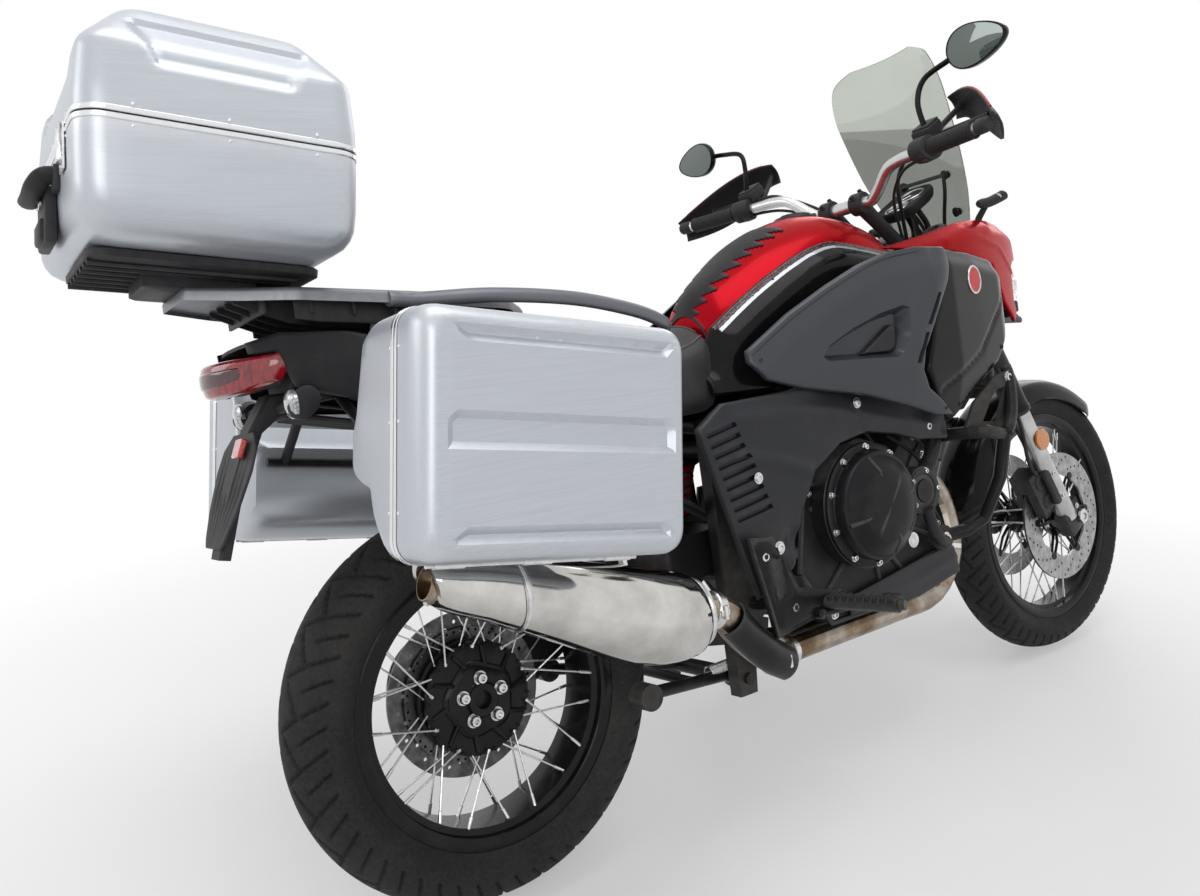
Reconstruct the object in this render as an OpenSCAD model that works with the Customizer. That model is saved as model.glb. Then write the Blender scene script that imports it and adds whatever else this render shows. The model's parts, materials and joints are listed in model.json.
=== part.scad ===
// Adventure touring motorcycle with three aluminium luggage cases, leaning on its side stand.
// The bike is drawn upright: X forward, Y to the rider's left, Z up, on the ground midway
// between the axles. parked() then leans it to the left and centres its footprint.
// All lengths are millimetres and all angles are degrees.

/* [Wheels] */
// Distance between the axles
wheelbase = 1595; // [1330:5:1915]
// Outer radius of the front tyre
front_tyre_r = 329; // [275:1:395]
// Width of the front tyre
front_tyre_w = 110; // [92:1:132]
// Radius of the front rim's flanges
front_rim_r = 254; // [215:1:262]
// Outer radius of the rear tyre
rear_tyre_r = 321; // [290:1:385]
// Width of the rear tyre
rear_tyre_w = 150; // [125:1:154]
// Radius of the rear rim's flanges
rear_rim_r = 230; // [192:1:236]
// Spokes on each side of a wheel, an even number
spokes_per_side = 18; // [12:2:24]
// Radius of one spoke
spoke_r = 2; // [1.7:0.1:2.4]

/* [Steering] */
// Angle of the steering axis from upright
rake = 28; // [26:0.5:30]
// Distance from the steering axis to the front axle
fork_offset = 60; // [50:1:72]
// Distance between the fork legs
leg_spacing = 210; // [205:1:252]
// Radius of the fork's upper tubes
fork_tube_r = 27; // [22.5:0.5:30]
// Outer radius of the front brake discs
front_disc_r = 155; // [129:1:186]
// Half the width of the handlebar
bar_half_w = 402; // [340:1:480]

/* [Stance] */
// Lean to the left on the side stand
lean = 12; // [10:0.5:14.4]
// Length from the centre stand's pivot to its feet
centre_stand_l = 254; // [212:1:262]

/* [Rear end] */
// Outer radius of the rear brake disc
rear_disc_r = 138; // [120:1:165]
// Radius of the rear hub's cover
rear_hub_r = 95; // [80:1:112]
// Radius of the hollow rear axle's bore
rear_bore_r = 14; // [11.7:0.1:16.8]
// Radius of the hollow front axle's bore
front_bore_r = 8; // [6.7:0.1:9.6]

/* [Luggage] */
// Length of a side case
pannier_l = 378; // [315:1:454]
// Height of a side case
pannier_h = 296; // [284:1:340]
// Depth of a side case's outer half
pannier_lid_d = 78; // [65:1:94]
// Length of the top case
top_case_l = 345; // [288:1:414]
// Width of the top case
top_case_w = 430; // [358:1:516]
// Height of the top case up to its seam
top_case_base_h = 138; // [115:1:166]
// Height of the top case's lid
top_case_lid_h = 165; // [138:1:198]
// Thickness of the cases' walls
case_wall = 3; // [2.5:0.1:3.6]

/* [Hidden] */
$fn = 48;

// Gap between parts that are bolted or pressed together
seat_gap = 0.3;
// Running gap of a shaft in its bore
run_gap = 0.06;
// Centre of the leaning bike's footprint, from the ground midway between the axles
origin_x = -101;
origin_y = 180;

front_axle = [wheelbase / 2, 0, front_tyre_r];
rear_axle = [-wheelbase / 2, 0, rear_tyre_r];
// The leaning rear tyre rolls onto its shoulder, which lifts the bike by this much
stand_lift = rear_tyre_w / 2 * (1 - cos(lean));
// Height of the ground under a point beside the upright bike
function ground_z(y) = y * tan(lean) - stand_lift / cos(lean);
// Place of the front axle in the body's own coordinates
body_ref = [797.5, 0, 329];
// Rear axle in the body's own coordinates
rear_axle_body = rear_axle - front_axle + body_ref;
// Ground height in the body's own coordinates
function body_ground_z(y) = ground_z(y) - front_axle.z + body_ref.z;

function unit(v) = v / norm(v);
function spline(a, b, c, d, t) = 0.5 * (2 * b + (c - a) * t + (2 * a - 5 * b + 4 * c - d) * t * t
    + (3 * b - a - 3 * c + d) * t * t * t);
// Points on a smooth curve through the given ones, with some steps between each two
function curve(p, steps) = let(last = len(p) - 1) concat(
    [for (i = [0:last - 1], k = [0:steps - 1])
        spline(p[max(i - 1, 0)], p[i], p[i + 1], p[min(i + 2, last)], k / steps)],
    [p[last]]);
// Points on an ellipse in a plane across the bike
function oval(x, y, z, ry, rz, n) = [for (k = [0:n - 1])
    [x, y + ry * cos(360 * k / n), z + rz * sin(360 * k / n)]];

// ---- placing ----

module parked() translate([-origin_x, -origin_y, stand_lift]) rotate([-lean, 0, 0]) children();

// The body's own coordinates, which follow the front axle
module on_body() parked() translate(front_axle - body_ref) children();

// Point in front of the steering axis and up along it, seen from the side of the body
function head_at(u, w) = [body_ref.x + (u - fork_offset) * cos(rake) - w * sin(rake),
    body_ref.z + (u - fork_offset) * sin(rake) + w * cos(rake)];

// Z runs up the steering axis from beside the axle, X is square to it and forward
module on_steering() parked() translate(front_axle) rotate([0, -rake, 0])
    translate([-fork_offset, 0, 0]) children();

module both_sides() {
    children();
    mirror([0, 1, 0]) children();
}

module on_right() mirror([0, 1, 0]) children();

// ---- shapes ----

module rod(a, b, r) {
    v = b - a;
    translate(a) rotate([0, acos(v.z / norm(v)), atan2(v.y, v.x)]) cylinder(h = norm(v), r = r);
}

// A round bar across the bike
module cross_bar(x, z, r, y0, y1) translate([x, y0, z]) rotate([-90, 0, 0])
    cylinder(h = y1 - y0, r = r);

// A flat plate seen from the side, between two distances from the middle plane
module side_plate(outline, y0, y1) translate([0, y1, 0]) rotate([90, 0, 0])
    linear_extrude(y1 - y0) polygon(outline);

// A curved panel on the left: its outline from the side and its outer curve from above
module panel(outline, plan, thick) intersection() {
    side_plate(outline, 0, 400);
    linear_extrude(1600) polygon(concat(plan,
        [for (i = [len(plan) - 1:-1:0]) plan[i] - [0, thick]]));
}

// Everything between a panel's plan on the left and its mirror image, less an inset
module both_halves(plan, inset) linear_extrude(1600) polygon(concat(
    [for (p = plan) [p.x, max(p.y - inset, 0)]],
    [for (i = [len(plan) - 1:-1:0]) [plan[i].x, -max(plan[i].y - inset, 0) - 0.01]]));

// A closed skin through rings that have equal numbers of points, each ring running anticlockwise
// as seen from the last one
module skin(rings) {
    n = len(rings);
    m = len(rings[0]);
    polyhedron(
        points = [for (r = rings) each r],
        faces = concat(
            [[for (k = [0:m - 1]) k]],
            [for (i = [0:n - 2], k = [0:m - 1])
                [i * m + k, (i + 1) * m + k, (i + 1) * m + (k + 1) % m, i * m + (k + 1) % m]],
            [[for (k = [m - 1:-1:0]) (n - 1) * m + k]]),
        convexity = 8);
}

// A round tube along a path; ref is a direction that the path never takes
module sweep(path, r, ref = [0, 0, 1], sides = 14) {
    last = len(path) - 1;
    skin([for (i = [0:last])
        let (along = unit(path[min(i + 1, last)] - path[max(i - 1, 0)]),
             u = unit(cross(along, ref)), v = cross(along, u))
        [for (k = [0:sides - 1])
            path[i] + r * (cos(360 * k / sides) * u + sin(360 * k / sides) * v)]]);
}

// A plate with round corners, flat on XY and centred
module round_plate(l, w, h, r) linear_extrude(h) union() {
    square([l - 2 * r, w], center = true);
    square([l, w - 2 * r], center = true);
    for (sx = [-1, 1], sy = [-1, 1])
        translate([sx * (l / 2 - r), sy * (w / 2 - r)]) circle(r);
}

// ---- frame and engine ----

pivot = [-235, 480];
frame_in = 97;
frame_out = 125;
head_w0 = 621;
head_w1 = 774;
stem_r = 22;
spar_outline = [[446, 968], [300, 905], [120, 835], [-100, 748], [-345, 712], [-345, 210],
    [-305, 210], [-292, 330], [-240, 352], [-198, 400], [-205, 610], [-90, 652], [60, 722],
    [250, 792], [408, 800]];
spar_plan = [[450, 34], [420, 46], [300, 92], [150, 118], [0, 125], [-400, 125]];
// Side stand pivot and foot, in body coordinates
stand_pivot = [-80, 125, 250];
stand_foot_xy = [30, 320];
stand_foot = [stand_foot_xy.x, stand_foot_xy.y, body_ground_z(stand_foot_xy.y)];
stand_folded = unit([-0.945, 0.305, 0.122]);
stand_down = unit(stand_foot - stand_pivot);
stand_axis = unit(cross(stand_down, stand_folded));
centre_pivot = [-325, 240];

module main_frame() color("#2c2c2f") on_body() difference() {
    union() {
        both_sides() panel(spar_outline, spar_plan, frame_out - frame_in);
        translate(body_ref) rotate([0, -rake, 0])
            translate([-fork_offset, 0, head_w0]) cylinder(h = head_w1 - head_w0, r = 36);
        cross_bar(-318, 660, 16, -110, 110);
        cross_bar(-300, 420, 12, -110, 110);
        // Pads under the tank
        both_sides() {
            translate([150, 112, 840]) cylinder(h = 17.3, r = 8);
            translate([-120, 101, 735]) cylinder(h = 775 - 735 - seat_gap, r = 6);
        }
        // Lug for the side stand
        side_plate([[-300, 345], [-286, 330], [-250, 250], [-110, 222], [-60, 222], [-50, 262],
            [-110, 285], [-215, 345]], 99, 111);
    }
    translate(body_ref) rotate([0, -rake, 0])
        translate([-fork_offset, 0, head_w0 - 40]) cylinder(h = 260, r = stem_r + run_gap);
    cross_bar(pivot.x, pivot.y, 12 + run_gap, -150, 150);
    cross_bar(centre_pivot.x, centre_pivot.y, 10 + run_gap, -150, 150);
    translate(stand_pivot) along(stand_axis) translate([0, 0, -60]) cylinder(h = 120, r = 8 + run_gap);
}

// Turns Z to a direction
module along(v) rotate([0, acos(v.z / norm(v)), atan2(v.y, v.x)]) children();

rail_y = frame_in - seat_gap - 11;

// Bar that the side cases hook onto
rack_y = 230 - seat_gap - 8;
module on_rack() translate(pannier_at) rotate([0, pannier_tilt, 0]) both_sides()
    rod([-150, rack_y, -13], [150, rack_y, -13], 8);

module rear_subframe() color("#2c2c2f") on_body() {
    both_sides() {
        rod([-300, rail_y, 690], [-1010, 72, 848], 11);
        rod([-320, rail_y, 530], [-770, 75, 800], 10);
        // Carriers for the side cases
        rod([-744, 74, 785], [-744, rack_y, 706], 8);
        rod([-980, 70, 841], [-980, rack_y, 745.5], 8);
    }
    on_rack();
    for (x = [-450, -700, -985])
        cross_bar(x, 686 - (x + 300) * 0.2225, 8, -76, 76);
}

crank_half = 150;
bank_half = 118;
clutch = [-20, 503];

module engine() color("#3a3a3d") on_body() {
    // Crankcase
    side_plate([[-188, 400], [-150, 560], [60, 566], [175, 520], [235, 420], [235, 340],
        [150, 292], [-120, 292]], -crank_half, crank_half);
    // Rear and front cylinder banks
    side_plate([[-110, 560], [-150, 690], [-20, 742], [55, 700], [60, 566]], -86, 86);
    side_plate([[110, 530], [232, 655], [330, 590], [235, 430], [175, 500]], -bank_half, bank_half);
    // Clutch cover and water pump on the right
    on_right() {
        cross_bar(clutch.x, clutch.y, 118, crank_half - 10, 188);
        cross_bar(clutch.x, clutch.y, 92, 180, 212);
        translate([clutch.x, 212, clutch.y]) rotate([-90, 0, 0]) cylinder(h = 23, r1 = 92, r2 = 66);
        cross_bar(125, 505, 48, crank_half - 30, 205);
    }
    // Alternator cover and gearshift case on the left
    cross_bar(-10, 480, 104, crank_half - 10, 196);
    translate([-10, 196, 480]) rotate([-90, 0, 0]) cylinder(h = 18, r1 = 92, r2 = 74);
    cross_bar(-120, 400, 46, crank_half - 10, 176);
    // Mounting bosses towards the frame's spars
    both_sides() {
        cross_bar(-60, 690, 16, 80, frame_in - seat_gap);
        cross_bar(-178, 440, 12, 100, crank_half);
    }
}

pipe_r = 24;
link_r = 28;
silencer_in = [-494, -235.5, 416];
// Silencer from its tail to its inlet: station, distance out, height, half width, half height
silencer_rings = [[-972, -268, 570, 40, 36], [-900, -268, 550, 49, 49], [-800, -266, 509, 59, 61],
    [-700, -263, 467, 66, 73], [-620, -258, 440, 68, 76], [-545, -248, 423, 60, 68],
    [-512, -240, 419, 46, 48], [-498, -236, 418, 34, 34]];

module exhaust_pipes() color("#8b8378") on_body() {
    // Front pair down and back under the engine, joined behind it
    for (y = [-92, -34])
        sweep(curve([[318, y * 0.7, 500], [345, y * 0.8, 440], [330, y, 340], [255, y, 262],
            [120, y, 254], [-60, y, 252], [-200, y, 250]], 4), pipe_r, [0, 1, 0]);
    sweep(concat(curve([[-190, -70, 250], [-245, -104, 252], [-278, -170, 264], [-335, -192, 296],
        [-400, -212, 350], [-446, -231, 396], [-476, -235.5, 413]], 4),
        [silencer_in, silencer_in - [10, 0, 0]]), link_r, [0, 1, 0]);
    translate([-196, -63, 250]) sphere(r = 44, $fn = 32);
}

module silencer() color("#c9cccf") on_body() {
    difference() {
        skin([for (s = silencer_rings) oval(s[0], s[1], s[2], s[3], s[4], 36)]);
        rod([-930, -268, 556], [-990, -268, 578], 24);
        translate(silencer_in) rotate([0, -90, 0])
            cylinder(h = 30, r = link_r + seat_gap, center = true);
    }
    // Hanger up to the subframe's lower rail
    on_right() cross_bar(-640, 722, 7, 88.6, 236);
    rod([-640, -229, 722], [-640, -243, 500], 7);
}

// ---- fuel tank and bodywork ----

// Tank: station, half width, height of the belt, height of the crown
tank = [[262, 112, 935, 1012], [200, 138, 955, 1058], [130, 150, 968, 1082], [60, 150, 970, 1090],
    [-10, 144, 958, 1077], [-88, 136, 930, 1046], [-157, 124, 890, 1003], [-225, 104, 830, 952],
    [-258, 70, 800, 905]];
// Underside of the tank above the frame's spars
function tank_floor(x) = 762 + (x + 100) * 0.395;

module fuel_tank() color("#c01218") on_body() skin([for (s = tank)
    let (x = s[0], w = s[1], belt = s[2], top = s[3], foot = max(tank_floor(x), 775), n = 12)
    concat([[x, -w + 24, foot], [x, -w + 2, foot + 30]],
        [for (k = [0:n]) let (a = 180 - 180 * k / n) [x, w * cos(a), belt + (top - belt) * sin(a)]],
        [[x, w - 2, foot + 30], [x, w - 24, foot]])]);

module tank_panels() color("#141416") on_body() both_sides() {
    cross_bar(60, 930, 8, 149.8, 176);
    cross_bar(-157, 850, 8, 125, 160);
    panel([[-330, 752], [-338, 800], [-290, 874], [-224, 916], [-156, 954], [-89, 986],
        [-37, 1005], [20, 1014], [107, 1000], [165, 988], [240, 985], [250, 930], [150, 850],
        [-60, 765], [-200, 748]],
        [[250, 176], [160, 184], [60, 180], [-80, 170], [-200, 158], [-300, 150], [-345, 148]], 8);
}

module side_fairings() color("#26272b") on_body() both_sides() difference() {
    union() {
        // Standoffs from the tank's side panels
        cross_bar(-200, 800, 9, 159.6, 204);
        cross_bar(60, 900, 9, 181.2, 268);
        fairing_panel();
    }
    side_plate([[-128, 806], [-80, 822], [-14, 838], [44, 842], [48, 800], [-6, 766]], 150, 400);
}

module fairing_panel() {
    panel([[-271, 822], [-176, 880], [-91, 922], [-24, 952], [31, 968], [109, 976], [186, 972],
        [187, 947], [169, 907], [133, 850], [121, 829], [84, 743], [120, 690], [161, 648],
        [116, 654], [34, 686], [-55, 716], [-172, 742], [-245, 766], [-274, 801]],
        [[187, 284], [130, 286], [60, 274], [-24, 254], [-91, 232], [-176, 212], [-280, 192]], 10);
}

module side_cowls() color("#101012") on_body() both_sides() {
    panel([[213, 973], [325, 965], [492, 941], [487, 863], [432, 779], [384, 735], [193, 639],
        [166, 652], [132, 690], [97, 743], [132, 828], [146, 850], [180, 905], [200, 947]],
        [[500, 196], [420, 226], [325, 246], [213, 268], [90, 276]], 8);
    // Brackets to the frame
    cross_bar(330, 860, 7, 83.6, 240);
    cross_bar(180, 800, 7, 114.5, 264);
}

cowl_plan = [[110, 206], [260, 206], [400, 192], [520, 162], [640, 118], [740, 68], [800, 30],
    [841, 0]];
cowl_side = [[122, 990], [261, 1014], [384, 1038], [537, 1053], [645, 1045], [720, 1004],
    [760, 950], [800, 890], [841, 832], [836, 820], [740, 812], [641, 815], [560, 862],
    [503, 945], [325, 972], [213, 980]];

module cowl_inside(inset) both_halves(cowl_plan, inset);

lamp_z0 = 862;
lamp_z1 = 962;

module front_cowl() color("#c01218") on_body() {
    difference() {
        both_sides() panel(cowl_side, cowl_plan, 6);
        side_plate([[660, lamp_z0], [660, lamp_z1], [900, lamp_z1], [900, lamp_z0]], -110, 110);
    }
    // Beak and brow, above and below the lamp
    intersection() {
        cowl_inside(5);
        union() {
            side_plate([[560, 1051], [645, 1043], [718, 1003], [749, 966], [742, 964], [712, 997],
                [642, 1036], [560, 1044]], -200, 200);
            side_plate([[650, 822], [740, 818], [830, 826], [806, 858], [700, 838], [650, 830]],
                -200, 200);
        }
    }
}

module headlight() color("#dfe6ea") on_body() intersection() {
    cowl_inside(6 + seat_gap);
    side_plate([[636, lamp_z0 + 4], [636, lamp_z1 - 4], [744, lamp_z1 - 8], [786, lamp_z0 + 4]],
        -200, 200);
}

// Screen: height, place of its middle, half width, sweep of its edges
screen = [[1051, 568, 96, 26], [1120, 552, 118, 36], [1200, 524, 136, 44], [1290, 492, 146, 48],
    [1350, 470, 148, 48], [1400, 450, 138, 42], [1425, 440, 120, 32], [1442, 433, 84, 16]];
screen_t = 4;

module windscreen() color("#8d9089", 0.5) on_body() skin([for (s = screen) let (n = 10)
    concat([for (k = [-n:n]) [s[1] - s[3] * k * k / (n * n), s[2] * k / n, s[0]]],
        [for (k = [n:-1:-n]) [s[1] - screen_t - s[3] * k * k / (n * n), s[2] * k / n, s[0]]])]);

module instrument_panel() color("#1b1b1d") on_body() {
    difference() {
        rod([466, 0, 1092], [446, 0, 1128], 74);
        rod([448, 0, 1125], [440, 0, 1140], 66);
    }
    // Stay from the steering head to the dials, the screen and the nose
    side_plate([[478, 1096], [520, 1040], [600, 1018], [600, 1002], [510, 996],
        head_at(36 + seat_gap, 742), head_at(36 + seat_gap, 762), [452, 1010], [458, 1096]], -26, 26);
    // Posts behind the screen
    both_sides() rod([556, 20, 1020], [539.5, 40, 1110], 5);
    both_sides() rod([590, 0, 1010], [590, 128, 1010], 6);
}

// ---- seat and tail ----

// Seat: station, half width, underside, top
seat_rings = [[-268, 62, 800, 880], [-300, 118, 735, 884], [-350, 142, 722, 868],
    [-420, 156, 728, 856], [-500, 164, 742, 852], [-560, 160, 756, 866], [-596, 150, 768, 910],
    [-660, 142, 782, 930], [-760, 132, 804, 934], [-850, 118, 826, 934], [-872, 96, 836, 926]];

module seat() color("#202023") on_body() difference() {
    skin([for (s = seat_rings) let (x = s[0], w = s[1], lo = s[2], hi = s[3], n = 10)
        concat([[x, -w + 30, lo], [x, -w, lo + 34]],
            [for (k = [0:n]) let (a = 160 - 140 * k / n)
                [x, w * cos(a) / cos(20), hi - 46 + 46 * (sin(a) - sin(20)) / (1 - sin(20))]],
            [[x, w, lo + 34], [x, w - 30, lo]])]);
    both_sides() {
        rod([-250, rail_y, 690 - 11], [-900, 76, 823.5], 16.2);
        side_plate([[-260, 700], [-260, 742], [-352, 720], [-352, 690]], frame_in - 4, frame_out + 4);
    }
}

tail_plan = [[-600, 152], [-760, 150], [-960, 146], [-1050, 118], [-1102, 92]];

module tail_cowl() color("#1d1d20") on_body() difference() {
    union() {
        both_sides() panel([[-700, 806], [-716, 852], [-900, 900], [-976, 922], [-1060, 930],
            [-1100, 921], [-1098, 903.5], [-1066, 903.5], [-1050, 852], [-960, 818], [-800, 800]],
            tail_plan, 6);
        // Deck behind the seat
        intersection() {
            side_plate([[-884, 888], [-884, 895], [-976, 916], [-1095, 921], [-1095, 914],
                [-976, 909]], -200, 200);
            both_halves(tail_plan, 3);
        }
        // Tray over the wheel and its end wall, which carries the plate
        side_plate([[-560, 704], [-880, 782], [-1034, 816], [-1034, 914], [-1038, 914],
            [-1038, 812], [-880, 777], [-560, 699]], -58, 58);
    }
    both_sides() rod([-905, 72, 838], [-905, 72, 960], 9 + seat_gap);
}

carrier_plan = [[-640, 60], [-700, 112], [-860, 138], [-1035, 122], [-1172, 62]];
case_tilt = 8;
top_case_at = [-1135, 0, 1034];

module on_top_case() on_body() translate(top_case_at) rotate([0, case_tilt, 0]) children();

module rear_carrier() color("#55585c") {
    on_body() {
        intersection() {
            side_plate([[-640, 944], [-690, 958], [-860, 972], [-1100, 998], [-1168, 1008],
                [-1166, 996], [-1100, 968], [-1030, 934], [-960, 926], [-884, 902], [-880, 936],
                [-700, 938]], -140, 140);
            both_halves(carrier_plan, 0);
        }
        both_sides() sweep(curve([[-850, 126, 958], [-740, 146, 955], [-600, 152, 940],
            [-480, 146, 914], [-418, 138, 892]], 4), 13);
        both_sides() rod([-905, 72, 838], [-905, 72, 920], 9);
    }
    // Plate that the top case locks onto
    on_top_case() {
        translate([0, 0, -14]) round_plate(296, 236, 14 - seat_gap, 26);
        translate([10, 0, -36]) round_plate(150, 120, 24, 14);
    }
}

// ---- lights and plate ----

module tail_light() color("#b3121a") on_body() intersection() {
    side_plate([[-1108, 848], [-1146, 862], [-1148, 890], [-1112, 903], [-1060, 903], [-1066, 856]],
        -200, 200);
    both_halves([[-1066, 60], [-1069, 108], [-1090, 102], [-1116, 80], [-1138, 44], [-1147, 0]], 0);
}

module plate_holder() color("#1d1d20") on_body() {
    wall_x = -1038 - seat_gap;
    side_plate([[wall_x, 850], [-1064, 850], [-1100, 800], [-1134, 730], [-1168, 626],
        [-1150, 622], [-1118, 720], [-1080, 796], [wall_x, 822]], -26, 26);
    side_plate([[-1096, 800], [-1167, 640], [-1163, 638], [-1092, 798]], -92, 92);
    // Arm that carries the rear indicators
    cross_bar(-1052, 828, 8, -112, 112);
}

module turn_signals() color("#e8e4da") on_body() both_sides() {
    translate([-1052, 112 + seat_gap, 828]) rotate([-90, 0, 0]) cylinder(h = 34, r1 = 16, r2 = 22);
    translate([524, 158, 1053]) cylinder(h = 20, r = 6);
    rod([500, 158, 1070], [586, 160, 1100], 11);
}

// ---- swingarm and final drive ----

drive_in = 62;
drive_out = 158;
arm_y0 = rear_tyre_w / 2 + 15;
arm_y1 = arm_y0 + 58;
stub_r = 30;

module swingarm() color("#2a2a2d") on_body() difference() {
    union() {
        cross_bar(pivot.x, pivot.y, 38, -frame_in + seat_gap + 2, frame_in - seat_gap - 2);
        cross_bar(pivot.x, pivot.y, 12, -134, 134);
        // Bridge behind the frame and the single arm on the left
        side_plate([[-230, 508], [-230, 445], [-395, 415], [-420, 425], [-420, 490], [-395, 508]],
            -60, frame_in - seat_gap - 2);
        side_plate([[-352, 510], [-352, 420], [-420, 405], rear_axle_body_at([70, -78]),
            rear_axle_body_at([0, -82]), rear_axle_body_at([-60, -50]), rear_axle_body_at([-60, 50]),
            rear_axle_body_at([0, 84]), rear_axle_body_at([140, 92])], arm_y0, arm_y1);
        cross_bar(rear_axle_body.x, rear_axle_body.z, 92, drive_in, drive_out);
        translate([rear_axle_body.x, drive_out, rear_axle_body.z]) rotate([-90, 0, 0])
            cylinder(h = 16, r1 = 60, r2 = 40);
        // Brake caliper on its bracket
        side_plate([rear_axle_body_at([66, 70]), rear_axle_body_at([40, 96]),
            rear_axle_body_at([66, 140]), rear_axle_body_at([120, 108])], 58, 92);
    }
    cross_bar(rear_axle_body.x, rear_axle_body.z, stub_r + run_gap, 20, drive_out + 40);
}

function rear_axle_body_at(d) = [rear_axle_body.x + d.x, rear_axle_body.z + d.y];

module rear_shock() color("#b9b9bb") on_body() {
    translate([-350, 0, 508 + seat_gap]) cylinder(h = 16, r = 20);
    rod([-350, 0, 518], [-324, 0, 634], 24);
    rod([-343, 0, 548], [-328, 0, 616], 36);
    translate([-320, 0, 624]) cylinder(h = 20 - seat_gap, r = 13);
}

// ---- covers, footrests and guards ----

module frame_covers() color("#2b2c30") on_body() both_sides() {
    panel([[-346, 736], [-160, 734], [100, 668], [140, 652], [208, 600], [120, 612], [60, 630],
        [-86, 636], [-170, 590], [-217, 511], [-240, 430], [-329, 390], [-351, 466], [-410, 700]],
        [[240, 214], [100, 214], [-100, 206], [-300, 196], [-420, 184]], 8);
    cross_bar(-300, 600, 10, frame_out + seat_gap, 190);
    cross_bar(-300, 470, 10, frame_out + seat_gap, 190);
    cross_bar(-40, 700, 10, frame_out + seat_gap, 200);
}

module footrests() color("#37383c") on_body() {
    both_sides() {
        side_plate([[-366, 507], [-312, 500], [-262, 395], [-150, 372], [-150, 352], [-245, 338],
            [-330, 326], [-338, 377]], 214, 226);
        cross_bar(-300, 478, 9, 205, 220);
        cross_bar(-285, 370, 12, frame_out + seat_gap, 220);
        rod([-205, 226, 362], [-180, 366, 362], 13);
        rod([-180, 366, 362], [-176, 376, 362], 9);
    }
    // Brake pedal on the right and gear lever on the left
    on_right() {
        rod([-230, 232, 346], [-70, 236, 336], 6);
        rod([-70, 232, 336], [-70, 275, 336], 9);
        rod([-230, 215, 346], [-230, 238, 346], 9);
    }
    rod([-215, 232, 346], [-60, 232, 352], 5);
    rod([-60, 228, 352], [-60, 270, 352], 8);
    rod([-215, 215, 346], [-215, 238, 346], 8);
}

module belly_pan() color("#232427") on_body() {
    both_sides() panel([[-80, 334], [60, 352], [200, 372], [252, 368], [262, 311], [119, 290],
        [-80, 300]], [[262, 160], [150, 164], [-90, 164]], 8);
    both_sides() cross_bar(60, 325, 9, crank_half + seat_gap, 160);
}

module engine_guard() color("#1a1a1c") on_body() both_sides() {
    cross_bar(262, 596, 20, bank_half + seat_gap, 140);
    sweep(curve([[262, 128, 596], [266, 200, 600], [288, 252, 598], [330, 264, 592],
        [368, 256, 640], [395, 240, 700], [399, 232, 722]], 3), 13, [1, 0, 0.3]);
    cross_bar(205, 394, 20, crank_half + seat_gap, 178);
    sweep([[330, 260, 592], [324, 240, 500], [304, 206, 418], [268, 184, 398], [205, 167, 394]],
        14, [1, 0.2, 0]);
}

// ---- luggage ----

pannier_at = [-860, 0, 738];
pannier_tilt = 9.5;
seam_y = 412;
// Section of the right case: distance out and height from its middle; the step clears the silencer
right_section = [[330, 1], [296, 0.86], [292, 0.32], [230, 0.05], [230, -0.22], [250, -0.37],
    [300, -0.42], [336, -0.52], [350, -0.84], [380, -1]];
left_section = [[330, 1], [296, 0.86], [292, 0.32], [230, 0.05], [230, -0.22], [240, -0.8],
    [262, -1]];

module on_pannier() on_body() translate(pannier_at) rotate([0, pannier_tilt, 0]) children();

function section_points(s, grow) = [for (p = s) [p.x + grow, p.y * (pannier_h / 2 - grow)]];

module case_slab(section, l, grow) rotate([90, 0, 90]) translate([0, 0, -l / 2])
    linear_extrude(l) polygon(concat([[seam_y, -(pannier_h / 2 - grow)], [seam_y, pannier_h / 2 - grow]],
        section_points(section, grow)));

module pannier_base(section) difference() {
    case_slab(section, pannier_l, 0);
    difference() {
        case_slab(section, pannier_l - 2 * case_wall, case_wall);
        translate([0, 1000 + seam_y, 0]) cube(2000, center = true);
    }
    translate([0, seam_y, 0]) rotate([90, 0, 0]) translate([0, 0, -10])
        round_plate(pannier_l - 2 * case_wall, pannier_h - 2 * case_wall, 20, 24);
}

// Outer half of a side case, its face drawn in towards the edges
module pannier_lid() {
    draw = 26;
    y0 = seam_y + seat_gap;
    difference() {
        union() {
            translate([0, y0 + pannier_lid_d - draw, 0]) rotate([90, 0, 0])
                round_plate(pannier_l, pannier_h, pannier_lid_d - draw, 28);
            translate([0, y0 + pannier_lid_d - 10, 0]) rotate([90, 0, 0])
                round_plate(pannier_l - 14, pannier_h - 14, 20, 26);
            translate([0, y0 + pannier_lid_d, 0]) rotate([90, 0, 0])
                round_plate(pannier_l - 34, pannier_h - 34, 14, 24);
        }
        translate([0, y0 + pannier_lid_d - draw - 4, 0]) rotate([90, 0, 0])
            round_plate(pannier_l - 2 * case_wall, pannier_h - 2 * case_wall, pannier_lid_d, 26);
        translate([0, y0 + pannier_lid_d - case_wall, 0]) rotate([90, 0, 0])
            round_plate(pannier_l - 40, pannier_h - 40, 40, 22);
    }
}

module pannier_base_right() color("#b8bcc2") on_pannier() on_right() pannier_base(right_section);

module pannier_base_left() color("#b8bcc2") on_pannier() pannier_base(left_section);

module pannier_lid_right() color("#b8bcc2") on_pannier() on_right() pannier_lid();

module pannier_lid_left() color("#b8bcc2") on_pannier() pannier_lid();

case_r = 34;

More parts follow.
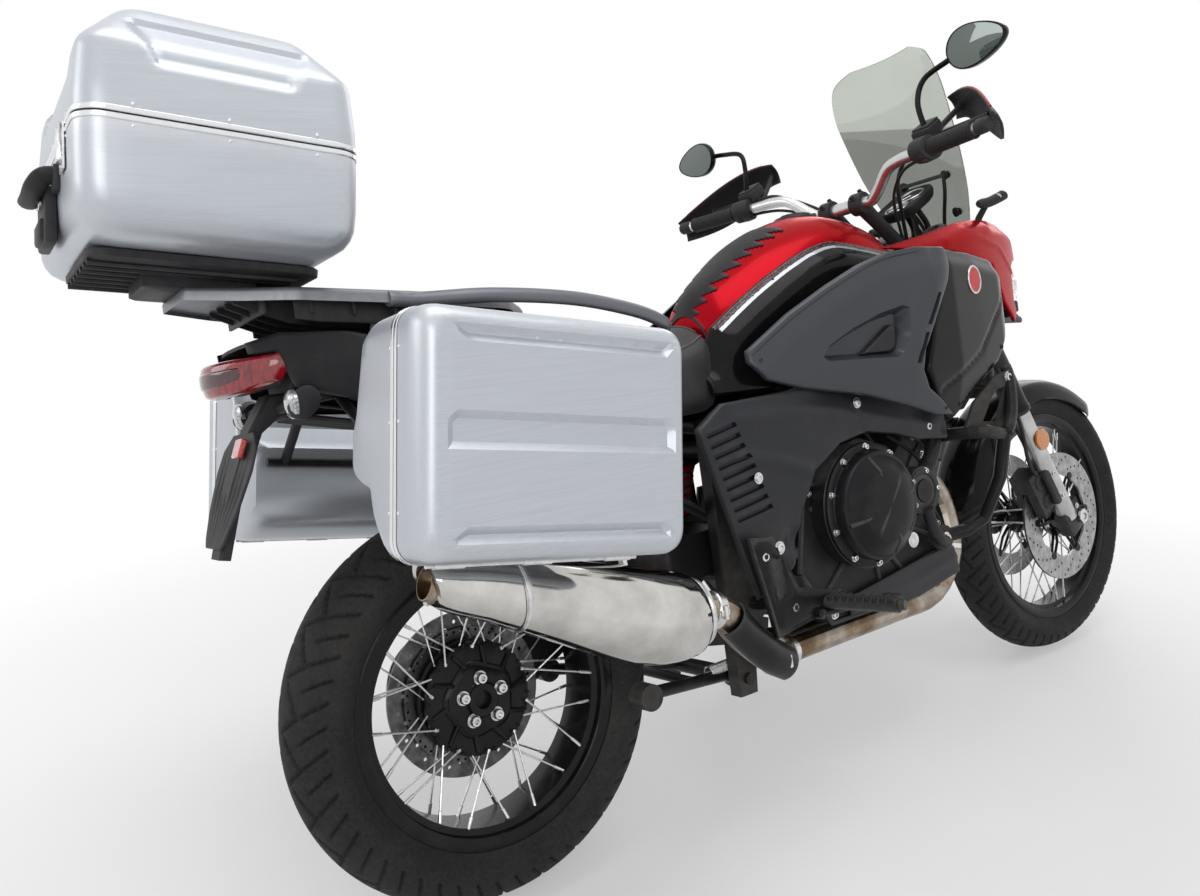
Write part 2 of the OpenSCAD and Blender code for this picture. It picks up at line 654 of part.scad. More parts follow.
module top_case_base() color("#b8bcc2") on_top_case() difference() {
    union() {
        translate([0, 0, 16]) round_plate(top_case_l, top_case_w, top_case_base_h - 16, case_r);
        round_plate(top_case_l - 26, top_case_w - 26, 18, case_r - 10);
        // Handle and latch plate behind the case
        translate([-top_case_l / 2 - 12, 0, 70]) cube([28, 90, 96], center = true);
    }
    translate([0, 0, 16 + case_wall]) round_plate(top_case_l - 2 * case_wall,
        top_case_w - 2 * case_wall, top_case_base_h, case_r - case_wall);
    translate([0, 0, case_wall]) round_plate(top_case_l - 32, top_case_w - 32, 40, case_r - 14);
}

// Lid stations: height above the seam and how far the side is drawn in
lid_steps = [[0, 0], [96, 6], [136, 30], [165, 62]];

module top_case_lid() color("#b8bcc2") on_top_case()
    translate([0, 0, top_case_base_h + seat_gap]) difference() {
        lid_shell(0);
        translate([0, 0, -0.01]) lid_shell(case_wall);
    }

// The lid's outline at one height, as an eight-sided ring
function lid_ring(inset, z) = let (l = top_case_l / 2 - inset, w = top_case_w / 2 - inset, c = 30)
    [[l - c, w, z], [-l + c, w, z], [-l, w - c, z], [-l, -w + c, z], [-l + c, -w, z],
        [l - c, -w, z], [l, -w + c, z], [l, w - c, z]];

module lid_shell(wall) skin([for (s = lid_steps)
    lid_ring(s[1] + wall, s[0] == 0 ? 0 : (s[0] - wall) * top_case_lid_h / 165)]);

// ---- stands ----

module side_stand() color("#232326") on_body() {
    ankle = stand_foot + [-4, -10, 24];
    difference() {
        translate(stand_pivot) along(stand_axis) translate([0, 0, 7 + seat_gap])
            cylinder(h = 14, r = 22);
        translate(stand_pivot) along(stand_axis) cylinder(h = 60, r = 4);
    }
    rod(stand_pivot + stand_axis * 14, ankle + stand_axis * 10, 12);
    translate(stand_foot) rotate([lean, 0, 0]) cylinder(h = 9, r = 34);
    rod(stand_foot + [-2, -3, 5], ankle + stand_axis * 10, 11);
}

stand_reach = [-0.984, 0.177];

module centre_stand() color("#232326") on_body() {
    foot = centre_pivot + stand_reach * centre_stand_l;
    brace = centre_pivot + 0.42 * (foot - centre_pivot);
    cross_bar(centre_pivot.x, centre_pivot.y, 15, -frame_in + 1, frame_in - 1);
    cross_bar(centre_pivot.x, centre_pivot.y, 10, -134, 134);
    both_sides() {
        rod([centre_pivot.x, 72, centre_pivot.y], [foot.x, 150, foot.y], 11);
        cross_bar(foot.x, foot.y, 22, 140, 176);
    }
    cross_bar(brace.x, brace.y, 9, -104, 104);
}

// ---- steering ----

leg_y = leg_spacing / 2;
leg_x = 36;
yoke_top = 802.5;
hub_half = 62;
bar_w = 950;
bar_u = -66;

module front_fork() color("#2a2a2d") on_steering() difference() {
    union() {
        both_sides() {
            translate([leg_x, leg_y, 10]) cylinder(h = 440, r = fork_tube_r - 5.5);
            translate([leg_x, leg_y, 330]) cylinder(h = 482, r = fork_tube_r);
            // Axle lug and caliper
            translate([leg_x - 16, leg_y - 18, -26]) cube([56, 34, 74]);
            caliper();
        }
        for (w = [588, yoke_top - 26]) translate([0, 0, w]) yoke();
        translate([0, 0, 600]) cylinder(h = 190, r = stem_r);
        translate([fork_offset, -leg_y - 20, 0]) rotate([-90, 0, 0])
            cylinder(h = leg_spacing + 40, r = 12.5);
    }
    translate([fork_offset, -leg_y - 60, 0]) rotate([-90, 0, 0])
        cylinder(h = leg_spacing + 120, r = front_bore_r);
}

// Left caliper on the back of its leg, with a slot for the disc
module caliper() difference() {
    union() {
        translate([leg_x - 66, leg_y - 55, 60]) cube([50, 52, 118]);
        translate([leg_x - 30, leg_y - 8, 80]) cube([24, 16, 70]);
    }
    translate([fork_offset, disc_y - 7.5, 0]) rotate([-90, 0, 0])
        cylinder(h = 15, r = front_disc_r + 6, $fn = 96);
}

disc_y = 72;

module yoke() {
    cylinder(h = 26, r = 36);
    both_sides() translate([leg_x, leg_y, 0]) cylinder(h = 26, r = fork_tube_r + 9);
    linear_extrude(26) polygon([[-30, -24], [leg_x - 24, -leg_y], [leg_x + 26, -leg_y],
        [34, -30], [34, 30], [leg_x + 26, leg_y], [leg_x - 24, leg_y], [-30, 24]]);
}

// Points along the straight end of the bar, where the grip is
function bar_at(y) = let (t = (y - 260) / 142) [bar_u - 18 - 37 * t, y, bar_w + 72 + 16 * t];
bar_path = [[bar_u, 0, bar_w], [bar_u, 30, bar_w], [bar_u, 60, bar_w], [bar_u, 76, bar_w],
    [bar_u + 2, 100, bar_w + 16], [bar_u + 5, 142, bar_w + 52], [bar_u + 1, 180, bar_w + 63],
    bar_at(212), bar_at(236), bar_at(300), bar_at(bar_half_w)];

module handlebar() color("#c8c9cb") on_steering() {
    half = curve(bar_path, 2);
    sweep(concat([for (i = [len(half) - 1:-1:1]) [half[i].x, -half[i].y, half[i].z]], half),
        12, [1, 0, 0]);
}

module bar_controls() color("#19191b") on_steering() {
    both_sides() {
        // Risers and clamps
        difference() {
            union() {
                translate([-6, 42, yoke_top + seat_gap]) cylinder(h = 12, r = 15);
                rod([-6, 42, yoke_top + 10], [bar_u, 42, bar_w], 14.9);
                translate([bar_u, 30, bar_w]) rotate([-90, 0, 0]) cylinder(h = 26, r = 24);
            }
            translate([bar_u, 20, bar_w]) rotate([-90, 0, 0]) cylinder(h = 50, r = 12 + seat_gap);
        }
        // Grip, switch block, lever and master cylinder
        difference() {
            union() {
                rod(bar_at(282), bar_at(bar_half_w - 6), 17);
                rod(bar_at(236), bar_at(278), 24);
                translate(bar_at(250) + [34, 0, 22]) cube([52, 44, 26], center = true);
            }
            rod(bar_at(200), bar_at(bar_half_w + 30), 12.9);
        }
        rod(bar_at(250) + [40, 0, 4], bar_at(385) + [66, 0, 0], 6);
    }
}

module hand_guards() color("#17171a") on_steering() both_sides() {
    rod(bar_at(bar_half_w + 0.8), bar_at(bar_half_w + 30), 14);
    // Shield in front of the grip
    skin([for (k = [0:8]) let (t = k / 8, y = 440 - 190 * t, x = bar_u - 54 + 150 * sin(90 * t) + 30 * t,
            lo = bar_w + 70 - 34 * sin(180 * min(t + 0.15, 1)), hi = bar_w + 108 + 24 * sin(150 * t))
        [[x, y, lo], [x + 6, y + 2, lo], [x + 10, y + 3, (lo + hi) / 2], [x + 4, y + 2, hi],
            [x - 2, y, hi], [x + 4, y, (lo + hi) / 2]]]);
}

module mirrors() color("#141416") on_steering() both_sides() {
    sweep(curve([[-50, 252, bar_w + 109.2], [-30, 246, bar_w + 150], [-6, 262, bar_w + 182],
        [2, 320, bar_w + 196], [0, 352, bar_w + 202]], 4), 6, [1, 0, 0]);
    translate([-8, 392, bar_w + 206]) rotate([0, rake - 4, 0]) skin([
        for (k = [0:5]) let (x = [-12, -8, 0, 8, 16, 20][k], g = [0.9, 1, 1, 0.86, 0.55, 0.2][k])
        [for (j = [0:19]) let (a = 18 * j) [x, 62 * g * cos(a), 38 * g * sin(a)]]]);
}

guard_r = front_tyre_r + 9;

module front_mudguard() color("#151517") on_steering() {
    translate([fork_offset, 0, 0]) rotate([0, rake, 0]) rotate([90, 0, 0])
        rotate([0, 0, 44]) rotate_extrude(angle = 124, $fn = 96) polygon([
            [guard_r - 44, 66], [guard_r - 14, 56], [guard_r, 30], [guard_r + 1, 0], [guard_r, -30],
            [guard_r - 14, -56], [guard_r - 44, -66], [guard_r - 44, -69], [guard_r - 12, -59],
            [guard_r + 3, -32], [guard_r + 5, 0], [guard_r + 3, 32], [guard_r - 12, 59],
            [guard_r - 44, 69]]);
    // Brackets to the fork legs
    both_sides() translate([leg_x - 10, 63, 298])
        cube([20, leg_y - (fork_tube_r - 5.5) - seat_gap - 63, 20]);
}

// ---- wheels ----

// Height of a rim's flanges over the tyre's seat
flange_h = 15;

// One tyre: rolling radius, width and the radius of its seat on the rim
module tyre(r, w, seat_r, bead_half) rotate([90, 0, 0]) rotate_extrude($fn = 120) union() {
    intersection() {
        translate([r - w / 2, 0]) circle(w / 2, $fn = 64);
        translate([seat_r + flange_h + 1, -w]) square([r, 2 * w]);
    }
    translate([seat_r, -bead_half]) square([flange_h + 2, 2 * bead_half]);
}

// One rim: flange radius, half width between the flanges and how deep the well is
module rim(r, half, deep) rotate([90, 0, 0]) rotate_extrude($fn = 120) polygon([
    [r, half + 5], [r, half + seat_gap], [r - flange_h - seat_gap, half + seat_gap],
    [r - flange_h - seat_gap, -half - seat_gap], [r, -half - seat_gap], [r, -half - 5],
    [r - 19, -half - 5], [r - flange_h - deep, -half + 8], [r - flange_h - deep, half - 8],
    [r - 19, half + 5]]);

// Crossed spokes of one side, from a hub flange to the rim
module spokes(hub_r, hub_y, rim_r, rim_y, turn) for (k = [0:spokes_per_side - 1])
    let (a = 360 * k / spokes_per_side, s = k % 2 == 0 ? 1 : -1)
    rod([hub_r * cos(a), hub_y + s * 4.5, hub_r * sin(a)],
        [rim_r * cos(a + s * turn), rim_y + s * 3.5, rim_r * sin(a + s * turn)], spoke_r);

front_bead = 36;
rear_bead = 52;

module front_tyre() color("#1c1c1e") parked() translate(front_axle)
    tyre(front_tyre_r, front_tyre_w, front_rim_r - flange_h, front_bead);

module front_wheel() color("#1b1b1d") parked() translate(front_axle) {
    rim(front_rim_r, front_bead, 16);
    difference() {
        rotate([90, 0, 0]) union() {
            cylinder(h = 2 * hub_half - 4, r = 27, center = true);
            for (s = [-1, 1]) translate([0, 0, s * 48]) cylinder(h = 6, r = 46, center = true);
        }
        rotate([90, 0, 0]) cylinder(h = 200, r = 12.5 + run_gap, center = true);
    }
    for (s = [-1, 1]) spokes(40, s * 48, front_rim_r - 30, s * 20, 24);
}

module front_discs() color("#8f9194") parked() translate(front_axle) for (s = [-1, 1])
    rotate([90, 0, 0]) difference() {
        union() {
            translate([0, 0, s * disc_y]) cylinder(h = 5, r = front_disc_r, center = true, $fn = 96);
            translate([0, 0, s * (disc_y - 6)]) cylinder(h = 10, r = 40, center = true);
        }
        cylinder(h = 200, r = 27, center = true);
        translate([0, 0, s * disc_y])
            for (a = [0:60:300])
                rotate([0, 0, a]) translate([74, 0, 0]) cylinder(h = 20, r = 26, center = true);
    }

module rear_tyre() color("#1c1c1e") parked() translate(rear_axle)
    tyre(rear_tyre_r, rear_tyre_w, rear_rim_r - flange_h, rear_bead);

module rear_wheel() color("#1b1b1d") parked() translate(rear_axle) {
    rim(rear_rim_r, rear_bead, 18);
    difference() {
        union() {
            cross_bar(0, 0, rear_hub_r, -8, -2);
            cross_bar(0, 0, 62, -8, 34);
            cross_bar(0, 0, rear_hub_r, 22, 28);
            cross_bar(0, 0, stub_r, 30, 112);
            translate([0, -16, 0]) rotate([-90, 0, 0]) cylinder(h = 10, r1 = 34, r2 = 42);
        }
        cross_bar(0, 0, rear_bore_r, -60, 160);
    }
    spokes(rear_hub_r - 8, -5, rear_rim_r - 32, -34, 20);
    spokes(rear_hub_r - 8, 25, rear_rim_r - 32, 34, 20);
}

module rear_disc() color("#8f9194") parked() translate(rear_axle) difference() {
    union() {
        cross_bar(0, 0, rear_disc_r, 45, 50);
        cross_bar(0, 0, 56, 34 + seat_gap, 50);
    }
    cross_bar(0, 0, stub_r + seat_gap, 0, 100);
    for (a = [0:72:288]) rotate([0, a, 0]) cross_bar(78, 0, 16, 0, 100);
}

main_frame();
rear_subframe();
engine();
exhaust_pipes();
silencer();
fuel_tank();
tank_panels();
side_fairings();
side_cowls();
front_cowl();
headlight();
windscreen();
instrument_panel();
seat();
tail_cowl();
rear_carrier();
top_case_base();
pannier_base_right();
pannier_base_left();
tail_light();
plate_holder();
turn_signals();
swingarm();
rear_shock();
frame_covers();
footrests();
belly_pan();
engine_guard();
top_case_lid();
pannier_lid_right();
pannier_lid_left();
side_stand();
centre_stand();
front_fork();
handlebar();
bar_controls();
hand_guards();
mirrors();
front_mudguard();
front_tyre();
front_wheel();
front_discs();
rear_tyre();
rear_wheel();
rear_disc();
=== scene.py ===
"""Looks of an adventure touring motorcycle: bodywork, engine, wheels, luggage and stage."""

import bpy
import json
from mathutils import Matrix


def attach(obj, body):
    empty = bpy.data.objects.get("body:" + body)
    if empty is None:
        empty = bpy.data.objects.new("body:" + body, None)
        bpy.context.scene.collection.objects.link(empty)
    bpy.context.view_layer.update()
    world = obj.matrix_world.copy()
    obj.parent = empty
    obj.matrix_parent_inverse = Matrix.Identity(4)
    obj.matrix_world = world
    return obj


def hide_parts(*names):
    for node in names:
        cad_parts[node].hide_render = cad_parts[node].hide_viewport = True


bl_info = {
    "name": "Adventure Motorcycle",
    "version": (1, 0, 0),
    "blender": (4, 5, 0),
    "location": "View3D > Sidebar > Motorcycle",
    "description": "Adds the bodywork, tyres, controls and finishes of a touring motorcycle",
    "category": "Add Mesh",
}

import json
import math

import bmesh
import bpy
import numpy as np
from bpy.props import FloatProperty, FloatVectorProperty, IntProperty, PointerProperty
from mathutils import Matrix, Vector
from mathutils.geometry import delaunay_2d_cdt

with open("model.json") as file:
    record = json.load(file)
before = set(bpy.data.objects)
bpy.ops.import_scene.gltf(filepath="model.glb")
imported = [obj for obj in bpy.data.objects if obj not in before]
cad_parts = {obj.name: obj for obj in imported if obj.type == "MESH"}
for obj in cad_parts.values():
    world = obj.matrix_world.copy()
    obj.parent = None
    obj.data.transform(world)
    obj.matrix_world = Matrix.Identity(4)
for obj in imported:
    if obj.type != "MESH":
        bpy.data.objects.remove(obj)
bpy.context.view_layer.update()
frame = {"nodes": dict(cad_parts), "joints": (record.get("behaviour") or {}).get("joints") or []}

# ---- places ----
# Pieces are drawn on the upright motorcycle, in millimetres: X forward, Y to the rider's left.

LEAN = math.radians(12)
RAKE = math.radians(28)
JOINTS = {joint["name"]: joint for joint in frame["joints"]}
FRONT_AXLE = Vector((797.5, 0, 329))
REAR_AXLE = Vector((-797.5, 0, 321))


def upright_space():
    """The matrix from the upright motorcycle in millimetres to the leaning one in metres."""
    turn = Matrix.Rotation(-LEAN, 4, "X") @ Matrix.Scale(0.001, 4)
    axle = Vector(JOINTS["front_wheel_spin"]["pos_m"])
    return Matrix.Translation(axle - turn @ FRONT_AXLE) @ turn


BIKE = upright_space()
STEERING = BIKE @ Matrix.Translation(FRONT_AXLE) @ Matrix.Rotation(-RAKE, 4,
                                                                   "Y") @ Matrix.Translation((-60, 0, 0))
TOP_CASE = BIKE @ Matrix.Translation((-1135, 0, 1034)) @ Matrix.Rotation(math.radians(8), 4, "Y")
SIDE_CASE = BIKE @ Matrix.Translation((-860, 0, 738)) @ Matrix.Rotation(math.radians(9.5), 4, "Y")
MIRROR = Matrix.Scale(-1, 4, (0, 1, 0))
FRONT_WHEEL = BIKE @ Matrix.Translation(FRONT_AXLE)
REAR_WHEEL = BIKE @ Matrix.Translation(REAR_AXLE)


# ---- curves and outlines ----


def curve(points, steps=6, closed=False):
    """Points on a smooth curve through the given ones."""
    p = [Vector(q) for q in points]
    count = len(p)
    out = []
    for i in range(count if closed else count - 1):
        if closed:
            a, b, c, d = p[i - 1], p[i], p[(i + 1) % count], p[(i + 2) % count]
        else:
            a, b, c, d = p[max(i - 1, 0)], p[i], p[i + 1], p[min(i + 2, count - 1)]
        for k in range(steps):
            t = k / steps
            out.append(0.5 * (2 * b + (c - a) * t + (2 * a - 5 * b + 4 * c - d) * t * t
                              + (3 * b - a - 3 * c + d) * t ** 3))
    if not closed:
        out.append(p[-1])
    return out


def ease(t):
    """0 to 1, with a soft start and end."""
    t = np.clip(t, 0.0, 1.0)
    return t * t * (3 - 2 * t)


def table(pairs):
    """A function that reads between the given pairs of numbers."""
    xs, ys = zip(*sorted(pairs))
    return lambda x: np.interp(x, xs, ys)


def smooth(pairs, reach):
    """The same, with its corners rounded over reach to either side."""
    read = table(pairs)
    return lambda x: sum(read(x + d) for d in np.linspace(-reach, reach, 9)) / 9


def even(points, gap):
    """The closed outline with a point about every gap millimetres, its corners kept."""
    out = []
    for i, a in enumerate(points):
        a, b = Vector(a[:2]), Vector(points[(i + 1) % len(points)][:2])
        n = max(1, round((b - a).length / gap))
        out += [a.lerp(b, k / n) for k in range(n)]
    return out


def round_rect(l, w, r, corner=7, side=8):
    """Points round a rectangle with round corners, centred, anticlockwise."""
    r = max(r, 0.5)
    pts = []
    for cx, cy, a0 in ((l / 2 - r, w / 2 - r, 0), (-l / 2 + r, w / 2 - r, 90),
                       (-l / 2 + r, -w / 2 + r, 180), (l / 2 - r, -w / 2 + r, 270)):
        arc = [(cx + r * math.cos(math.radians(a0 + 90 * k / corner)),
                cy + r * math.sin(math.radians(a0 + 90 * k / corner))) for k in range(corner + 1)]
        pts.append(arc)
    out = []
    for i, arc in enumerate(pts):
        out += arc
        a, b = Vector(arc[-1]), Vector(pts[(i + 1) % 4][0])
        out += [tuple(a.lerp(b, k / side)) for k in range(1, side)]
    return out


def inset(outline, gap):
    """The closed outline moved inwards."""
    pts = [Vector(p[:2]) for p in outline]
    if sum(a.x * b.y - b.x * a.y for a, b in zip(pts, pts[1:] + pts[:1])) < 0:
        pts.reverse()
    out = []
    for a, p, b in zip(pts[-1:] + pts[:-1], pts, pts[1:] + pts[:1]):
        d1, d2 = (p - a).normalized(), (b - p).normalized()
        m = Vector((-d1.y - d2.y, d1.x + d2.x))
        out.append(p + m.normalized() * gap / max(0.5, m.length / 2) if m.length > 1e-6 else p)
    return out


def edge_distance(x, z, outline):
    """How far each point lies from a closed outline, less than 0 outside it."""
    x, z = np.asarray(x, float), np.asarray(z, float)
    p = np.array([q[:2] for q in outline], float)
    q = np.roll(p, -1, 0)
    best = np.full(x.shape, 1e9)
    inside = np.zeros(x.shape, bool)
    for (ax, az), (bx, bz) in zip(p, q):
        dx, dz = bx - ax, bz - az
        t = np.clip(((x - ax) * dx + (z - az) * dz) / max(dx * dx + dz * dz, 1e-9), 0, 1)
        best = np.minimum(best, np.hypot(x - ax - t * dx, z - az - t * dz))
        if az != bz:
            inside ^= ((az > z) != (bz > z)) & (x < dx * (z - az) / dz + ax)
    return np.where(inside, best, -best)


def line_distance(x, z, path):
    """How far each point lies from an open path."""
    best = np.full(np.shape(x), 1e9)
    for (ax, az), (bx, bz) in zip(path, path[1:]):
        dx, dz = bx - ax, bz - az
        t = np.clip(((x - ax) * dx + (z - az) * dz) / max(dx * dx + dz * dz, 1e-9), 0, 1)
        best = np.minimum(best, np.hypot(x - ax - t * dx, z - az - t * dz))
    return best


def border(faces):
    """The edges that only one face has, in the order of the faces."""
    edges = dict.fromkeys((a, b) for f in faces for a, b in zip(f, f[1:] + f[:1]))
    return [(a, b) for a, b in edges if (b, a) not in edges]


# ---- making meshes ----


class Shape:
    """Gathers points and faces that become one piece."""

    def __init__(self):
        self.points, self.faces, self.tags = [], [], []

    def add(self, points, faces, tag=0):
        """Adds points and faces; the tag picks one of the piece's finishes."""
        start = len(self.points)
        self.points += [tuple(p) for p in points]
        self.faces += [[start + i for i in f] for f in faces]
        self.tags += [tag] * len(faces)
        return self

    def loft(self, rings, caps=True, closed=True, tag=0, hole=None):
        """Faces between rings that have equal numbers of points."""
        n, faces = len(rings[0]), []
        for i in range(len(rings) - 1):
            for k in range(n if closed else n - 1):
                j = (k + 1) % n
                if hole and hole(i, k):
                    continue
                faces.append([i * n + k, i * n + j, (i + 1) * n + j, (i + 1) * n + k])
        if caps:
            faces.append(list(range(n))[::-1])
            faces.append([(len(rings) - 1) * n + k for k in range(n)])
        return self.add([p for r in rings for p in r], faces, tag)

    def tube(self, path, radius, sides=14, caps=True, flat=1.0):
        """A round or flattened tube along a path."""
        path = [Vector(p) for p in path]
        radii = radius if isinstance(radius, (list, tuple)) else [radius] * len(path)
        rings = []
        along = (path[1] - path[0]).normalized()
        u = along.orthogonal()
        for i, p in enumerate(path):
            step = path[min(i + 1, len(path) - 1)] - path[max(i - 1, 0)]
            along = step.normalized() if step.length > 1e-9 else along
            u = (u - along * u.dot(along)).normalized()
            v = along.cross(u)
            rings.append([p + radii[i] * (math.cos(math.tau * k / sides) * u
                                          + flat * math.sin(math.tau * k / sides) * v)
                          for k in range(sides)])
        return self.loft(rings, caps)

    def lathe(self, profile, at=(0, 0, 0), axis=(0, 1, 0), steps=48, tag=0, bumps=None):
        """Turns (height, radius) pairs round an axis; bumps(angle, i) changes a radius."""
        at, axis = Vector(at), Vector(axis).normalized()
        u = axis.orthogonal().normalized()
        v = axis.cross(u)
        rings = []
        for i, (h, r) in enumerate(profile):
            ring = []
            for k in range(steps):
                a = math.tau * k / steps
                rr = max(r * (bumps(a, i) if bumps else 1), 0.01)
                ring.append(at + axis * h + rr * (math.cos(a) * u + math.sin(a) * v))
            rings.append(ring)
        return self.loft(rings, tag=tag)

    def plate(self, outline, thick, origin=(0, 0, 0), u=(1, 0, 0), v=(0, 0, 1), bevel=1.0):
        """A flat plate with chamfered edges; it grows from origin along u x v."""
        u, v, o = Vector(u).normalized(), Vector(v).normalized(), Vector(origin)
        w = u.cross(v)
        pts = [Vector(p[:2]) for p in outline]
        area = sum(a.x * b.y - b.x * a.y for a, b in zip(pts, pts[1:] + pts[:1]))
        if area < 0:
            pts.reverse()
        inner = inset(pts, bevel)
        place = lambda ring, h: [o + u * p.x + v * p.y + w * h for p in ring]
        return self.loft([place(inner, 0), place(pts, bevel), place(pts, thick - bevel),
                          place(inner, thick)])

    def block(self, at, size, round_edge=2.0, turn=None):
        """A box with rounded edges."""
        bm = bmesh.new()
        bmesh.ops.create_cube(bm, size=1)
        bmesh.ops.scale(bm, vec=size, verts=bm.verts)
        bmesh.ops.bevel(bm, geom=bm.edges[:] + bm.verts[:], offset=min(round_edge,
                                                                       min(size) * 0.45),
                        segments=2, profile=0.5, affect="EDGES")
        m = Matrix.Translation(at) @ (turn.to_4x4() if turn else Matrix.Identity(4))
        bm.verts.index_update()
        self.add([m @ v.co for v in bm.verts], [[v.index for v in f.verts] for f in bm.faces])
        bm.free()
        return self

    def bolt(self, at, axis, radius=5.0, height=5.0, washer=True, sides=18):
        """A round-headed screw with a socket."""
        r, h = radius, height
        profile = [(h * 0.45, 0), (h * 0.45, r * 0.5), (h, r * 0.55), (h, r * 0.86), (h * 0.86, r),
                   (0.6, r)]
        if washer:
            profile += [(0.6, r * 1.45), (-1.0, r * 1.45)]
        else:
            profile += [(-1.0, r)]
        return self.lathe(profile[::-1], at, axis, sides)

    def hexagon(self, at, axis, radius=6.0, height=5.0):
        """A six-sided nut or bolt head."""
        self.lathe([(-0.5, radius * 1.35), (1.0, radius * 1.35)], at, axis, 20)
        return self.lathe([(0.9, radius), (height - 1, radius), (height, radius * 0.85),
                           (height, radius * 0.4)], at, axis, 6)

    def relief(self, outline, height, thick=4.0, cell=9.0, edge=5.0, drop=4.0, axes="xzy",
               back=True, ring_gap=6.0, fields=()):
        """A panel over a closed outline, its face at height(x, z) less its sunk fields, its rim
        rounded over. A field is (outline, depth, wall): the width its wall takes."""
        rim = even(outline, ring_gap)
        area = sum(a.x * b.y - b.x * a.y for a, b in zip(rim, rim[1:] + rim[:1]))
        if area < 0:
            rim.reverse()
        pts = [tuple(p) for p in rim]
        n = len(rim)
        for d in (edge * 0.25, edge * 0.6, edge):
            if d <= 0:
                continue
            ring = []
            for i, p in enumerate(rim):
                t = (rim[(i + 1) % n] - rim[i - 1]).normalized()
                ring.append((p.x - t.y * d, p.y + t.x * d))
            q = np.array(ring)
            keep = edge_distance(q[:, 0], q[:, 1], rim) > d * 0.93
            pts += [tuple(c) for c, ok in zip(ring, keep) if ok]
        lo, hi = np.min([p[:] for p in rim], 0), np.max([p[:] for p in rim], 0)
        gx, gz = np.meshgrid(np.arange(lo[0] + cell / 2, hi[0], cell), np.arange(lo[1] + cell / 2,
                                                                                 hi[1], cell))
        gx = gx + (np.arange(gx.shape[0]) % 2)[:, None] * cell / 2
        gx, gz = gx.ravel(), gz.ravel()
        keep = edge_distance(gx, gz, rim) > edge + cell * 0.4
        pts += list(zip(gx[keep], gz[keep]))
        lines = [(i, (i + 1) % n) for i in range(n)]
        for outline, _, wall in fields:
            for loop in (even(outline, cell * 0.8), even(inset(outline, wall), cell * 0.8)):
                lines += [(len(pts) + i, len(pts) + (i + 1) % len(loop)) for i in range(len(loop))]
                pts += [tuple(p) for p in loop]
        found = delaunay_2d_cdt([Vector(p) for p in pts], lines, [], 1, 1e-4)
        flat, tris = found[0], found[2]
        x = np.array([p.x for p in flat])
        z = np.array([p.y for p in flat])
        d = np.maximum(edge_distance(x, z, rim), 0)
        y = np.asarray(height(x, z), float)
        for outline, depth, wall in fields:
            y = y - depth * np.clip(edge_distance(x, z, outline) / wall, 0, 1)
        y = y - drop * (1 - np.sqrt(np.clip(1 - (1 - np.clip(d / max(edge, 1e-6), 0, 1)) ** 2, 0,
                                            1)))
        make = {"xzy": lambda a, b, c: (a, c, b), "xyz": lambda a, b, c: (a, b, c),
                "yzx": lambda a, b, c: (c, a, b)}[axes]
        front = [make(*p) for p in zip(x, z, y)]
        faces = [list(t)[::-1] if axes == "xzy" else list(t) for t in tris]
        if back:
            m = len(front)
            rim_edges = border(faces)
            faces += [[i + m for i in t[::-1]] for t in faces]
            faces += [[b, a, a + m, b + m] for a, b in rim_edges]
            front += [make(*p) for p in zip(x, z, y - thick)]
        return self.add(front, faces)

    def moved(self, matrix):
        """Moves everything gathered so far."""
        self.points = [tuple(matrix @ Vector(p)) for p in self.points]
        if matrix.determinant() < 0:
            self.faces = [f[::-1] for f in self.faces]
        return self

    def both_sides(self):
        """Adds the mirror image across the middle plane."""
        start = len(self.points)
        self.points += [(x, -y, z) for x, y, z in self.points]
        self.faces += [[i + start for i in f[::-1]] for f in self.faces]
        self.tags += self.tags
        return self

    def piece(self, name, finish, body, space=None, sharp=38.0, stands_for=(), slot=None, level=0,
              thick=0.0, weld=0.0):
        """Turns what was gathered into an object that rides on a body."""
        m = np.array(space or BIKE)
        co = np.array(self.points, float) @ m[:3, :3].T + m[:3, 3]
        mesh = bpy.data.meshes.new(name)
        mesh.from_pydata(co.tolist(), [], self.faces)
        finishes = finish if isinstance(finish, (list, tuple)) else [finish]
        for f in finishes:
            mesh.materials.append(f)
        if len(finishes) > 1:
            mesh.polygons.foreach_set("material_index", self.tags)
        if (space or BIKE).determinant() < 0:
            mesh.flip_normals()
        bm = bmesh.new()
        bm.from_mesh(mesh)
        if weld:
            bmesh.ops.remove_doubles(bm, verts=bm.verts, dist=weld * 0.001)
        bmesh.ops.recalc_face_normals(bm, faces=bm.faces)
        bm.to_mesh(mesh)
        bm.free()
        mesh.shade_smooth()
        if sharp < 180:
            mesh.set_sharp_from_angle(angle=math.radians(sharp))
        obj = bpy.data.objects.new(name, mesh)
        bpy.context.scene.collection.objects.link(obj)
        if thick:
            shell = obj.modifiers.new("thickness", "SOLIDIFY")
            shell.thickness = thick * 0.001
            shell.offset = -1
        if level:
            sub = obj.modifiers.new("smooth", "SUBSURF")
            sub.levels = sub.render_levels = level
        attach(obj, body)
        if stands_for:
            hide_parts(*stands_for)
        return obj


# ---- finishes ----

FINISHES = {}


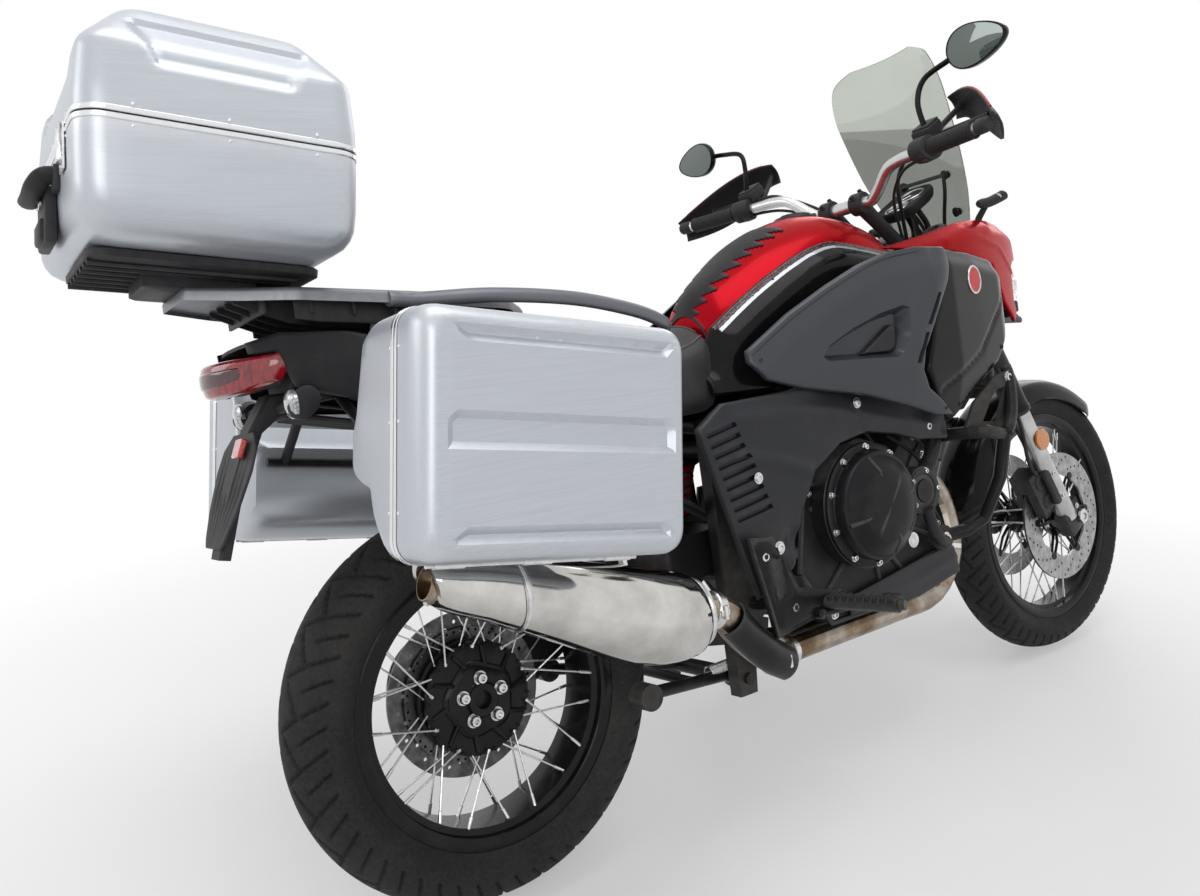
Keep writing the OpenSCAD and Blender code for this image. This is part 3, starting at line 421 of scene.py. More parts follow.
class Finish:
    """A procedural material, built node by node on Blender's Principled shader."""

    def __init__(self, name, color, rough=0.4, metal=0.0, coat=0.0, **sockets):
        self.mat = bpy.data.materials.new(name)
        self.mat.use_nodes = True
        self.nodes, self.links = self.mat.node_tree.nodes, self.mat.node_tree.links
        self.shader = self.nodes["Principled BSDF"]
        self.color = (*color[:3], 1)
        self.set("Base Color", self.color)
        self.set("Roughness", rough)
        self.set("Metallic", metal)
        self.set("Coat Weight", coat)
        if coat:
            self.set("Coat Roughness", 0.06)
        for key, value in sockets.items():
            self.set(key.replace("_", " "), value)
        self.mat.diffuse_color = self.color
        self.where = self.nodes.new("ShaderNodeTexCoord").outputs["Object"]
        self.normal = None
        FINISHES[name] = self.mat

    def set(self, socket, value):
        self.shader.inputs[socket].default_value = value

    def mapped(self, scale, turn=(0, 0, 0)):
        """Object coordinates, stretched and turned."""
        node = self.nodes.new("ShaderNodeMapping")
        node.inputs["Scale"].default_value = scale
        node.inputs["Rotation"].default_value = turn
        self.links.new(self.where, node.inputs["Vector"])
        return node.outputs["Vector"]

    def noise(self, scale, detail=3.0, rough=0.55, at=None):
        node = self.nodes.new("ShaderNodeTexNoise")
        node.inputs["Scale"].default_value = scale
        node.inputs["Detail"].default_value = detail
        node.inputs["Roughness"].default_value = rough
        self.links.new(at or self.where, node.inputs["Vector"])
        return node.outputs["Fac"]

    def cells(self, scale, at=None, feature="F1"):
        node = self.nodes.new("ShaderNodeTexVoronoi")
        node.feature = feature
        node.inputs["Scale"].default_value = scale
        self.links.new(at or self.where, node.inputs["Vector"])
        return node.outputs["Distance"]

    def ramp(self, fac, stops):
        """A colour ramp through (place, colour or grey) stops."""
        node = self.nodes.new("ShaderNodeValToRGB")
        ramp = node.color_ramp
        while len(ramp.elements) < len(stops):
            ramp.elements.new(0.5)
        for element, (place, value) in zip(ramp.elements, stops):
            element.position = place
            value = (value,) * 3 if isinstance(value, (int, float)) else value
            element.color = (*value[:3], 1)
        self.links.new(fac, node.inputs["Fac"])
        return node.outputs["Color"]

    def span(self, fac, low, high):
        """Maps 0 to 1 onto low to high."""
        node = self.nodes.new("ShaderNodeMapRange")
        node.inputs["To Min"].default_value = low
        node.inputs["To Max"].default_value = high
        self.links.new(fac, node.inputs["Value"])
        return node.outputs["Result"]

    def blend(self, fac, a, b):
        """Mixes two colours."""
        node = self.nodes.new("ShaderNodeMix")
        node.data_type = "RGBA"
        if isinstance(fac, (int, float)):
            node.inputs["Factor"].default_value = fac
        else:
            self.links.new(fac, node.inputs["Factor"])
        for socket, value in ((node.inputs[6], a), (node.inputs[7], b)):
            if isinstance(value, tuple):
                socket.default_value = (*value[:3], 1)
            else:
                self.links.new(value, socket)
        return node.outputs[2]

    def math(self, a, b, kind="MULTIPLY"):
        node = self.nodes.new("ShaderNodeMath")
        node.operation = kind
        for socket, value in zip(node.inputs, (a, b)):
            if isinstance(value, (int, float)):
                socket.default_value = value
            else:
                self.links.new(value, socket)
        return node.outputs[0]

    def paint(self, source, socket="Base Color"):
        self.links.new(source, self.shader.inputs[socket])
        return self

    def bump(self, height, depth, strength=1.0):
        """Adds relief of a depth in millimetres."""
        node = self.nodes.new("ShaderNodeBump")
        node.inputs["Strength"].default_value = strength
        node.inputs["Distance"].default_value = depth * 0.001
        self.links.new(height, node.inputs["Height"])
        if self.normal:
            self.links.new(self.normal, node.inputs["Normal"])
        self.normal = node.outputs["Normal"]
        self.links.new(self.normal, self.shader.inputs["Normal"])
        return self

    def worn(self, color, wear, amount=0.35, start=0.52):
        """Mixes a worn colour in on sharp edges."""
        edge = self.nodes.new("ShaderNodeNewGeometry").outputs["Pointiness"]
        mask = self.ramp(edge, [(start, 0), (start + 0.06, amount)])
        return self.blend(self.math(mask, self.span(self.noise(60), 0.2, 1.4)), color, wear)


def shade(color, k):
    """The colour made k times as bright."""
    return tuple(min(1, c * k) for c in color)


def dusty(f, color, dust=(0.20, 0.18, 0.15), amount=0.12, scale=7.0):
    """Colour with faint dirt in broad patches."""
    patches = f.ramp(f.noise(scale, 6.0, 0.65), [(0.48, 0.0), (0.74, amount)])
    return f.blend(patches, color, dust)


def make_finishes(look):
    """Every finish of the motorcycle."""
    red = tuple(look.tank_red)
    f = Finish("red_paint", red, 0.26, 0.5, 0.08, Specular_IOR_Level=0.08, Specular_Tint=(0.9, 0.13,
                                                                                          0.17, 1.0))
    flake = f.ramp(f.cells(1600), [(0.0, shade(red, 1.25)), (0.5, red), (1.0, shade(red, 0.7))])
    f.paint(f.blend(f.span(f.noise(3.2), 0.0, 0.25), flake, shade(red, 0.62)))
    f.paint(f.span(f.noise(40), 0.22, 0.3), "Roughness").bump(f.noise(420, 2), 0.012)

    silver = tuple(look.line_silver)
    f = Finish("silver_line", silver, 0.34, 0.6, 0.4)
    f.paint(f.ramp(f.cells(1700), [(0.0, shade(silver, 1.15)),
                                   (1.0, shade(silver, 0.8))])).bump(f.noise(420, 2), 0.01)

    f = Finish("speckled_line", silver, 0.35, 0.5, 0.5)
    f.paint(f.ramp(f.cells(330), [(0.18, shade(silver, 0.9)),
                                  (0.30, (0.05, 0.02, 0.022))])).bump(f.noise(420, 2), 0.01)

    f = Finish("gloss_black", (0.006, 0.006, 0.007), 0.16, 0.0, 0.08, Specular_IOR_Level=0.1)
    f.paint(dusty(f, (0.006, 0.006, 0.007), amount=0.04))
    f.paint(f.span(f.noise(18, 5), 0.1, 0.24), "Roughness").bump(f.noise(300, 2), 0.012)

    grey = tuple(look.fairing_grey)
    f = Finish("fairing_grey", grey, 0.38, 0.15, 0.1, Specular_IOR_Level=0.5)
    f.paint(f.blend(f.span(f.noise(4, 4), 0, 0.5), f.ramp(f.cells(1500), [(0, shade(grey, 1.35)),
                                                                          (1, grey)]),
                    shade(grey, 0.8)))
    f.paint(f.span(f.noise(30, 4), 0.32, 0.44), "Roughness").bump(f.noise(500, 2), 0.02)

    f = Finish("grained_black", (0.015, 0.015, 0.017), 0.55, 0.0, 0.0, Specular_IOR_Level=0.2)
    f.paint(dusty(f, f.worn((0.015, 0.015, 0.017), (0.08, 0.08, 0.085), 0.5), amount=0.10))
    f.paint(f.span(f.noise(25, 5), 0.45, 0.66), "Roughness").bump(f.cells(900), 0.07, 0.8)

    f = Finish("satin_cover", (0.035, 0.036, 0.042), 0.4, 0.0, 0.0, Specular_IOR_Level=0.3)
    f.paint(dusty(f, f.worn((0.021, 0.022, 0.027), (0.08, 0.08, 0.09), 0.4), amount=0.08))
    f.paint(f.span(f.noise(22, 5), 0.32, 0.46), "Roughness").bump(f.noise(700, 2), 0.02)

    f = Finish("frame_black", (0.012, 0.012, 0.013), 0.34, 0.0, 0.02, Specular_IOR_Level=0.14)
    f.paint(dusty(f, f.worn((0.012, 0.012, 0.013), (0.12, 0.115, 0.11), 0.6), amount=0.12,
                  scale=12))
    f.paint(f.span(f.noise(30, 5), 0.28, 0.48), "Roughness").bump(f.noise(380, 3), 0.05)

    f = Finish("engine_cast", (0.018, 0.018, 0.02), 0.44, 0.1, 0.0, Specular_IOR_Level=0.2)
    f.paint(dusty(f, f.worn((0.018, 0.018, 0.02), (0.16, 0.155, 0.15), 0.55), amount=0.12,
                  scale=14))
    f.paint(f.span(f.noise(40, 5), 0.36, 0.56), "Roughness").bump(f.noise(900, 4), 0.09, 0.9)

    f = Finish("cover_black", (0.010, 0.0105, 0.012), 0.32, 0.0, 0.02, Specular_IOR_Level=0.15)
    f.paint(dusty(f, f.worn((0.010, 0.0105, 0.012), (0.14, 0.14, 0.145), 0.5), amount=0.08,
                  scale=16))
    f.paint(f.span(f.noise(34, 5), 0.24, 0.4), "Roughness").bump(f.noise(800, 3), 0.04)

    case = tuple(look.case_silver)
    f = Finish("case_aluminium", case, 0.36, 0.5, 0.0, Anisotropic=0.35)
    streak = f.noise(1.0, 5, 0.7, f.mapped((9, 700, 900), (0, math.radians(9.5), 0)))
    broad = f.noise(5, 4)
    tone = f.ramp(streak, [(0.25, shade(case, 0.86)), (0.75, shade(case, 1.09))])
    f.paint(f.worn(f.blend(f.span(broad, 0.0, 0.3), tone, shade(case, 0.86)), (0.95, 0.95, 0.97),
                   0.4))
    f.paint(f.math(f.span(streak, 0.28, 0.42), f.span(broad, -0.05, 0.06), "ADD"), "Roughness")
    f.bump(streak, 0.03, 0.6)

    f = Finish("case_trim", (0.78, 0.79, 0.80), 0.22, 0.95)
    f.paint(f.worn((0.72, 0.73, 0.75), (0.93, 0.93, 0.93), 0.5))
    f.paint(f.span(f.noise(120, 4), 0.16, 0.32), "Roughness").bump(f.noise(700, 2), 0.01)

    # Chrome whose colour runs in broad dark and light patches: partly smudges, partly painted reflection bands
    f = Finish("chrome", (0.66, 0.655, 0.64), 0.07, 1.0)
    smear_and_reflection = f.noise(9, 6, 0.6)
    f.paint(f.ramp(smear_and_reflection, [(0.32, (0.42, 0.41, 0.39)), (0.7, (0.70, 0.69, 0.67))]))
    f.paint(f.span(smear_and_reflection, 0.04, 0.14), "Roughness").bump(f.noise(3.5, 2), 0.5, 0.25)

    f = Finish("header_steel", (0.5, 0.45, 0.38), 0.3, 1.0)
    heat = f.noise(11, 5, 0.6)
    f.paint(f.ramp(heat, [(0.25, (0.10, 0.07, 0.05)), (0.42, (0.24, 0.17, 0.11)),
                          (0.55, (0.40, 0.36, 0.31)),
                          (0.68, (0.27, 0.22, 0.18)), (0.8, (0.15, 0.13, 0.14))]))
    f.paint(f.span(f.noise(60, 5), 0.2, 0.5), "Roughness").bump(f.noise(300, 4), 0.05)

    # Darker copy of the disc steel for the rear disc and its sensor ring: painted shade, as that disc sits on
    # the far side in shade
    f = Finish("disc_steel_painted_shade", (0.10, 0.10, 0.10), 0.34, 0.9)
    f.paint(f.ramp(f.noise(60, 5), [(0.3, (0.06, 0.058, 0.056)), (0.7, (0.17, 0.17, 0.17))]))
    f.paint(f.span(f.noise(220, 4), 0.28, 0.48), "Roughness").bump(f.noise(1400, 2), 0.012)

    f = Finish("steel", (0.6, 0.6, 0.61), 0.26, 1.0)
    f.paint(f.worn(f.ramp(f.noise(90, 5), [(0.3, 0.42), (0.7, 0.66)]), (0.85, 0.85, 0.85), 0.5))
    f.paint(f.span(f.noise(160, 4), 0.18, 0.4), "Roughness").bump(f.noise(900, 2), 0.01)

    f = Finish("disc_steel", (0.5, 0.5, 0.5), 0.3, 1.0, 0.0, Anisotropic=0.5)
    f.paint(f.ramp(f.noise(60, 5), [(0.3, (0.24, 0.235, 0.23)), (0.7, (0.44, 0.44, 0.44))]))
    f.paint(f.span(f.noise(220, 4), 0.22, 0.42), "Roughness").bump(f.noise(1400, 2), 0.012)

    f = Finish("fork_silver", (0.55, 0.55, 0.56), 0.3, 0.9)
    f.paint(f.ramp(f.noise(30, 5), [(0.3, 0.42), (0.75, 0.62)]))
    f.paint(f.span(f.noise(90, 4), 0.22, 0.4), "Roughness").bump(f.noise(500, 3), 0.015)

    f = Finish("bar_silver", (0.62, 0.62, 0.63), 0.3, 0.9)
    f.paint(f.ramp(f.noise(400, 4), [(0.3, 0.52), (0.7, 0.68)]))
    f.paint(f.span(f.noise(70, 4), 0.24, 0.38), "Roughness").bump(f.noise(1100, 2), 0.02)

    f = Finish("rim_black", (0.008, 0.008, 0.009), 0.22, 0.0, 0.05, Specular_IOR_Level=0.15)
    f.paint(dusty(f, (0.008, 0.008, 0.009), amount=0.08, scale=15))
    f.paint(f.span(f.noise(50, 5), 0.14, 0.32), "Roughness").bump(f.noise(500, 2), 0.01)

    f = Finish("tyre_rubber", (0.022, 0.022, 0.023), 0.72, Specular_IOR_Level=0.18)
    f.paint(f.blend(f.ramp(f.noise(9, 6, 0.65), [(0.42, 0.0), (0.72, 0.35)]),
                    f.ramp(f.noise(160, 5), [(0.3, (0.017, 0.017, 0.018)),
                                             (0.75, (0.034, 0.034, 0.035))]),
                    (0.075, 0.068, 0.06)))
    f.paint(f.span(f.noise(70, 5), 0.58, 0.86), "Roughness").bump(f.noise(1200, 4), 0.06)

    f = Finish("hose_rubber", (0.02, 0.02, 0.021), 0.6, Specular_IOR_Level=0.3)
    f.paint(dusty(f, (0.02, 0.02, 0.021), amount=0.15, scale=20))
    f.paint(f.span(f.noise(60, 4), 0.5, 0.7), "Roughness").bump(f.noise(1500, 3), 0.05)

    f = Finish("grip_rubber", (0.02, 0.02, 0.021), 0.7, Specular_IOR_Level=0.3)
    f.paint(f.ramp(f.noise(200, 4), [(0.3, 0.014), (0.7, 0.03)])).bump(f.cells(700), 0.25)

    f = Finish("seat_vinyl", (0.024, 0.024, 0.026), 0.5, 0.0, 0.0, Specular_IOR_Level=0.3,
               Sheen_Weight=0.1, Sheen_Roughness=0.4)
    f.paint(f.ramp(f.noise(12, 5), [(0.35, (0.018, 0.018, 0.02)), (0.75, (0.034, 0.034, 0.037))]))
    f.paint(f.span(f.noise(30, 4), 0.42, 0.6), "Roughness")
    f.bump(f.cells(560), 0.22, 0.8).bump(f.noise(45, 3), 0.3, 0.4)

    f = Finish("seat_top", (0.02, 0.02, 0.022), 0.62, 0.0, 0.0, Specular_IOR_Level=0.3,
               Sheen_Weight=0.12, Sheen_Roughness=0.5)
    f.paint(f.ramp(f.noise(25, 4), [(0.35, 0.015), (0.75, 0.03)]))
    f.paint(f.span(f.noise(30, 4), 0.55, 0.7), "Roughness")
    f.bump(f.cells(300, None, "SMOOTH_F1"), 0.35, 0.9)

    f = Finish("thread", (0.09, 0.09, 0.095), 0.7)
    f.paint(f.ramp(f.noise(1200, 2), [(0.3, 0.05), (0.7, 0.14)])).bump(f.noise(2400, 2), 0.1)

    f = Finish("carrier_grey", tuple(look.carrier_grey), 0.4, 0.6)
    base = tuple(look.carrier_grey)
    f.paint(f.worn(f.blend(f.span(f.noise(14, 5), 0, 0.6), base, shade(base, 0.6)),
                   (0.5, 0.5, 0.51), 0.4))
    f.paint(f.span(f.noise(60, 5), 0.34, 0.52), "Roughness").bump(f.noise(900, 4), 0.09)

    tint = tuple(look.screen_tint)
    f = Finish("screen_smoke", tint, 0.04, 0.0, 0.0, Transmission_Weight=0.92, IOR=1.1, Alpha=0.9)
    f.paint(f.ramp(f.noise(2.5, 3), [(0.3, shade(tint, 0.8)), (0.7, tint)]))
    f.paint(f.span(f.noise(14, 5), 0.02, 0.09), "Roughness")

    f = Finish("lamp_glass", (0.92, 0.95, 0.97), 0.03, 0.0, 0.0, Transmission_Weight=1.0, IOR=1.2,
               Alpha=0.35)
    f.paint(f.span(f.noise(30, 4), 0.01, 0.06), "Roughness")

    f = Finish("lamp_chrome", (0.85, 0.85, 0.86), 0.1, 1.0)
    f.paint(f.ramp(f.noise(40, 3), [(0.3, 0.7), (0.7, 0.9)])).bump(f.cells(160), 0.5, 0.5)

    f = Finish("red_lens", tuple(look.lens_red), 0.12, 0.0, 1.0, Transmission_Weight=0.15)
    ribs = f.cells(220, f.mapped((1, 1, 0.15)))
    f.paint(f.ramp(ribs, [(0.0, (0.60, 0.012, 0.025)), (0.6, tuple(look.lens_red)),
                          (1.0, (0.12, 0.0, 0.006))]))
    f.paint(f.span(f.noise(60), 0.08, 0.2), "Roughness").bump(ribs, 0.4, 0.5)

    f = Finish("dark_lens", (0.06, 0.004, 0.008), 0.1, 0.0, 1.0)
    f.paint(f.ramp(f.cells(140), [(0.0, (0.13, 0.006, 0.012)),
                                  (1.0, (0.02, 0.003, 0.004))])).bump(f.cells(140), 0.3, 0.4)

    f = Finish("amber_lens", (0.75, 0.2, 0.01), 0.15, 0.0, 1.0)
    f.paint(f.ramp(f.cells(420), [(0.0, (0.95, 0.36, 0.03)),
                                  (1.0, (0.5, 0.11, 0.005))])).bump(f.cells(420), 0.3, 0.6)

    f = Finish("clear_lens", (0.55, 0.56, 0.57), 0.1, 0.45, 1.0)
    f.paint(f.ramp(f.cells(260), [(0.0, (0.75, 0.76, 0.78)),
                                  (0.7, (0.32, 0.33, 0.35))])).bump(f.cells(260), 0.4, 0.6)

    # Mirror glass darkened to a tint with green and grey patches: a painted reflection
    f = Finish("mirror_glass", (0.14, 0.155, 0.15), 0.02, 1.0)
    f.paint(f.ramp(f.noise(3, 2), [(0.3, (0.10, 0.125, 0.11)), (0.7, (0.19, 0.21, 0.205))]))
    f.paint(f.span(f.noise(20, 4), 0.01, 0.05), "Roughness")

    f = Finish("dial_glass", (0.02, 0.022, 0.024), 0.05, 0.0, 0.5, Specular_IOR_Level=0.4)
    f.paint(f.ramp(f.noise(50, 2), [(0.35, (0.012, 0.013, 0.015)), (0.7, (0.03, 0.033, 0.036))]))
    f.paint(f.span(f.noise(12, 4), 0.03, 0.1), "Roughness")

    f = Finish("reflector_red", (0.6, 0.02, 0.02), 0.15, 0.0, 1.0)
    f.paint(f.ramp(f.cells(500), [(0.0, (0.95, 0.06, 0.04)),
                                  (1.0, (0.35, 0.0, 0.0))])).bump(f.cells(500), 0.4, 0.6)

    f = Finish("radiator", (0.03, 0.03, 0.032), 0.5, 0.5)
    fins = f.noise(1.0, 0, 0, f.mapped((5, 5, 900)))
    f.paint(f.ramp(fins, [(0.4, 0.008), (0.6, 0.07)])).bump(fins, 0.8)

    f = Finish("red_anodised", (0.55, 0.02, 0.02), 0.25, 0.7)
    f.paint(f.ramp(f.noise(80, 3), [(0.3, (0.42, 0.012, 0.012)),
                                    (0.7, (0.62, 0.03, 0.03))])).bump(f.noise(900, 2), 0.01)


def finish(name):
    """A finish by its name."""
    return FINISHES[name]


def wear(node, name):
    """Gives a CAD node its finish."""
    obj = frame["nodes"][node]
    if not obj.data.materials:
        obj.data.materials.append(finish(name))
    for place in obj.material_slots:
        place.material = finish(name)


# ---- what a user would change ----


class MotorcycleLook(bpy.types.PropertyGroup):
    """Colours of the motorcycle's finishes."""

    tank_red: FloatVectorProperty(name="Tank red", description="Colour of the tank and the nose",
                                  subtype="COLOR", size=3, min=0, max=1, default=(0.42, 0.002,
                                                                                  0.010))
    line_silver: FloatVectorProperty(name="Silver line",
                                     description="Colour of the line under the tank's red",
                                     subtype="COLOR", size=3, min=0, max=1, default=(0.42, 0.44,
                                                                                     0.48))
    fairing_grey: FloatVectorProperty(name="Fairing grey",
                                      description="Colour of the side fairings",
                                      subtype="COLOR", size=3, min=0, max=1, default=(0.038, 0.040,
                                                                                      0.048))
    case_silver: FloatVectorProperty(name="Case silver",
                                     description="Colour of the aluminium cases",
                                     subtype="COLOR", size=3, min=0, max=1, default=(0.58, 0.61,
                                                                                     0.66))
    carrier_grey: FloatVectorProperty(name="Carrier grey",
                                      description="Colour of the luggage carrier",
                                      subtype="COLOR", size=3, min=0, max=1, default=(0.17, 0.175,
                                                                                      0.20))
    screen_tint: FloatVectorProperty(name="Screen tint", description="Colour of the windscreen",
                                     subtype="COLOR", size=3, min=0, max=1, default=(0.21, 0.225,
                                                                                     0.20))
    lens_red: FloatVectorProperty(name="Lens red", description="Colour of the tail light",
                                  subtype="COLOR", size=3, min=0, max=1, default=(0.34, 0.005,
                                                                                  0.014))


class MotorcycleSizes(bpy.types.PropertyGroup):
    """Sizes of the details that are added to the frame."""

    groove_depth: FloatProperty(name="Groove depth", description="Depth of the tyres' grooves",
                                default=0.005, min=0.001, max=0.009, unit="LENGTH")
    rear_blocks: IntProperty(name="Rear tread blocks",
                             description="Tread blocks round the rear tyre",
                             default=26, min=16, max=44)
    front_blocks: IntProperty(name="Front tread blocks",
                              description="Tread blocks round the front tyre",
                              default=30, min=16, max=48)
    spoke_width: FloatProperty(name="Spoke width", description="Diameter of a spoke",
                               default=0.0034, min=0.003, max=0.006, unit="LENGTH")
    case_ribs: FloatProperty(name="Case ribs",
                             description="Height of the ribs pressed into the cases",
                             default=0.007, min=0.002, max=0.009, unit="LENGTH")
    seat_swell: FloatProperty(name="Seat swell",
                              description="How far the seat's foam stands above its edge",
                              default=0.006, min=0.0, max=0.012, unit="LENGTH")


def look():
    """The colours set in the panel."""
    return bpy.context.scene.motorcycle_look


def size(name):
    """One of the detail sizes, in millimetres where it is a length."""
    return getattr(bpy.context.scene.motorcycle_sizes, name)


# ---- tyres and wheels ----


def tread(arc, across, pitch, reach):
    """0 to 1, how deep the tyre is cut: slanted grooves that mirror about the middle."""
    side = np.where(across >= 0, 0.0, 0.5)
    far = np.abs(across)
    cut = np.zeros(np.broadcast(arc, across).shape)
    for slope, shift, start, stop, half in ((0.62, 0.0, reach * 0.05, reach * 1.02, 3.0),
                                            (0.62, 0.5, reach * 0.46, reach * 1.02, 2.4),
                                            (-1.7, 0.22, reach * 0.12, reach * 0.50, 2.2)):
        phase = (arc + slope * far) / pitch + shift + side
        near = np.abs(phase - np.round(phase)) * pitch / math.hypot(1, slope)
        ends = ease((far - start) / 4) * ease((stop - far) / 5)
        cut = np.maximum(cut, ease((half + 0.9 - near) / 1.8) * ends)
    return cut


def tyre(name, radius, width, bead_r, bead_half, blocks, stands_for, body, space):
    """A tyre with its tread cut into it."""
    half = width / 2
    reach = half * math.radians(68)
    ns, cuts = 60, blocks * 22
    section = [(-bead_half + 5, bead_r + 8), (-bead_half, bead_r + 1), (-bead_half - 1,
                                                                        bead_r + 11),
               (-bead_half - 4, bead_r + 17)]
    wall_top = radius - half + half * math.cos(math.radians(78))
    out = half * math.sin(math.radians(78))
    for t in (0.25, 0.5, 0.7, 0.85):
        ridge = 0.8 if t in (0.5, 0.85) else 0
        section.append((-(bead_half + 4) - (out - bead_half - 4) * math.sin(t * math.pi / 2) - ridge,
                        bead_r + 17 + (wall_top - bead_r - 17) * t))
    first = len(section)
    arcs = []
    for k in range(ns + 1):
        a = math.radians(-76 + 152 * k / ns)
        section.append((half * math.sin(a), radius - half + half * math.cos(a)))
        arcs.append(half * a)
    section += [(-y, r) for y, r in section[first - 1::-1]]
    y = np.array([s[0] for s in section])
    r = np.array([s[1] for s in section])
    across = np.full(len(section), 1e3)
    across[first:first + ns + 1] = arcs
    angle = np.arange(cuts) / cuts * math.tau
    arc = angle[:, None] * radius
    depth = tread(arc, across[None, :], math.tau * radius / blocks,
                  reach) * size("groove_depth") * 1000
    lean_in = np.clip(np.arctan2(y, r - (radius - half)), -1.5, 1.5)
    rr = r[None, :] - depth * np.cos(lean_in)[None, :]
    yy = y[None, :] - depth * np.sin(lean_in)[None, :]
    x, z = rr * np.cos(angle)[:, None], rr * np.sin(angle)[:, None]
    n = len(section)
    shape = Shape()
    faces = [[i * n + k, ((i + 1) % cuts) * n + k, ((i + 1) % cuts) * n + (k + 1) % n,
              i * n + (k + 1) % n]
             for i in range(cuts) for k in range(n)]
    shape.add(np.stack([x, yy, z], -1).reshape(-1, 3).tolist(), faces)
    return shape.piece(name, finish("tyre_rubber"), body, space, 42, stands_for, "tyre_rubber")


def turned_ring(shape, profile, steps):
    """A closed ring section turned about the wheel's axle: (across, radius) pairs."""
    n = len(profile)
    points = [(r * math.cos(math.tau * i / steps), y, r * math.sin(math.tau * i / steps))
              for i in range(steps) for y, r in profile]
    faces = [[i * n + k, i * n + (k + 1) % n, ((i + 1) % steps) * n + (k + 1) % n,
              ((i + 1) % steps) * n + k]
             for i in range(steps) for k in range(n)]
    return shape.add(points, faces)


def polar(radius, turns, y=0.0):
    """A point on a wheel, y along its axle."""
    return Vector((radius * math.cos(turns), y, radius * math.sin(turns)))


def wheel_rim(shape, radius, half, deep):
    """A spoked rim with rolled lips and a stepped well."""
    side = [(half + 5, radius - 1.5), (half + 4, radius), (half + 1, radius - 1),
            (half + 0.4, radius - 5),
            (half + 0.4, radius - 14.5)]
    under = [(half + 5, radius - 6), (half + 4.5, radius - 16), (half + 1, radius - 21),
             (half - 8, radius - 23),
             (half - 12, radius - 15 - deep)]
    left = side + [(half - 9, radius - 17), (0, radius - 19)]
    profile = [(0, radius - 17 - deep - 1)] + under[::-1] + left
    ring = profile + [(-y, r) for y, r in profile[::-1] if y > 0.01]
    return turned_ring(shape, ring, 132)


def spoke_set(shape, hub_r, hub_y, rim_r, rim_y, turn, count, phase=0.0):
    """Crossed spokes of one side with their nipples."""
    r = size("spoke_width") * 500
    for k in range(count):
        a = math.tau * (k + phase) / count
        s = 1 if k % 2 == 0 else -1
        start = polar(hub_r, a, hub_y + s * 4.5)
        end = polar(rim_r, a + s * turn, rim_y + s * 3.0)
        way = (end - start).normalized()
        shape.tube([start, end], r, 8)
        shape.tube([start - way * 3, start + way * 1.5], r * 1.8, 8)
        shape.tube([end - way * 20, end - way * 19, end - way * 3, end],
                   [r * 1.2, r * 1.7, r * 1.7, r * 1.9], 8)


def circle(radius, count, x=0.0, z=0.0):
    """Points round a circle."""
    return [(x + radius * math.cos(math.tau * k / count),
             z + radius * math.sin(math.tau * k / count))
            for k in range(count)]


def drilled_disc(shape, radius, inner, holes, y0, y1):
    """A flat ring with holes in it; each hole is (distance, angle, radius)."""
    gaps = [(d * math.cos(a), d * math.sin(a), r) for d, a, r in holes]
    loops = [circle(radius, 96), circle(inner, 96)]
    loops += [circle(r, 10 if r < 6 else 20, x, z) for x, z, r in gaps]
    pts, edges = [], []
    for loop in loops:
        s = len(pts)
        pts += loop
        edges += [(s + k, s + (k + 1) % len(loop)) for k in range(len(loop))]
    found = delaunay_2d_cdt([Vector(p) for p in pts], edges, [], 0, 1e-5)
    verts, tris = found[0], found[2]
    keep = []
    for t in tris:
        c = (verts[t[0]] + verts[t[1]] + verts[t[2]]) / 3
        if c.length < radius and all(math.hypot(c.x - x, c.y - z) > r * 0.97
                                     for x, z, r in [(0.0, 0.0, inner)] + gaps):
            keep.append(list(t))
    n = len(verts)
    faces = [t[::-1] for t in keep] + [[i + n for i in t] for t in keep]
    faces += [[a, b, b + n, a + n] for a, b in border(keep)]
    return shape.add([(p.x, y0, p.y) for p in verts] + [(p.x, y1, p.y) for p in verts], faces)


def make_tyres():
    tyre("rear_tyre_tread", 321, 150, 215, 52, size("rear_blocks"), ["rear_tyre"], "rear_wheel",
         REAR_WHEEL)
    tyre("front_tyre_tread", 329, 110, 239, 36, size("front_blocks"), ["front_tyre"], "front_wheel",
         FRONT_WHEEL)


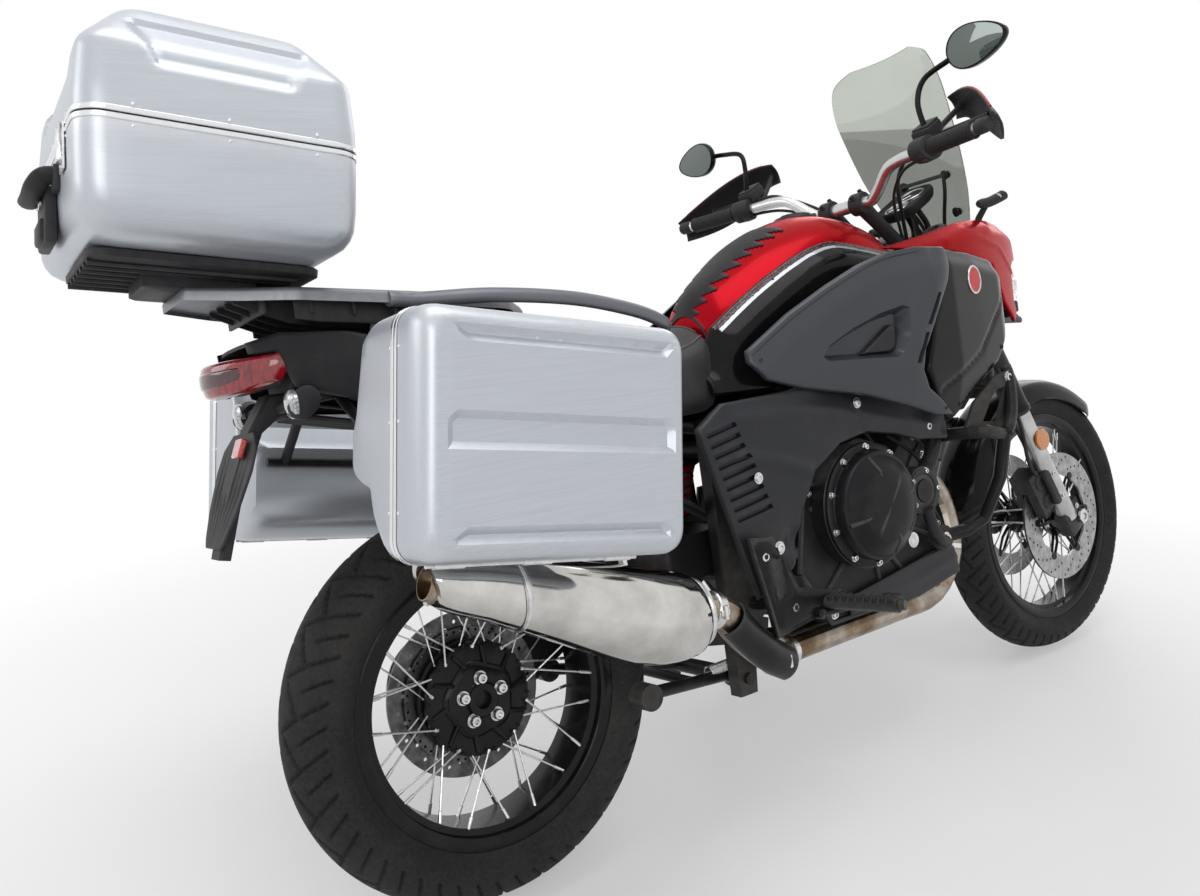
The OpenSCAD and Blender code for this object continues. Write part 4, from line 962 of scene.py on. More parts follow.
def make_rear_wheel():
    s = Shape()
    wheel_rim(s, 230, 52, 18)
    s.piece("rear_rim", finish("rim_black"), "rear_wheel", REAR_WHEEL, 40, ["rear_wheel"],
            "wheel_black")
    s = Shape()
    spoke_set(s, 88, -6, 199, -35, math.radians(20), 20)
    spoke_set(s, 88, 26, 199, 35, math.radians(20), 20, 0.25)
    for k in range(5):
        a = math.tau * k / 5 + 0.3
        c = polar(36, a, -17)
        s.lathe([(0, 10.5), (1.5, 11.5), (3, 11.5), (3, 8.6), (5, 9.0), (11, 8.8), (13, 7.4),
                 (13, 4.6), (9, 4.2), (9, 0.1)], c, (0, -1, 0), 24)
    s.piece("rear_spokes", finish("steel"), "rear_wheel", REAR_WHEEL, 35, slot="disc_steel")
    # Hub: flange plate with lightening pockets, nut plate and hollow axle
    s = Shape()
    pockets = lambda a, i: 1 - (0.035 if i in (3, 4) else 0.0) * (0.5 + 0.5 * math.cos(20 * a))
    s.lathe([(-6, 30), (-6, 84), (-4, 93), (-1, 95), (3, 95), (5, 90), (5, 62), (34, 60), (34, 30)],
            axis=(0, 1, 0), steps=80, bumps=pockets)
    s.lathe([(20, 60), (20, 90), (22, 95), (27, 95), (29, 92), (29, 60)], axis=(0, 1, 0), steps=80)
    for k in range(10):
        a = math.tau * k / 10
        s.tube([polar(40, a, -9), polar(58, a, -8.5), polar(86, a + 0.12, -6)], [5, 4.5, 4], 8)
    s.lathe([(-6, 14), (-8, 62), (-10, 60), (-12, 56), (-14, 56), (-16, 52), (-17, 30), (-20, 27),
             (-22, 26), (-22, 15), (-10, 14)],
            axis=(0, 1, 0), steps=60, bumps=lambda a,
            i: 1 + (0.05 * math.cos(5 * (a - 0.3)) if 1 <= i <= 5 else 0))
    for k in range(20):
        s.bolt(polar(90, math.tau * (k + 0.5) / 20, -5), (0, -1, 0), 3.2, 2.6, washer=False,
               sides=10)
    s.lathe([(34, 30), (34, 24), (112, 24), (112, 15)][::-1], axis=(0, 1, 0), steps=40)
    s.piece("rear_hub", finish("rim_black"), "rear_wheel", REAR_WHEEL, 38, slot="wheel_black")
    s = Shape()
    holes = [(122 - 9 * (k % 3), math.tau * k / 48 + 0.03 * (k % 3), 3.6) for k in range(48)]
    holes += [(82, math.tau * (k + 0.5) / 8, 14) for k in range(8)]
    drilled_disc(s, 138, 58, holes, 45, 50)
    s.lathe([(35, 32), (35, 60), (44, 64), (47, 70), (50.5, 70), (50.5, 32)], axis=(0, 1, 0),
            steps=60)
    # The rear disc takes the darker disc finish, which paints in shade
    s.piece("rear_disc_plate", finish("disc_steel_painted_shade"), "rear_wheel", REAR_WHEEL, 35, ["rear_disc"],
            "disc_steel")
    s = Shape()
    holes = [(107, math.tau * k / 50, 2.6) for k in range(50)]
    drilled_disc(s, 112, 96, holes, 38, 40)
    # The sensor ring takes the same darker disc finish, painted shade
    s.piece("rear_sensor_ring", finish("disc_steel_painted_shade"), "rear_wheel", REAR_WHEEL, 35,
            slot="disc_steel")
    s = Shape().tube([polar(212, 1.9, 8), polar(196, 1.9, 8), polar(176, 1.9, 8)], [6, 4, 3.6], 12)
    s.piece("rear_valve", finish("steel"), "rear_wheel", REAR_WHEEL, 35, slot="disc_steel")


def make_front_wheel():
    s = Shape()
    wheel_rim(s, 254, 36, 16)
    s.piece("front_rim", finish("rim_black"), "front_wheel", FRONT_WHEEL, 40, ["front_wheel"],
            "wheel_black")
    s = Shape()
    for side in (-1, 1):
        spoke_set(s, 41, side * 48, 223, side * 22, math.radians(24), 20, 0.25 * (side > 0))
    s.piece("front_spokes", finish("steel"), "front_wheel", FRONT_WHEEL, 35, slot="disc_steel")
    s = Shape()
    s.lathe([(-60, 13), (-60, 30), (-54, 32), (-52, 45), (-45, 46), (-43, 40), (-30, 27), (30, 27),
             (43, 40), (45, 46),
             (52, 45), (54, 32), (60, 30), (60, 13)], axis=(0, 1, 0), steps=60)
    for side in (-1, 1):
        for k in range(6):
            a = math.tau * k / 6
            for da in (-0.16, 0.16):
                s.tube([polar(36, a + da, side * 62), polar(66, a + da * 0.9, side * 69),
                        polar(104, a + da * 0.4, side * 71.5)],
                       [6, 5, 4.5], 8, flat=0.7)
            s.bolt(polar(36, a, side * 63), (0, side, 0), 5, 5, washer=False)
            s.lathe([(-4, 9), (4, 9), (4, 4)], polar(105, a, side * 72), (0, side, 0), 16)
    s.piece("front_hub", finish("rim_black"), "front_wheel", FRONT_WHEEL, 38, slot="wheel_black")
    s = Shape()
    for side in (-1, 1):
        y0, y1 = sorted((side * 69.5, side * 74.5))
        holes = [(146 - 9.5 * (k % 4), math.tau * k / 60, 3.2) for k in range(60)]
        drilled_disc(s, 155, 102, holes, y0, y1)
    s.piece("front_disc_plates", finish("disc_steel"), "front_wheel", FRONT_WHEEL, 35,
            ["front_discs"], "disc_steel")
    s = Shape()
    holes = [(47, math.tau * k / 40, 1.8) for k in range(40)]
    drilled_disc(s, 51, 38, holes, -57, -55)
    s.piece("front_sensor_ring", finish("steel"), "front_wheel", FRONT_WHEEL, 35, slot="disc_steel")


# ---- luggage ----


# Section of a rivet's head: (along, radius)
RIVET = [(-1, 2.3), (0.3, 2.3), (1.0, 1.7), (1.3, 0.5)]


def case_ring(l, h, r, depth):
    """Outline of a side case, at a distance from the middle of the motorcycle."""
    return [(p[0], depth, p[1]) for p in round_rect(l, h, r)]


def case_fields():
    """Sunk fields of a side case's outer face: outline, depth and width of the wall."""
    h = size("case_ribs") * 1000
    return [([(-157, 124), (-130, 104), (150, 104), (166, 120), (166, 124)], h, 9),
            ([(-156, -18), (-156, 16), (-144, 26), (154, 26), (164, 16), (164, -18)], h, 9),
            ([(-157, -124), (-130, -104), (146, -104), (164, -120), (164, -124)], h, 9)]


def side_case_lid(side, body):
    s = Shape()
    rings = [case_ring(374, 292, 26, 412.6), case_ring(378, 296, 28, 413.2), case_ring(378, 296, 28,
                                                                                       424),
             case_ring(377, 295, 28, 446), case_ring(374, 292, 28, 460), case_ring(367, 285, 27,
                                                                                   471),
             case_ring(356, 274, 26, 478.5), case_ring(341, 259, 24, 482.6)]
    s.loft(rings, caps=False)
    face = round_rect(341, 259, 24)
    s.relief(face, lambda x, z: 482.6 + 1.4 * ease(edge_distance(x, z, face) / 26), 0, 8, 0, 0,
             back=False, ring_gap=400, fields=case_fields())
    m = MIRROR if side < 0 else Matrix.Identity(4)
    s.moved(m)
    name = "right" if side < 0 else "left"
    s.piece(f"side_case_lid_{name}", [finish("case_aluminium")], body, SIDE_CASE, 28,
            [f"pannier_lid_{name}"], "case_aluminium",
            thick=2.4, weld=0.4)
    # Bright seam profile with rivets
    s = Shape()
    side_band(s, 413.5, 420.5, 425)
    s.moved(m)
    s.piece(f"side_case_seam_{name}", finish("case_trim"), body, SIDE_CASE, 30,
            slot="case_aluminium")


def rivet_places(l, h):
    """Places of rivets round a case: along, up, and the way each one faces."""
    out = []
    for t in (-0.34, 0.0, 0.34):
        out += [(t * l, h / 2, 0, 1), (t * l, -h / 2, 0, -1)]
    for t in (-0.3, 0.05, 0.34):
        out += [(l / 2, t * h, 1, 0), (-l / 2, t * h, -1, 0)]
    return out


def side_band(shape, low, high, rivets):
    """The bright profile round a side case from low to high, outward, and its row of rivets."""
    shape.loft([case_ring(379.6, 297.6, 28.8, low), case_ring(381, 299, 29, low + 1.2),
                case_ring(381, 299, 29, high - 1.2), case_ring(379.6, 297.6, 28.8, high)],
               caps=False)
    for x, z, way_x, way_z in rivet_places(378, 296):
        shape.lathe(RIVET, (x, rivets, z), (way_x, 0, way_z), 12)


def side_case_base(side):
    """Inner half of a side case; the right one is stepped to clear the silencer."""
    name = "right" if side < 0 else "left"
    hh = 148
    if side < 0:
        low = [(411.6, -1), (400, -1), (386, -0.995), (376, -0.96), (366, -0.90), (356, -0.83),
               (348, -0.76), (342, -0.66),
               (337, -0.56), (326, -0.49), (308, -0.445), (285, -0.41), (262, -0.385), (246, -0.36),
               (237, -0.33)]
    else:
        low = [(411.6, -1), (400, -1), (370, -1), (330, -1), (300, -0.995), (280, -0.98),
               (266, -0.95), (254, -0.89), (246, -0.83), (240, -0.74)]
    high = table([(411.6, 1), (330, 0.995), (318, 0.97), (306, 0.92), (300, 0.86), (295, 0.74),
                  (292, 0.6), (290, 0.4), (270, 0.27), (246, 0.14), (237, 0.06)])
    inset = table([(411.6, 0), (300, 2), (270, 5), (252, 12), (244, 20), (237, 32)])
    rings = []
    for y, f in low:
        z0, z1 = f * hh, high(y) * hh
        l = 378 - 2 * inset(y)
        h = z1 - z0
        r = min(28, h * 0.45)
        rings.append([(p[0], y, p[1] + (z0 + z1) / 2) for p in round_rect(l, h, r)])
    rings.insert(0, case_ring(374, 292, 26, 411.9))
    s = Shape()
    s.loft(rings, caps=False)
    n = len(rings[0])
    s.add(rings[-1], [list(range(n))])
    m = MIRROR if side < 0 else Matrix.Identity(4)
    s.moved(m)
    s.piece(f"side_case_shell_{name}", finish("case_aluminium"), "chassis", SIDE_CASE, 30,
            [f"pannier_base_{name}"],
            "case_aluminium", thick=2.4, weld=0.4)
    s = Shape()
    side_band(s, 403.5, 411.4, 399)
    s.moved(m)
    s.piece(f"side_case_band_{name}", finish("case_trim"), "chassis", SIDE_CASE, 30,
            slot="case_aluminium")
    # Catches on the top edge, hinge below
    s = Shape()
    for x in (-110, 110):
        s.block((x, 405, 151.5), (38, 9, 5), 1.6)
        s.tube([(x - 12, 402, 154), (x - 12, 409, 154.5), (x + 12, 409, 154.5), (x + 12, 402, 154)],
               1.4, 8)
    s.tube([(-150, 412, -151.5), (150, 412, -151.5)], 2.8, 12)
    for x in (-120, 0, 120):
        s.tube([(x - 20, 412, -151.5), (x + 20, 412, -151.5)], 4.2, 14)
    s.moved(m)
    s.piece(f"side_case_catches_{name}", finish("steel"), "chassis", SIDE_CASE, 30,
            slot="case_aluminium")
    s = Shape()
    s.tube(curve([(-52, 330, 148), (-50, 330, 156), (-38, 330, 160), (38, 330, 160), (50, 330, 156),
                  (52, 330, 148)], 4), 5.5, 12, flat=1.5)
    s.moved(m)
    s.piece(f"side_case_handle_{name}", finish("grained_black"), "chassis", SIDE_CASE, 35,
            slot="black_plastic")


def top_ring(l, w, r, z):
    """Outline of the top case at a height."""
    return [(p[0], p[1], z) for p in round_rect(l, w, r)]


def top_band(l, w, low, high, rivets):
    """The bright profile round the top case between two heights, and its row of rivets."""
    s = Shape()
    s.loft([top_ring(l + 1, w + 1, 34.5, low), top_ring(l + 3, w + 3, 35.5, low + 1.2),
            top_ring(l + 3, w + 3, 35.5, high - 1.2), top_ring(l + 1, w + 1, 34.5, high)],
           caps=False)
    for along in (-0.32, 0.0, 0.32):
        for side in (-1, 1):
            s.lathe(RIVET, (along * l, side * w / 2, rivets), (0, side, 0), 12)
            s.lathe(RIVET, (side * l / 2, along * w, rivets), (side, 0, 0), 12)
    return s


def make_top_case():
    l, w = 345, 430
    z0 = 138
    inset_at = table([(0.6, 2), (1.2, 0), (30, 0.5), (84, 5), (92, 6.5), (98, 9.5), (104, 14),
                      (146, 49), (152, 56), (157, 66), (160, 78)])
    heights = [0.6, 1.2, 4, 10, 20, 30, 40, 50, 58, 64, 68, 72, 76, 80, 84, 88, 92, 96, 100, 104,
               108, 112, 116, 120, 124, 128, 132, 136, 140, 146, 152, 157, 160]

    def pressed(t, up, half, lean):
        """0 to 1: the sunk field on a side, narrower towards its foot."""
        reach = half - 62 - 0.5 * max(0, 122 - up)
        return float(np.clip(min(reach - abs(t), up - 66, 132 - up) / lean, 0, 1))

    s = Shape()
    dense = []
    rib = size("case_ribs") * 1000
    for up in heights:
        d = float(inset_at(up))
        ring = []
        for x, y in round_rect(l - 2 * d, w - 2 * d, 34 if up < 150 else 30, 7, 44):
            if abs(y) > w / 2 - d - 1:
                y -= math.copysign(rib * pressed(x, up, l / 2, 8), y)
            elif abs(x) > l / 2 - d - 1:
                x -= math.copysign(rib * pressed(y, up, w / 2, 8), x)
            ring.append((x, y, z0 + up))
        dense.append(ring)
    s.loft(dense, caps=False)
    rim = [(p[0], p[1]) for p in dense[-1]]
    s.relief(rim, lambda x, y: z0 + 160 + 3.5 * ease(edge_distance(x, y, rim) / 26), 0, 10, 0, 0,
             back=False, axes="xyz", ring_gap=400,
             fields=[([(-78, -110), (-66, 110), (66, 110), (78, -110)], size("case_ribs") * 700,
                      8)])
    s.piece("top_case_lid_shell", finish("case_aluminium"), "top_case_lid", TOP_CASE, 28,
            ["top_case_lid"], "case_aluminium", thick=2.4, weld=0.4)
    s = top_band(l, w, z0 + 1.2, z0 + 8.2, z0 + 13)
    s.piece("top_case_lid_seam", finish("case_trim"), "top_case_lid", TOP_CASE, 30,
            slot="case_aluminium")
    # Base
    s = Shape()
    base = [(137.2, 2, 32), (136.6, 0, 34), (110, 0, 34), (60, 1, 34), (36, 3, 34), (24, 7, 34),
            (14, 14, 33), (7, 24, 32), (2.5, 36, 30), (0.6, 52, 26)]
    rings = [top_ring(l - 2 * d, w - 2 * d, r, z) for z, d, r in base]
    s.loft(rings, caps=False)
    s.add(rings[-1], [list(range(len(rings[-1])))])
    s.piece("top_case_shell", finish("case_aluminium"), "chassis", TOP_CASE, 30, ["top_case_base"],
            "case_aluminium", thick=2.4, weld=0.4)
    s = top_band(l, w, z0 - 8.2, z0 - 1, z0 - 13)
    s.piece("top_case_band", finish("case_trim"), "chassis", TOP_CASE, 30, slot="case_aluminium")
    # Rear handle, catches and lock
    s = Shape()
    back = -l / 2
    s.tube(curve([(back + 1, -62, 96), (back - 16, -60, 94), (back - 25, -46, 84), (back - 26, 0,
                                                                                    80),
                  (back - 25, 46, 84), (back - 16, 60, 94), (back + 1, 62, 96)], 5), 8.5, 14,
           flat=1.5)
    s.block((back - 7, 0, 52), (15, 84, 74), 4)
    s.block((back - 14, 0, 34), (12, 60, 30), 5)
    for y in (-62, 62):
        s.block((back - 3, y, 92), (10, 30, 34), 4)
    s.piece("top_case_handle", finish("grained_black"), "chassis", TOP_CASE, 35,
            slot="black_plastic")
    s = Shape()
    for y in (-120, 120):
        s.plate([(-17, -30), (17, -30), (17, 22), (12, 28), (-12, 28), (-17, 22)], 3,
                (back - 1, y, 116), (0, -1, 0), (0, 0, 1))
        s.tube([(back - 5, y - 11, 100), (back - 7, y - 11, 128), (back - 6, y - 9, 142),
                (back - 6, y + 9, 142), (back - 7, y + 11, 128), (back - 5, y + 11, 100)], 2.0, 8)
        s.block((back - 6, y, 106), (7, 24, 20), 2)
    s.lathe([(0, 9), (3, 9), (4, 7.5), (4, 2)], (back - 14, 0, 74), (-1, 0, 0), 24)
    s.piece("top_case_catches", finish("steel"), "chassis", TOP_CASE, 30, slot="case_aluminium")


def make_side_cases():
    side_case_lid(-1, "pannier_lid_right")
    side_case_lid(1, "pannier_lid_left")
    side_case_base(-1)
    side_case_base(1)


# ---- tank and bodywork ----


TANK = [(262, 112, 935, 1012), (200, 138, 955, 1058), (130, 150, 968, 1082), (60, 150, 970, 1090),
        (-10, 144, 958, 1077),
        (-88, 136, 930, 1046), (-157, 124, 890, 1003), (-225, 104, 830, 952), (-258, 70, 800, 905)]
RED_EDGE = [(-326, 806), (-290, 874), (-224, 916), (-156, 954), (-89, 986), (-37, 1005), (20, 1014),
            (107, 1000), (165, 988), (240, 985)]
PANEL = [(-330, 752), (-338, 800)] + RED_EDGE[1:] + [(250, 930), (150, 850), (-60, 765),
                                                     (-200, 748)]
PANEL_PLAN = table([(250, 176), (160, 184), (60, 180), (-80, 170), (-200, 158), (-300, 150),
                    (-345, 148)])


def tank_section(x, w, belt, top, n=22):
    """A section across the tank, from foot to foot over its crown."""
    foot = max(762 + (x + 100) * 0.395, 776)
    arc = [(x, w * math.cos(a), belt + (top - belt) * math.sin(a) ** 0.9) for a in
           (math.pi - math.pi * k / n for k in range(n + 1))]
    return [(x, -w + 26, foot), (x, -w + 3, foot + 30)] + arc + [(x, w - 3, foot + 30),
                                                                 (x, w - 26, foot)]


def panel_face(x, z):
    """Face of the black panel beside the tank; its upper edge turns in towards the red."""
    return PANEL_PLAN(x) - 30 * ease(1 - line_distance(x, z, RED_EDGE) / 46) ** 1.5


def strip(path, low, high):
    """The outline of a band along a path, between two distances under it."""
    path = curve([(x, z, 0) for x, z in path], 4)
    sides = []
    for d in (high, low):
        side = []
        for i, p in enumerate(path):
            t = (path[min(i + 1, len(path) - 1)] - path[max(i - 1, 0)]).normalized()
            side.append((p.x + t.y * d, p.y - t.x * d))
        sides.append(side)
    return sides[0] + sides[1][::-1]


def make_tank():
    sections = curve([(x, w, b) for x, w, b, _ in TANK], 5)
    tops = curve([(x, t, 0) for x, _, _, t in TANK], 5)
    rings = [tank_section(p.x, p.y, p.z, q.y) for p, q in zip(sections, tops)]
    s = Shape().loft([[(262 + 8, y * 0.8, 905 + (z - 905) * 0.86) for x, y, z in rings[0]]] + rings)
    s.piece("tank_shell", finish("red_paint"), "chassis", None, 50, ["fuel_tank"], "red_paint",
            level=1)
    s = Shape().relief(PANEL, panel_face, 4, 9, 5, 5).both_sides()
    s.piece("tank_side_panels", finish("gloss_black"), "chassis", None, 50, ["tank_panels"],
            "gloss_black")
    # Silver line under a speckled one that runs out into the red
    s = Shape().relief(strip(RED_EDGE[1:], 9, 15), lambda x, z: panel_face(x, z) + 0.9, 3, 7, 1.2,
                       0.9)
    s.both_sides().piece("tank_line", finish("silver_line"), "chassis", None, 50, slot="red_paint")
    s = Shape().relief(strip(RED_EDGE[1:], 1, 9), lambda x, z: panel_face(x, z) + 0.8, 3, 7, 1.2,
                       0.8)
    s.both_sides().piece("tank_speckle", finish("speckled_line"), "chassis", None, 50,
                         slot="red_paint")
    # Black pad down the tank's rear slope, with a row of teeth along each edge
    s = Shape()
    grid = []
    sections, tops = curve([(x, w, b) for x, w, b, _ in TANK], 12), curve([(x, t, 0) for x, _, _,
                                                                           t in TANK], 12)
    for p, q in zip(sections[:-46:-1], tops[:-46:-1]):
        grid.append([(x, y * 1.012, z + 2.0) for x, y, z in tank_section(p.x, p.y, p.z, q.y,
                                                                         120)[2:-2]])
    reach = lambda i: 50 - 16 * i if i < 2 else 12 + 8 * (i % 5) / 4 + 0.1 * i
    s.loft(grid, caps=False, closed=False, hole=lambda i, k: abs(k - 60) > reach(i))
    s.piece("tank_trim", finish("grained_black"), "chassis", None, 40, slot="black_plastic",
            thick=2.0)
    s = Shape()
    s.lathe([(-8, 46), (0, 46), (3, 44), (3.4, 40), (3, 35), (7, 33), (9, 31), (9, 20), (8, 19),
             (8, 0.1)], (85, 0, 1087), (0.06, 0, 1), 48,
            bumps=lambda a, i: 1 + (0.02 * math.cos(12 * a) if 5 <= i <= 6 else 0))
    for k in range(6):
        s.bolt((85 + 40 * math.cos(k * math.tau / 6), 40 * math.sin(k * math.tau / 6), 1090.5),
               (0.06, 0, 1), 3.4, 2.4, washer=False)
    s.piece("filler_cap", finish("cover_black"), "chassis", None, 35, slot="gloss_black")


FAIRING = [(-271, 822), (-176, 880), (-91, 922), (-24, 952), (31, 968), (109, 976), (186, 972),
           (190, 947), (176, 907), (133, 850),
           (121, 829), (92, 782), (84, 743), (98, 708), (120, 690), (161, 648), (116, 654),
           (34, 686), (-55, 716), (-172, 742),
           (-245, 766), (-274, 801)]
FAIRING_PLAN = table([(187, 284), (130, 286), (60, 274), (-24, 254), (-91, 232), (-176, 212),
                      (-280, 192)])
INTAKE = [(-128, 794), (-112, 812), (-60, 838), (-4, 858), (48, 868), (66, 862), (58, 820),
          (40, 782), (24, 774), (-60, 780), (-118, 784)]
UPPER_EDGE = [(-271, 822), (-176, 880), (-91, 922), (-24, 952), (31, 968), (109, 976), (186, 972)]
COWL = [(213, 973), (325, 965), (492, 941), (487, 863), (432, 779), (384, 735), (193, 639),
        (166, 652), (132, 690), (97, 743),
        (132, 828), (146, 850), (180, 905), (200, 947)]
COWL_PLAN = table([(500, 196), (420, 226), (325, 246), (213, 268), (90, 276)])
VENTS = [[(132, 884), (143, 884), (108, 826), (97, 826)], [(90, 812), (101, 812), (76, 757),
                                                           (65, 757)]]


def fairing_face(x, z):
    """Side fairing: crowned, with a raised band at its front."""
    y = FAIRING_PLAN(x) - 10 * ease(1 - line_distance(x, z, UPPER_EDGE) / 50)
    y = y - 12 * ease((770 - z) / 110)
    band = line_distance(x, z, [(78, 800), (108, 850), (150, 905), (172, 962)])
    y = y + 4.5 * ease(1 - band / 34)
    return y


def cowl_face(x, z):
    """Side cowl: its edges turn in, with a shallow line across it."""
    y = COWL_PLAN(x) - 16 * ease(1 - line_distance(x, z, [(213, 973), (325, 965), (492, 941)]) / 40)
    y = y - 22 * ease((760 - z) / 120) - 14 * ease((x - 430) / 70)
    return y - 4 * ease(1 - line_distance(x, z, [(150, 700), (300, 760), (420, 850),
                                                 (470, 900)]) / 6)


def make_fairings():
    fields = [(INTAKE, 27, 12)] + [(vent, 9, 2.4) for vent in VENTS]
    s = Shape().relief(FAIRING, fairing_face, 5, 7, 6, 6, fields=fields).both_sides()
    s.piece("fairing_panels", finish("fairing_grey"), "chassis", None, 48, ["side_fairings"],
            "grey_plastic")
    s = Shape().relief([(-44, 788), (-30, 794), (30, 836), (40, 832), (36, 796), (26, 786)],
                       lambda x, z: fairing_face(x, z) - 13, 12, 9, 4, 4)
    s.relief(strip(UPPER_EDGE[:-1], 9, 11.5), lambda x, z: fairing_face(x, z) + 0.9, 2, 8, 0.8, 0.7)
    s.both_sides().piece("fairing_inlays", finish("satin_cover"), "chassis", None, 48,
                         slot="grey_plastic")
    s = Shape().relief(COWL, cowl_face, 5, 7, 7, 7).both_sides()
    s.piece("cowl_panels", finish("gloss_black"), "chassis", None, 48, ["side_cowls"],
            "gloss_black")
    s = Shape()
    place, way = Vector((304, float(cowl_face(np.array([304.0]), np.array([906.0]))[0]) + 0.3,
                         906)), Vector((0.19, 1, 0))
    s.lathe([(-2, 29), (1.6, 29), (2.8, 28), (2.8, 26), (1.8, 25)], place, way, 56, tag=0)
    s.lathe([(1.0, 25.6), (1.9, 25), (1.9, 0.1)], place, way, 56, tag=1)
    s.both_sides().piece("cowl_rounds", [finish("steel"), finish("red_anodised")], "chassis", None,
                         35, slot="gloss_black")
    # Screws that hold the panels
    s = Shape()
    for x, z in ((-252, 802), (134, 664)):
        s.bolt((x, float(fairing_face(np.array([x]), np.array([z]))[0]) - 1, z), (0, 1, 0), 4, 2.2,
               washer=False)
    for x, z in ((214, 664), (400, 764)):
        s.bolt((x, float(cowl_face(np.array([x]), np.array([z]))[0]), z), (0.12, 1, 0), 5, 2.2,
               washer=False)
    s.both_sides().piece("panel_screws", finish("cover_black"), "chassis", None, 35,
                         slot="gloss_black")


NOSE_PLAN = smooth([(110, 206), (260, 206), (400, 192), (520, 162), (640, 118), (740, 68),
                    (800, 30), (841, 2)], 48)
NOSE_SIDE = [(122, 990), (261, 1014), (384, 1038), (537, 1053), (645, 1045), (720, 1004),
             (749, 962), (700, 958), (664, 940),
             (652, 868), (672, 838), (641, 815), (560, 862), (503, 945), (325, 972), (213, 980)]
NOSE_TOP = smooth([(520, 1052), (560, 1052), (645, 1043), (700, 1018), (720, 1003), (760, 964)], 16)
CREST = [(122, 990), (261, 1014), (384, 1038), (537, 1053)]


def nose_face(x, z):
    """Side of the nose: its upper edge turns in over the crest."""
    y = NOSE_PLAN(x) - 24 * ease(1 - line_distance(x, z, CREST) / 30) ** 1.4
    y = y - 26 * ease((z - 1005) / 48) * ease((x - 500) / 60)
    return y + 3 * ease(1 - line_distance(x, z, [(300, 990), (430, 1003), (560, 985),
                                                 (660, 930)]) / 9)


def make_nose():
    s = Shape().relief(NOSE_SIDE, nose_face, 4, 7, 5, 5).both_sides()
    # Crown over the lamp, from one side to the other
    rings = []
    for x in np.linspace(541, 746, 16):
        top, half = float(NOSE_TOP(x)), float(NOSE_PLAN(x)) - (26 if x < 700 else 12)
        rings.append([(x, half * t,
                       top + 3 * (1 - t * t) - 5 * abs(t) ** 3) for t in np.linspace(-1, 1, 25)]
                     + [(x, half * t, top - 5 - 5 * abs(t) ** 3) for t in np.linspace(1, -1, 25)])
    s.loft(rings)
    s.piece("nose_shell", finish("red_paint"), "chassis", None, 46, ["front_cowl"], "red_paint")
    # Beak under the lamp
    s = Shape()
    rings = []
    for x in np.linspace(652, 839, 16):
        t0 = (x - 652) / 187
        half = max(float(NOSE_PLAN(x)) - 6, 2)
        z = 838 - 14 * t0
        rings.append([(x, half * t,
                       z + 16 * (1 - t * t) * (1 - t0 * 0.6)) for t in np.linspace(-1, 1, 21)]
                     + [(x, half * t,
                         z - 8 + 2 * t0 - 4 * (1 - t * t)) for t in np.linspace(1, -1, 21)])
    s.loft(rings)
    s.piece("nose_beak", finish("grained_black"), "chassis", None, 46, slot="black_plastic")
    s = Shape()
    outline = [(-92, 950), (-60, 955), (0, 957), (60, 955), (92, 950), (99, 925), (94, 885),
               (72, 868), (0, 866), (-72, 868), (-94, 885), (-99, 925)]
    depth = lambda y, z: 752 - 0.0055 * y * y - (z - 866) * 0.36
    s.relief(outline, lambda y, z: depth(y, z) + 6, 3, 9, 6, 8, axes="yzx")
    s.piece("lamp_cover", finish("lamp_glass"), "chassis", None, 60, ["headlight"], "lamp_lens")
    s = Shape()
    for side in (-1, 1):
        s.lathe([(-30, 12), (-22, 26), (-8, 36), (0, 39), (2, 42), (-4, 43), (-34, 15)],
                (705, side * 46, 912), (1, 0, 0.05), 40)
        s.lathe([(-26, 8), (-8, 9), (-4, 6), (-3, 0.1)], (705, side * 46, 912), (1, 0, 0.05), 24)
    s.piece("lamp_bowls", finish("lamp_chrome"), "chassis", None, 40, slot="lamp_lens")
    s = Shape()
    s.relief([(y * 1.03, 911 + (z - 911) * 1.06) for y, z in outline], lambda y,
             z: depth(y, z) - 44, 4, 14, 0, 0, axes="yzx")
    s.block((690, 0, 911), (24, 12, 84), 4)
    s.block((672, 0, 852), (64, 176, 28), 5)
    s.piece("lamp_housing", finish("grained_black"), "chassis", None, 40, slot="black_plastic")


SCREEN = [(1051, 568, 96, 26), (1120, 552, 118, 36), (1200, 524, 136, 44), (1290, 492, 146, 48),
          (1350, 470, 148, 48),
          (1400, 450, 138, 42), (1425, 440, 120, 32), (1442, 433, 84, 16)]


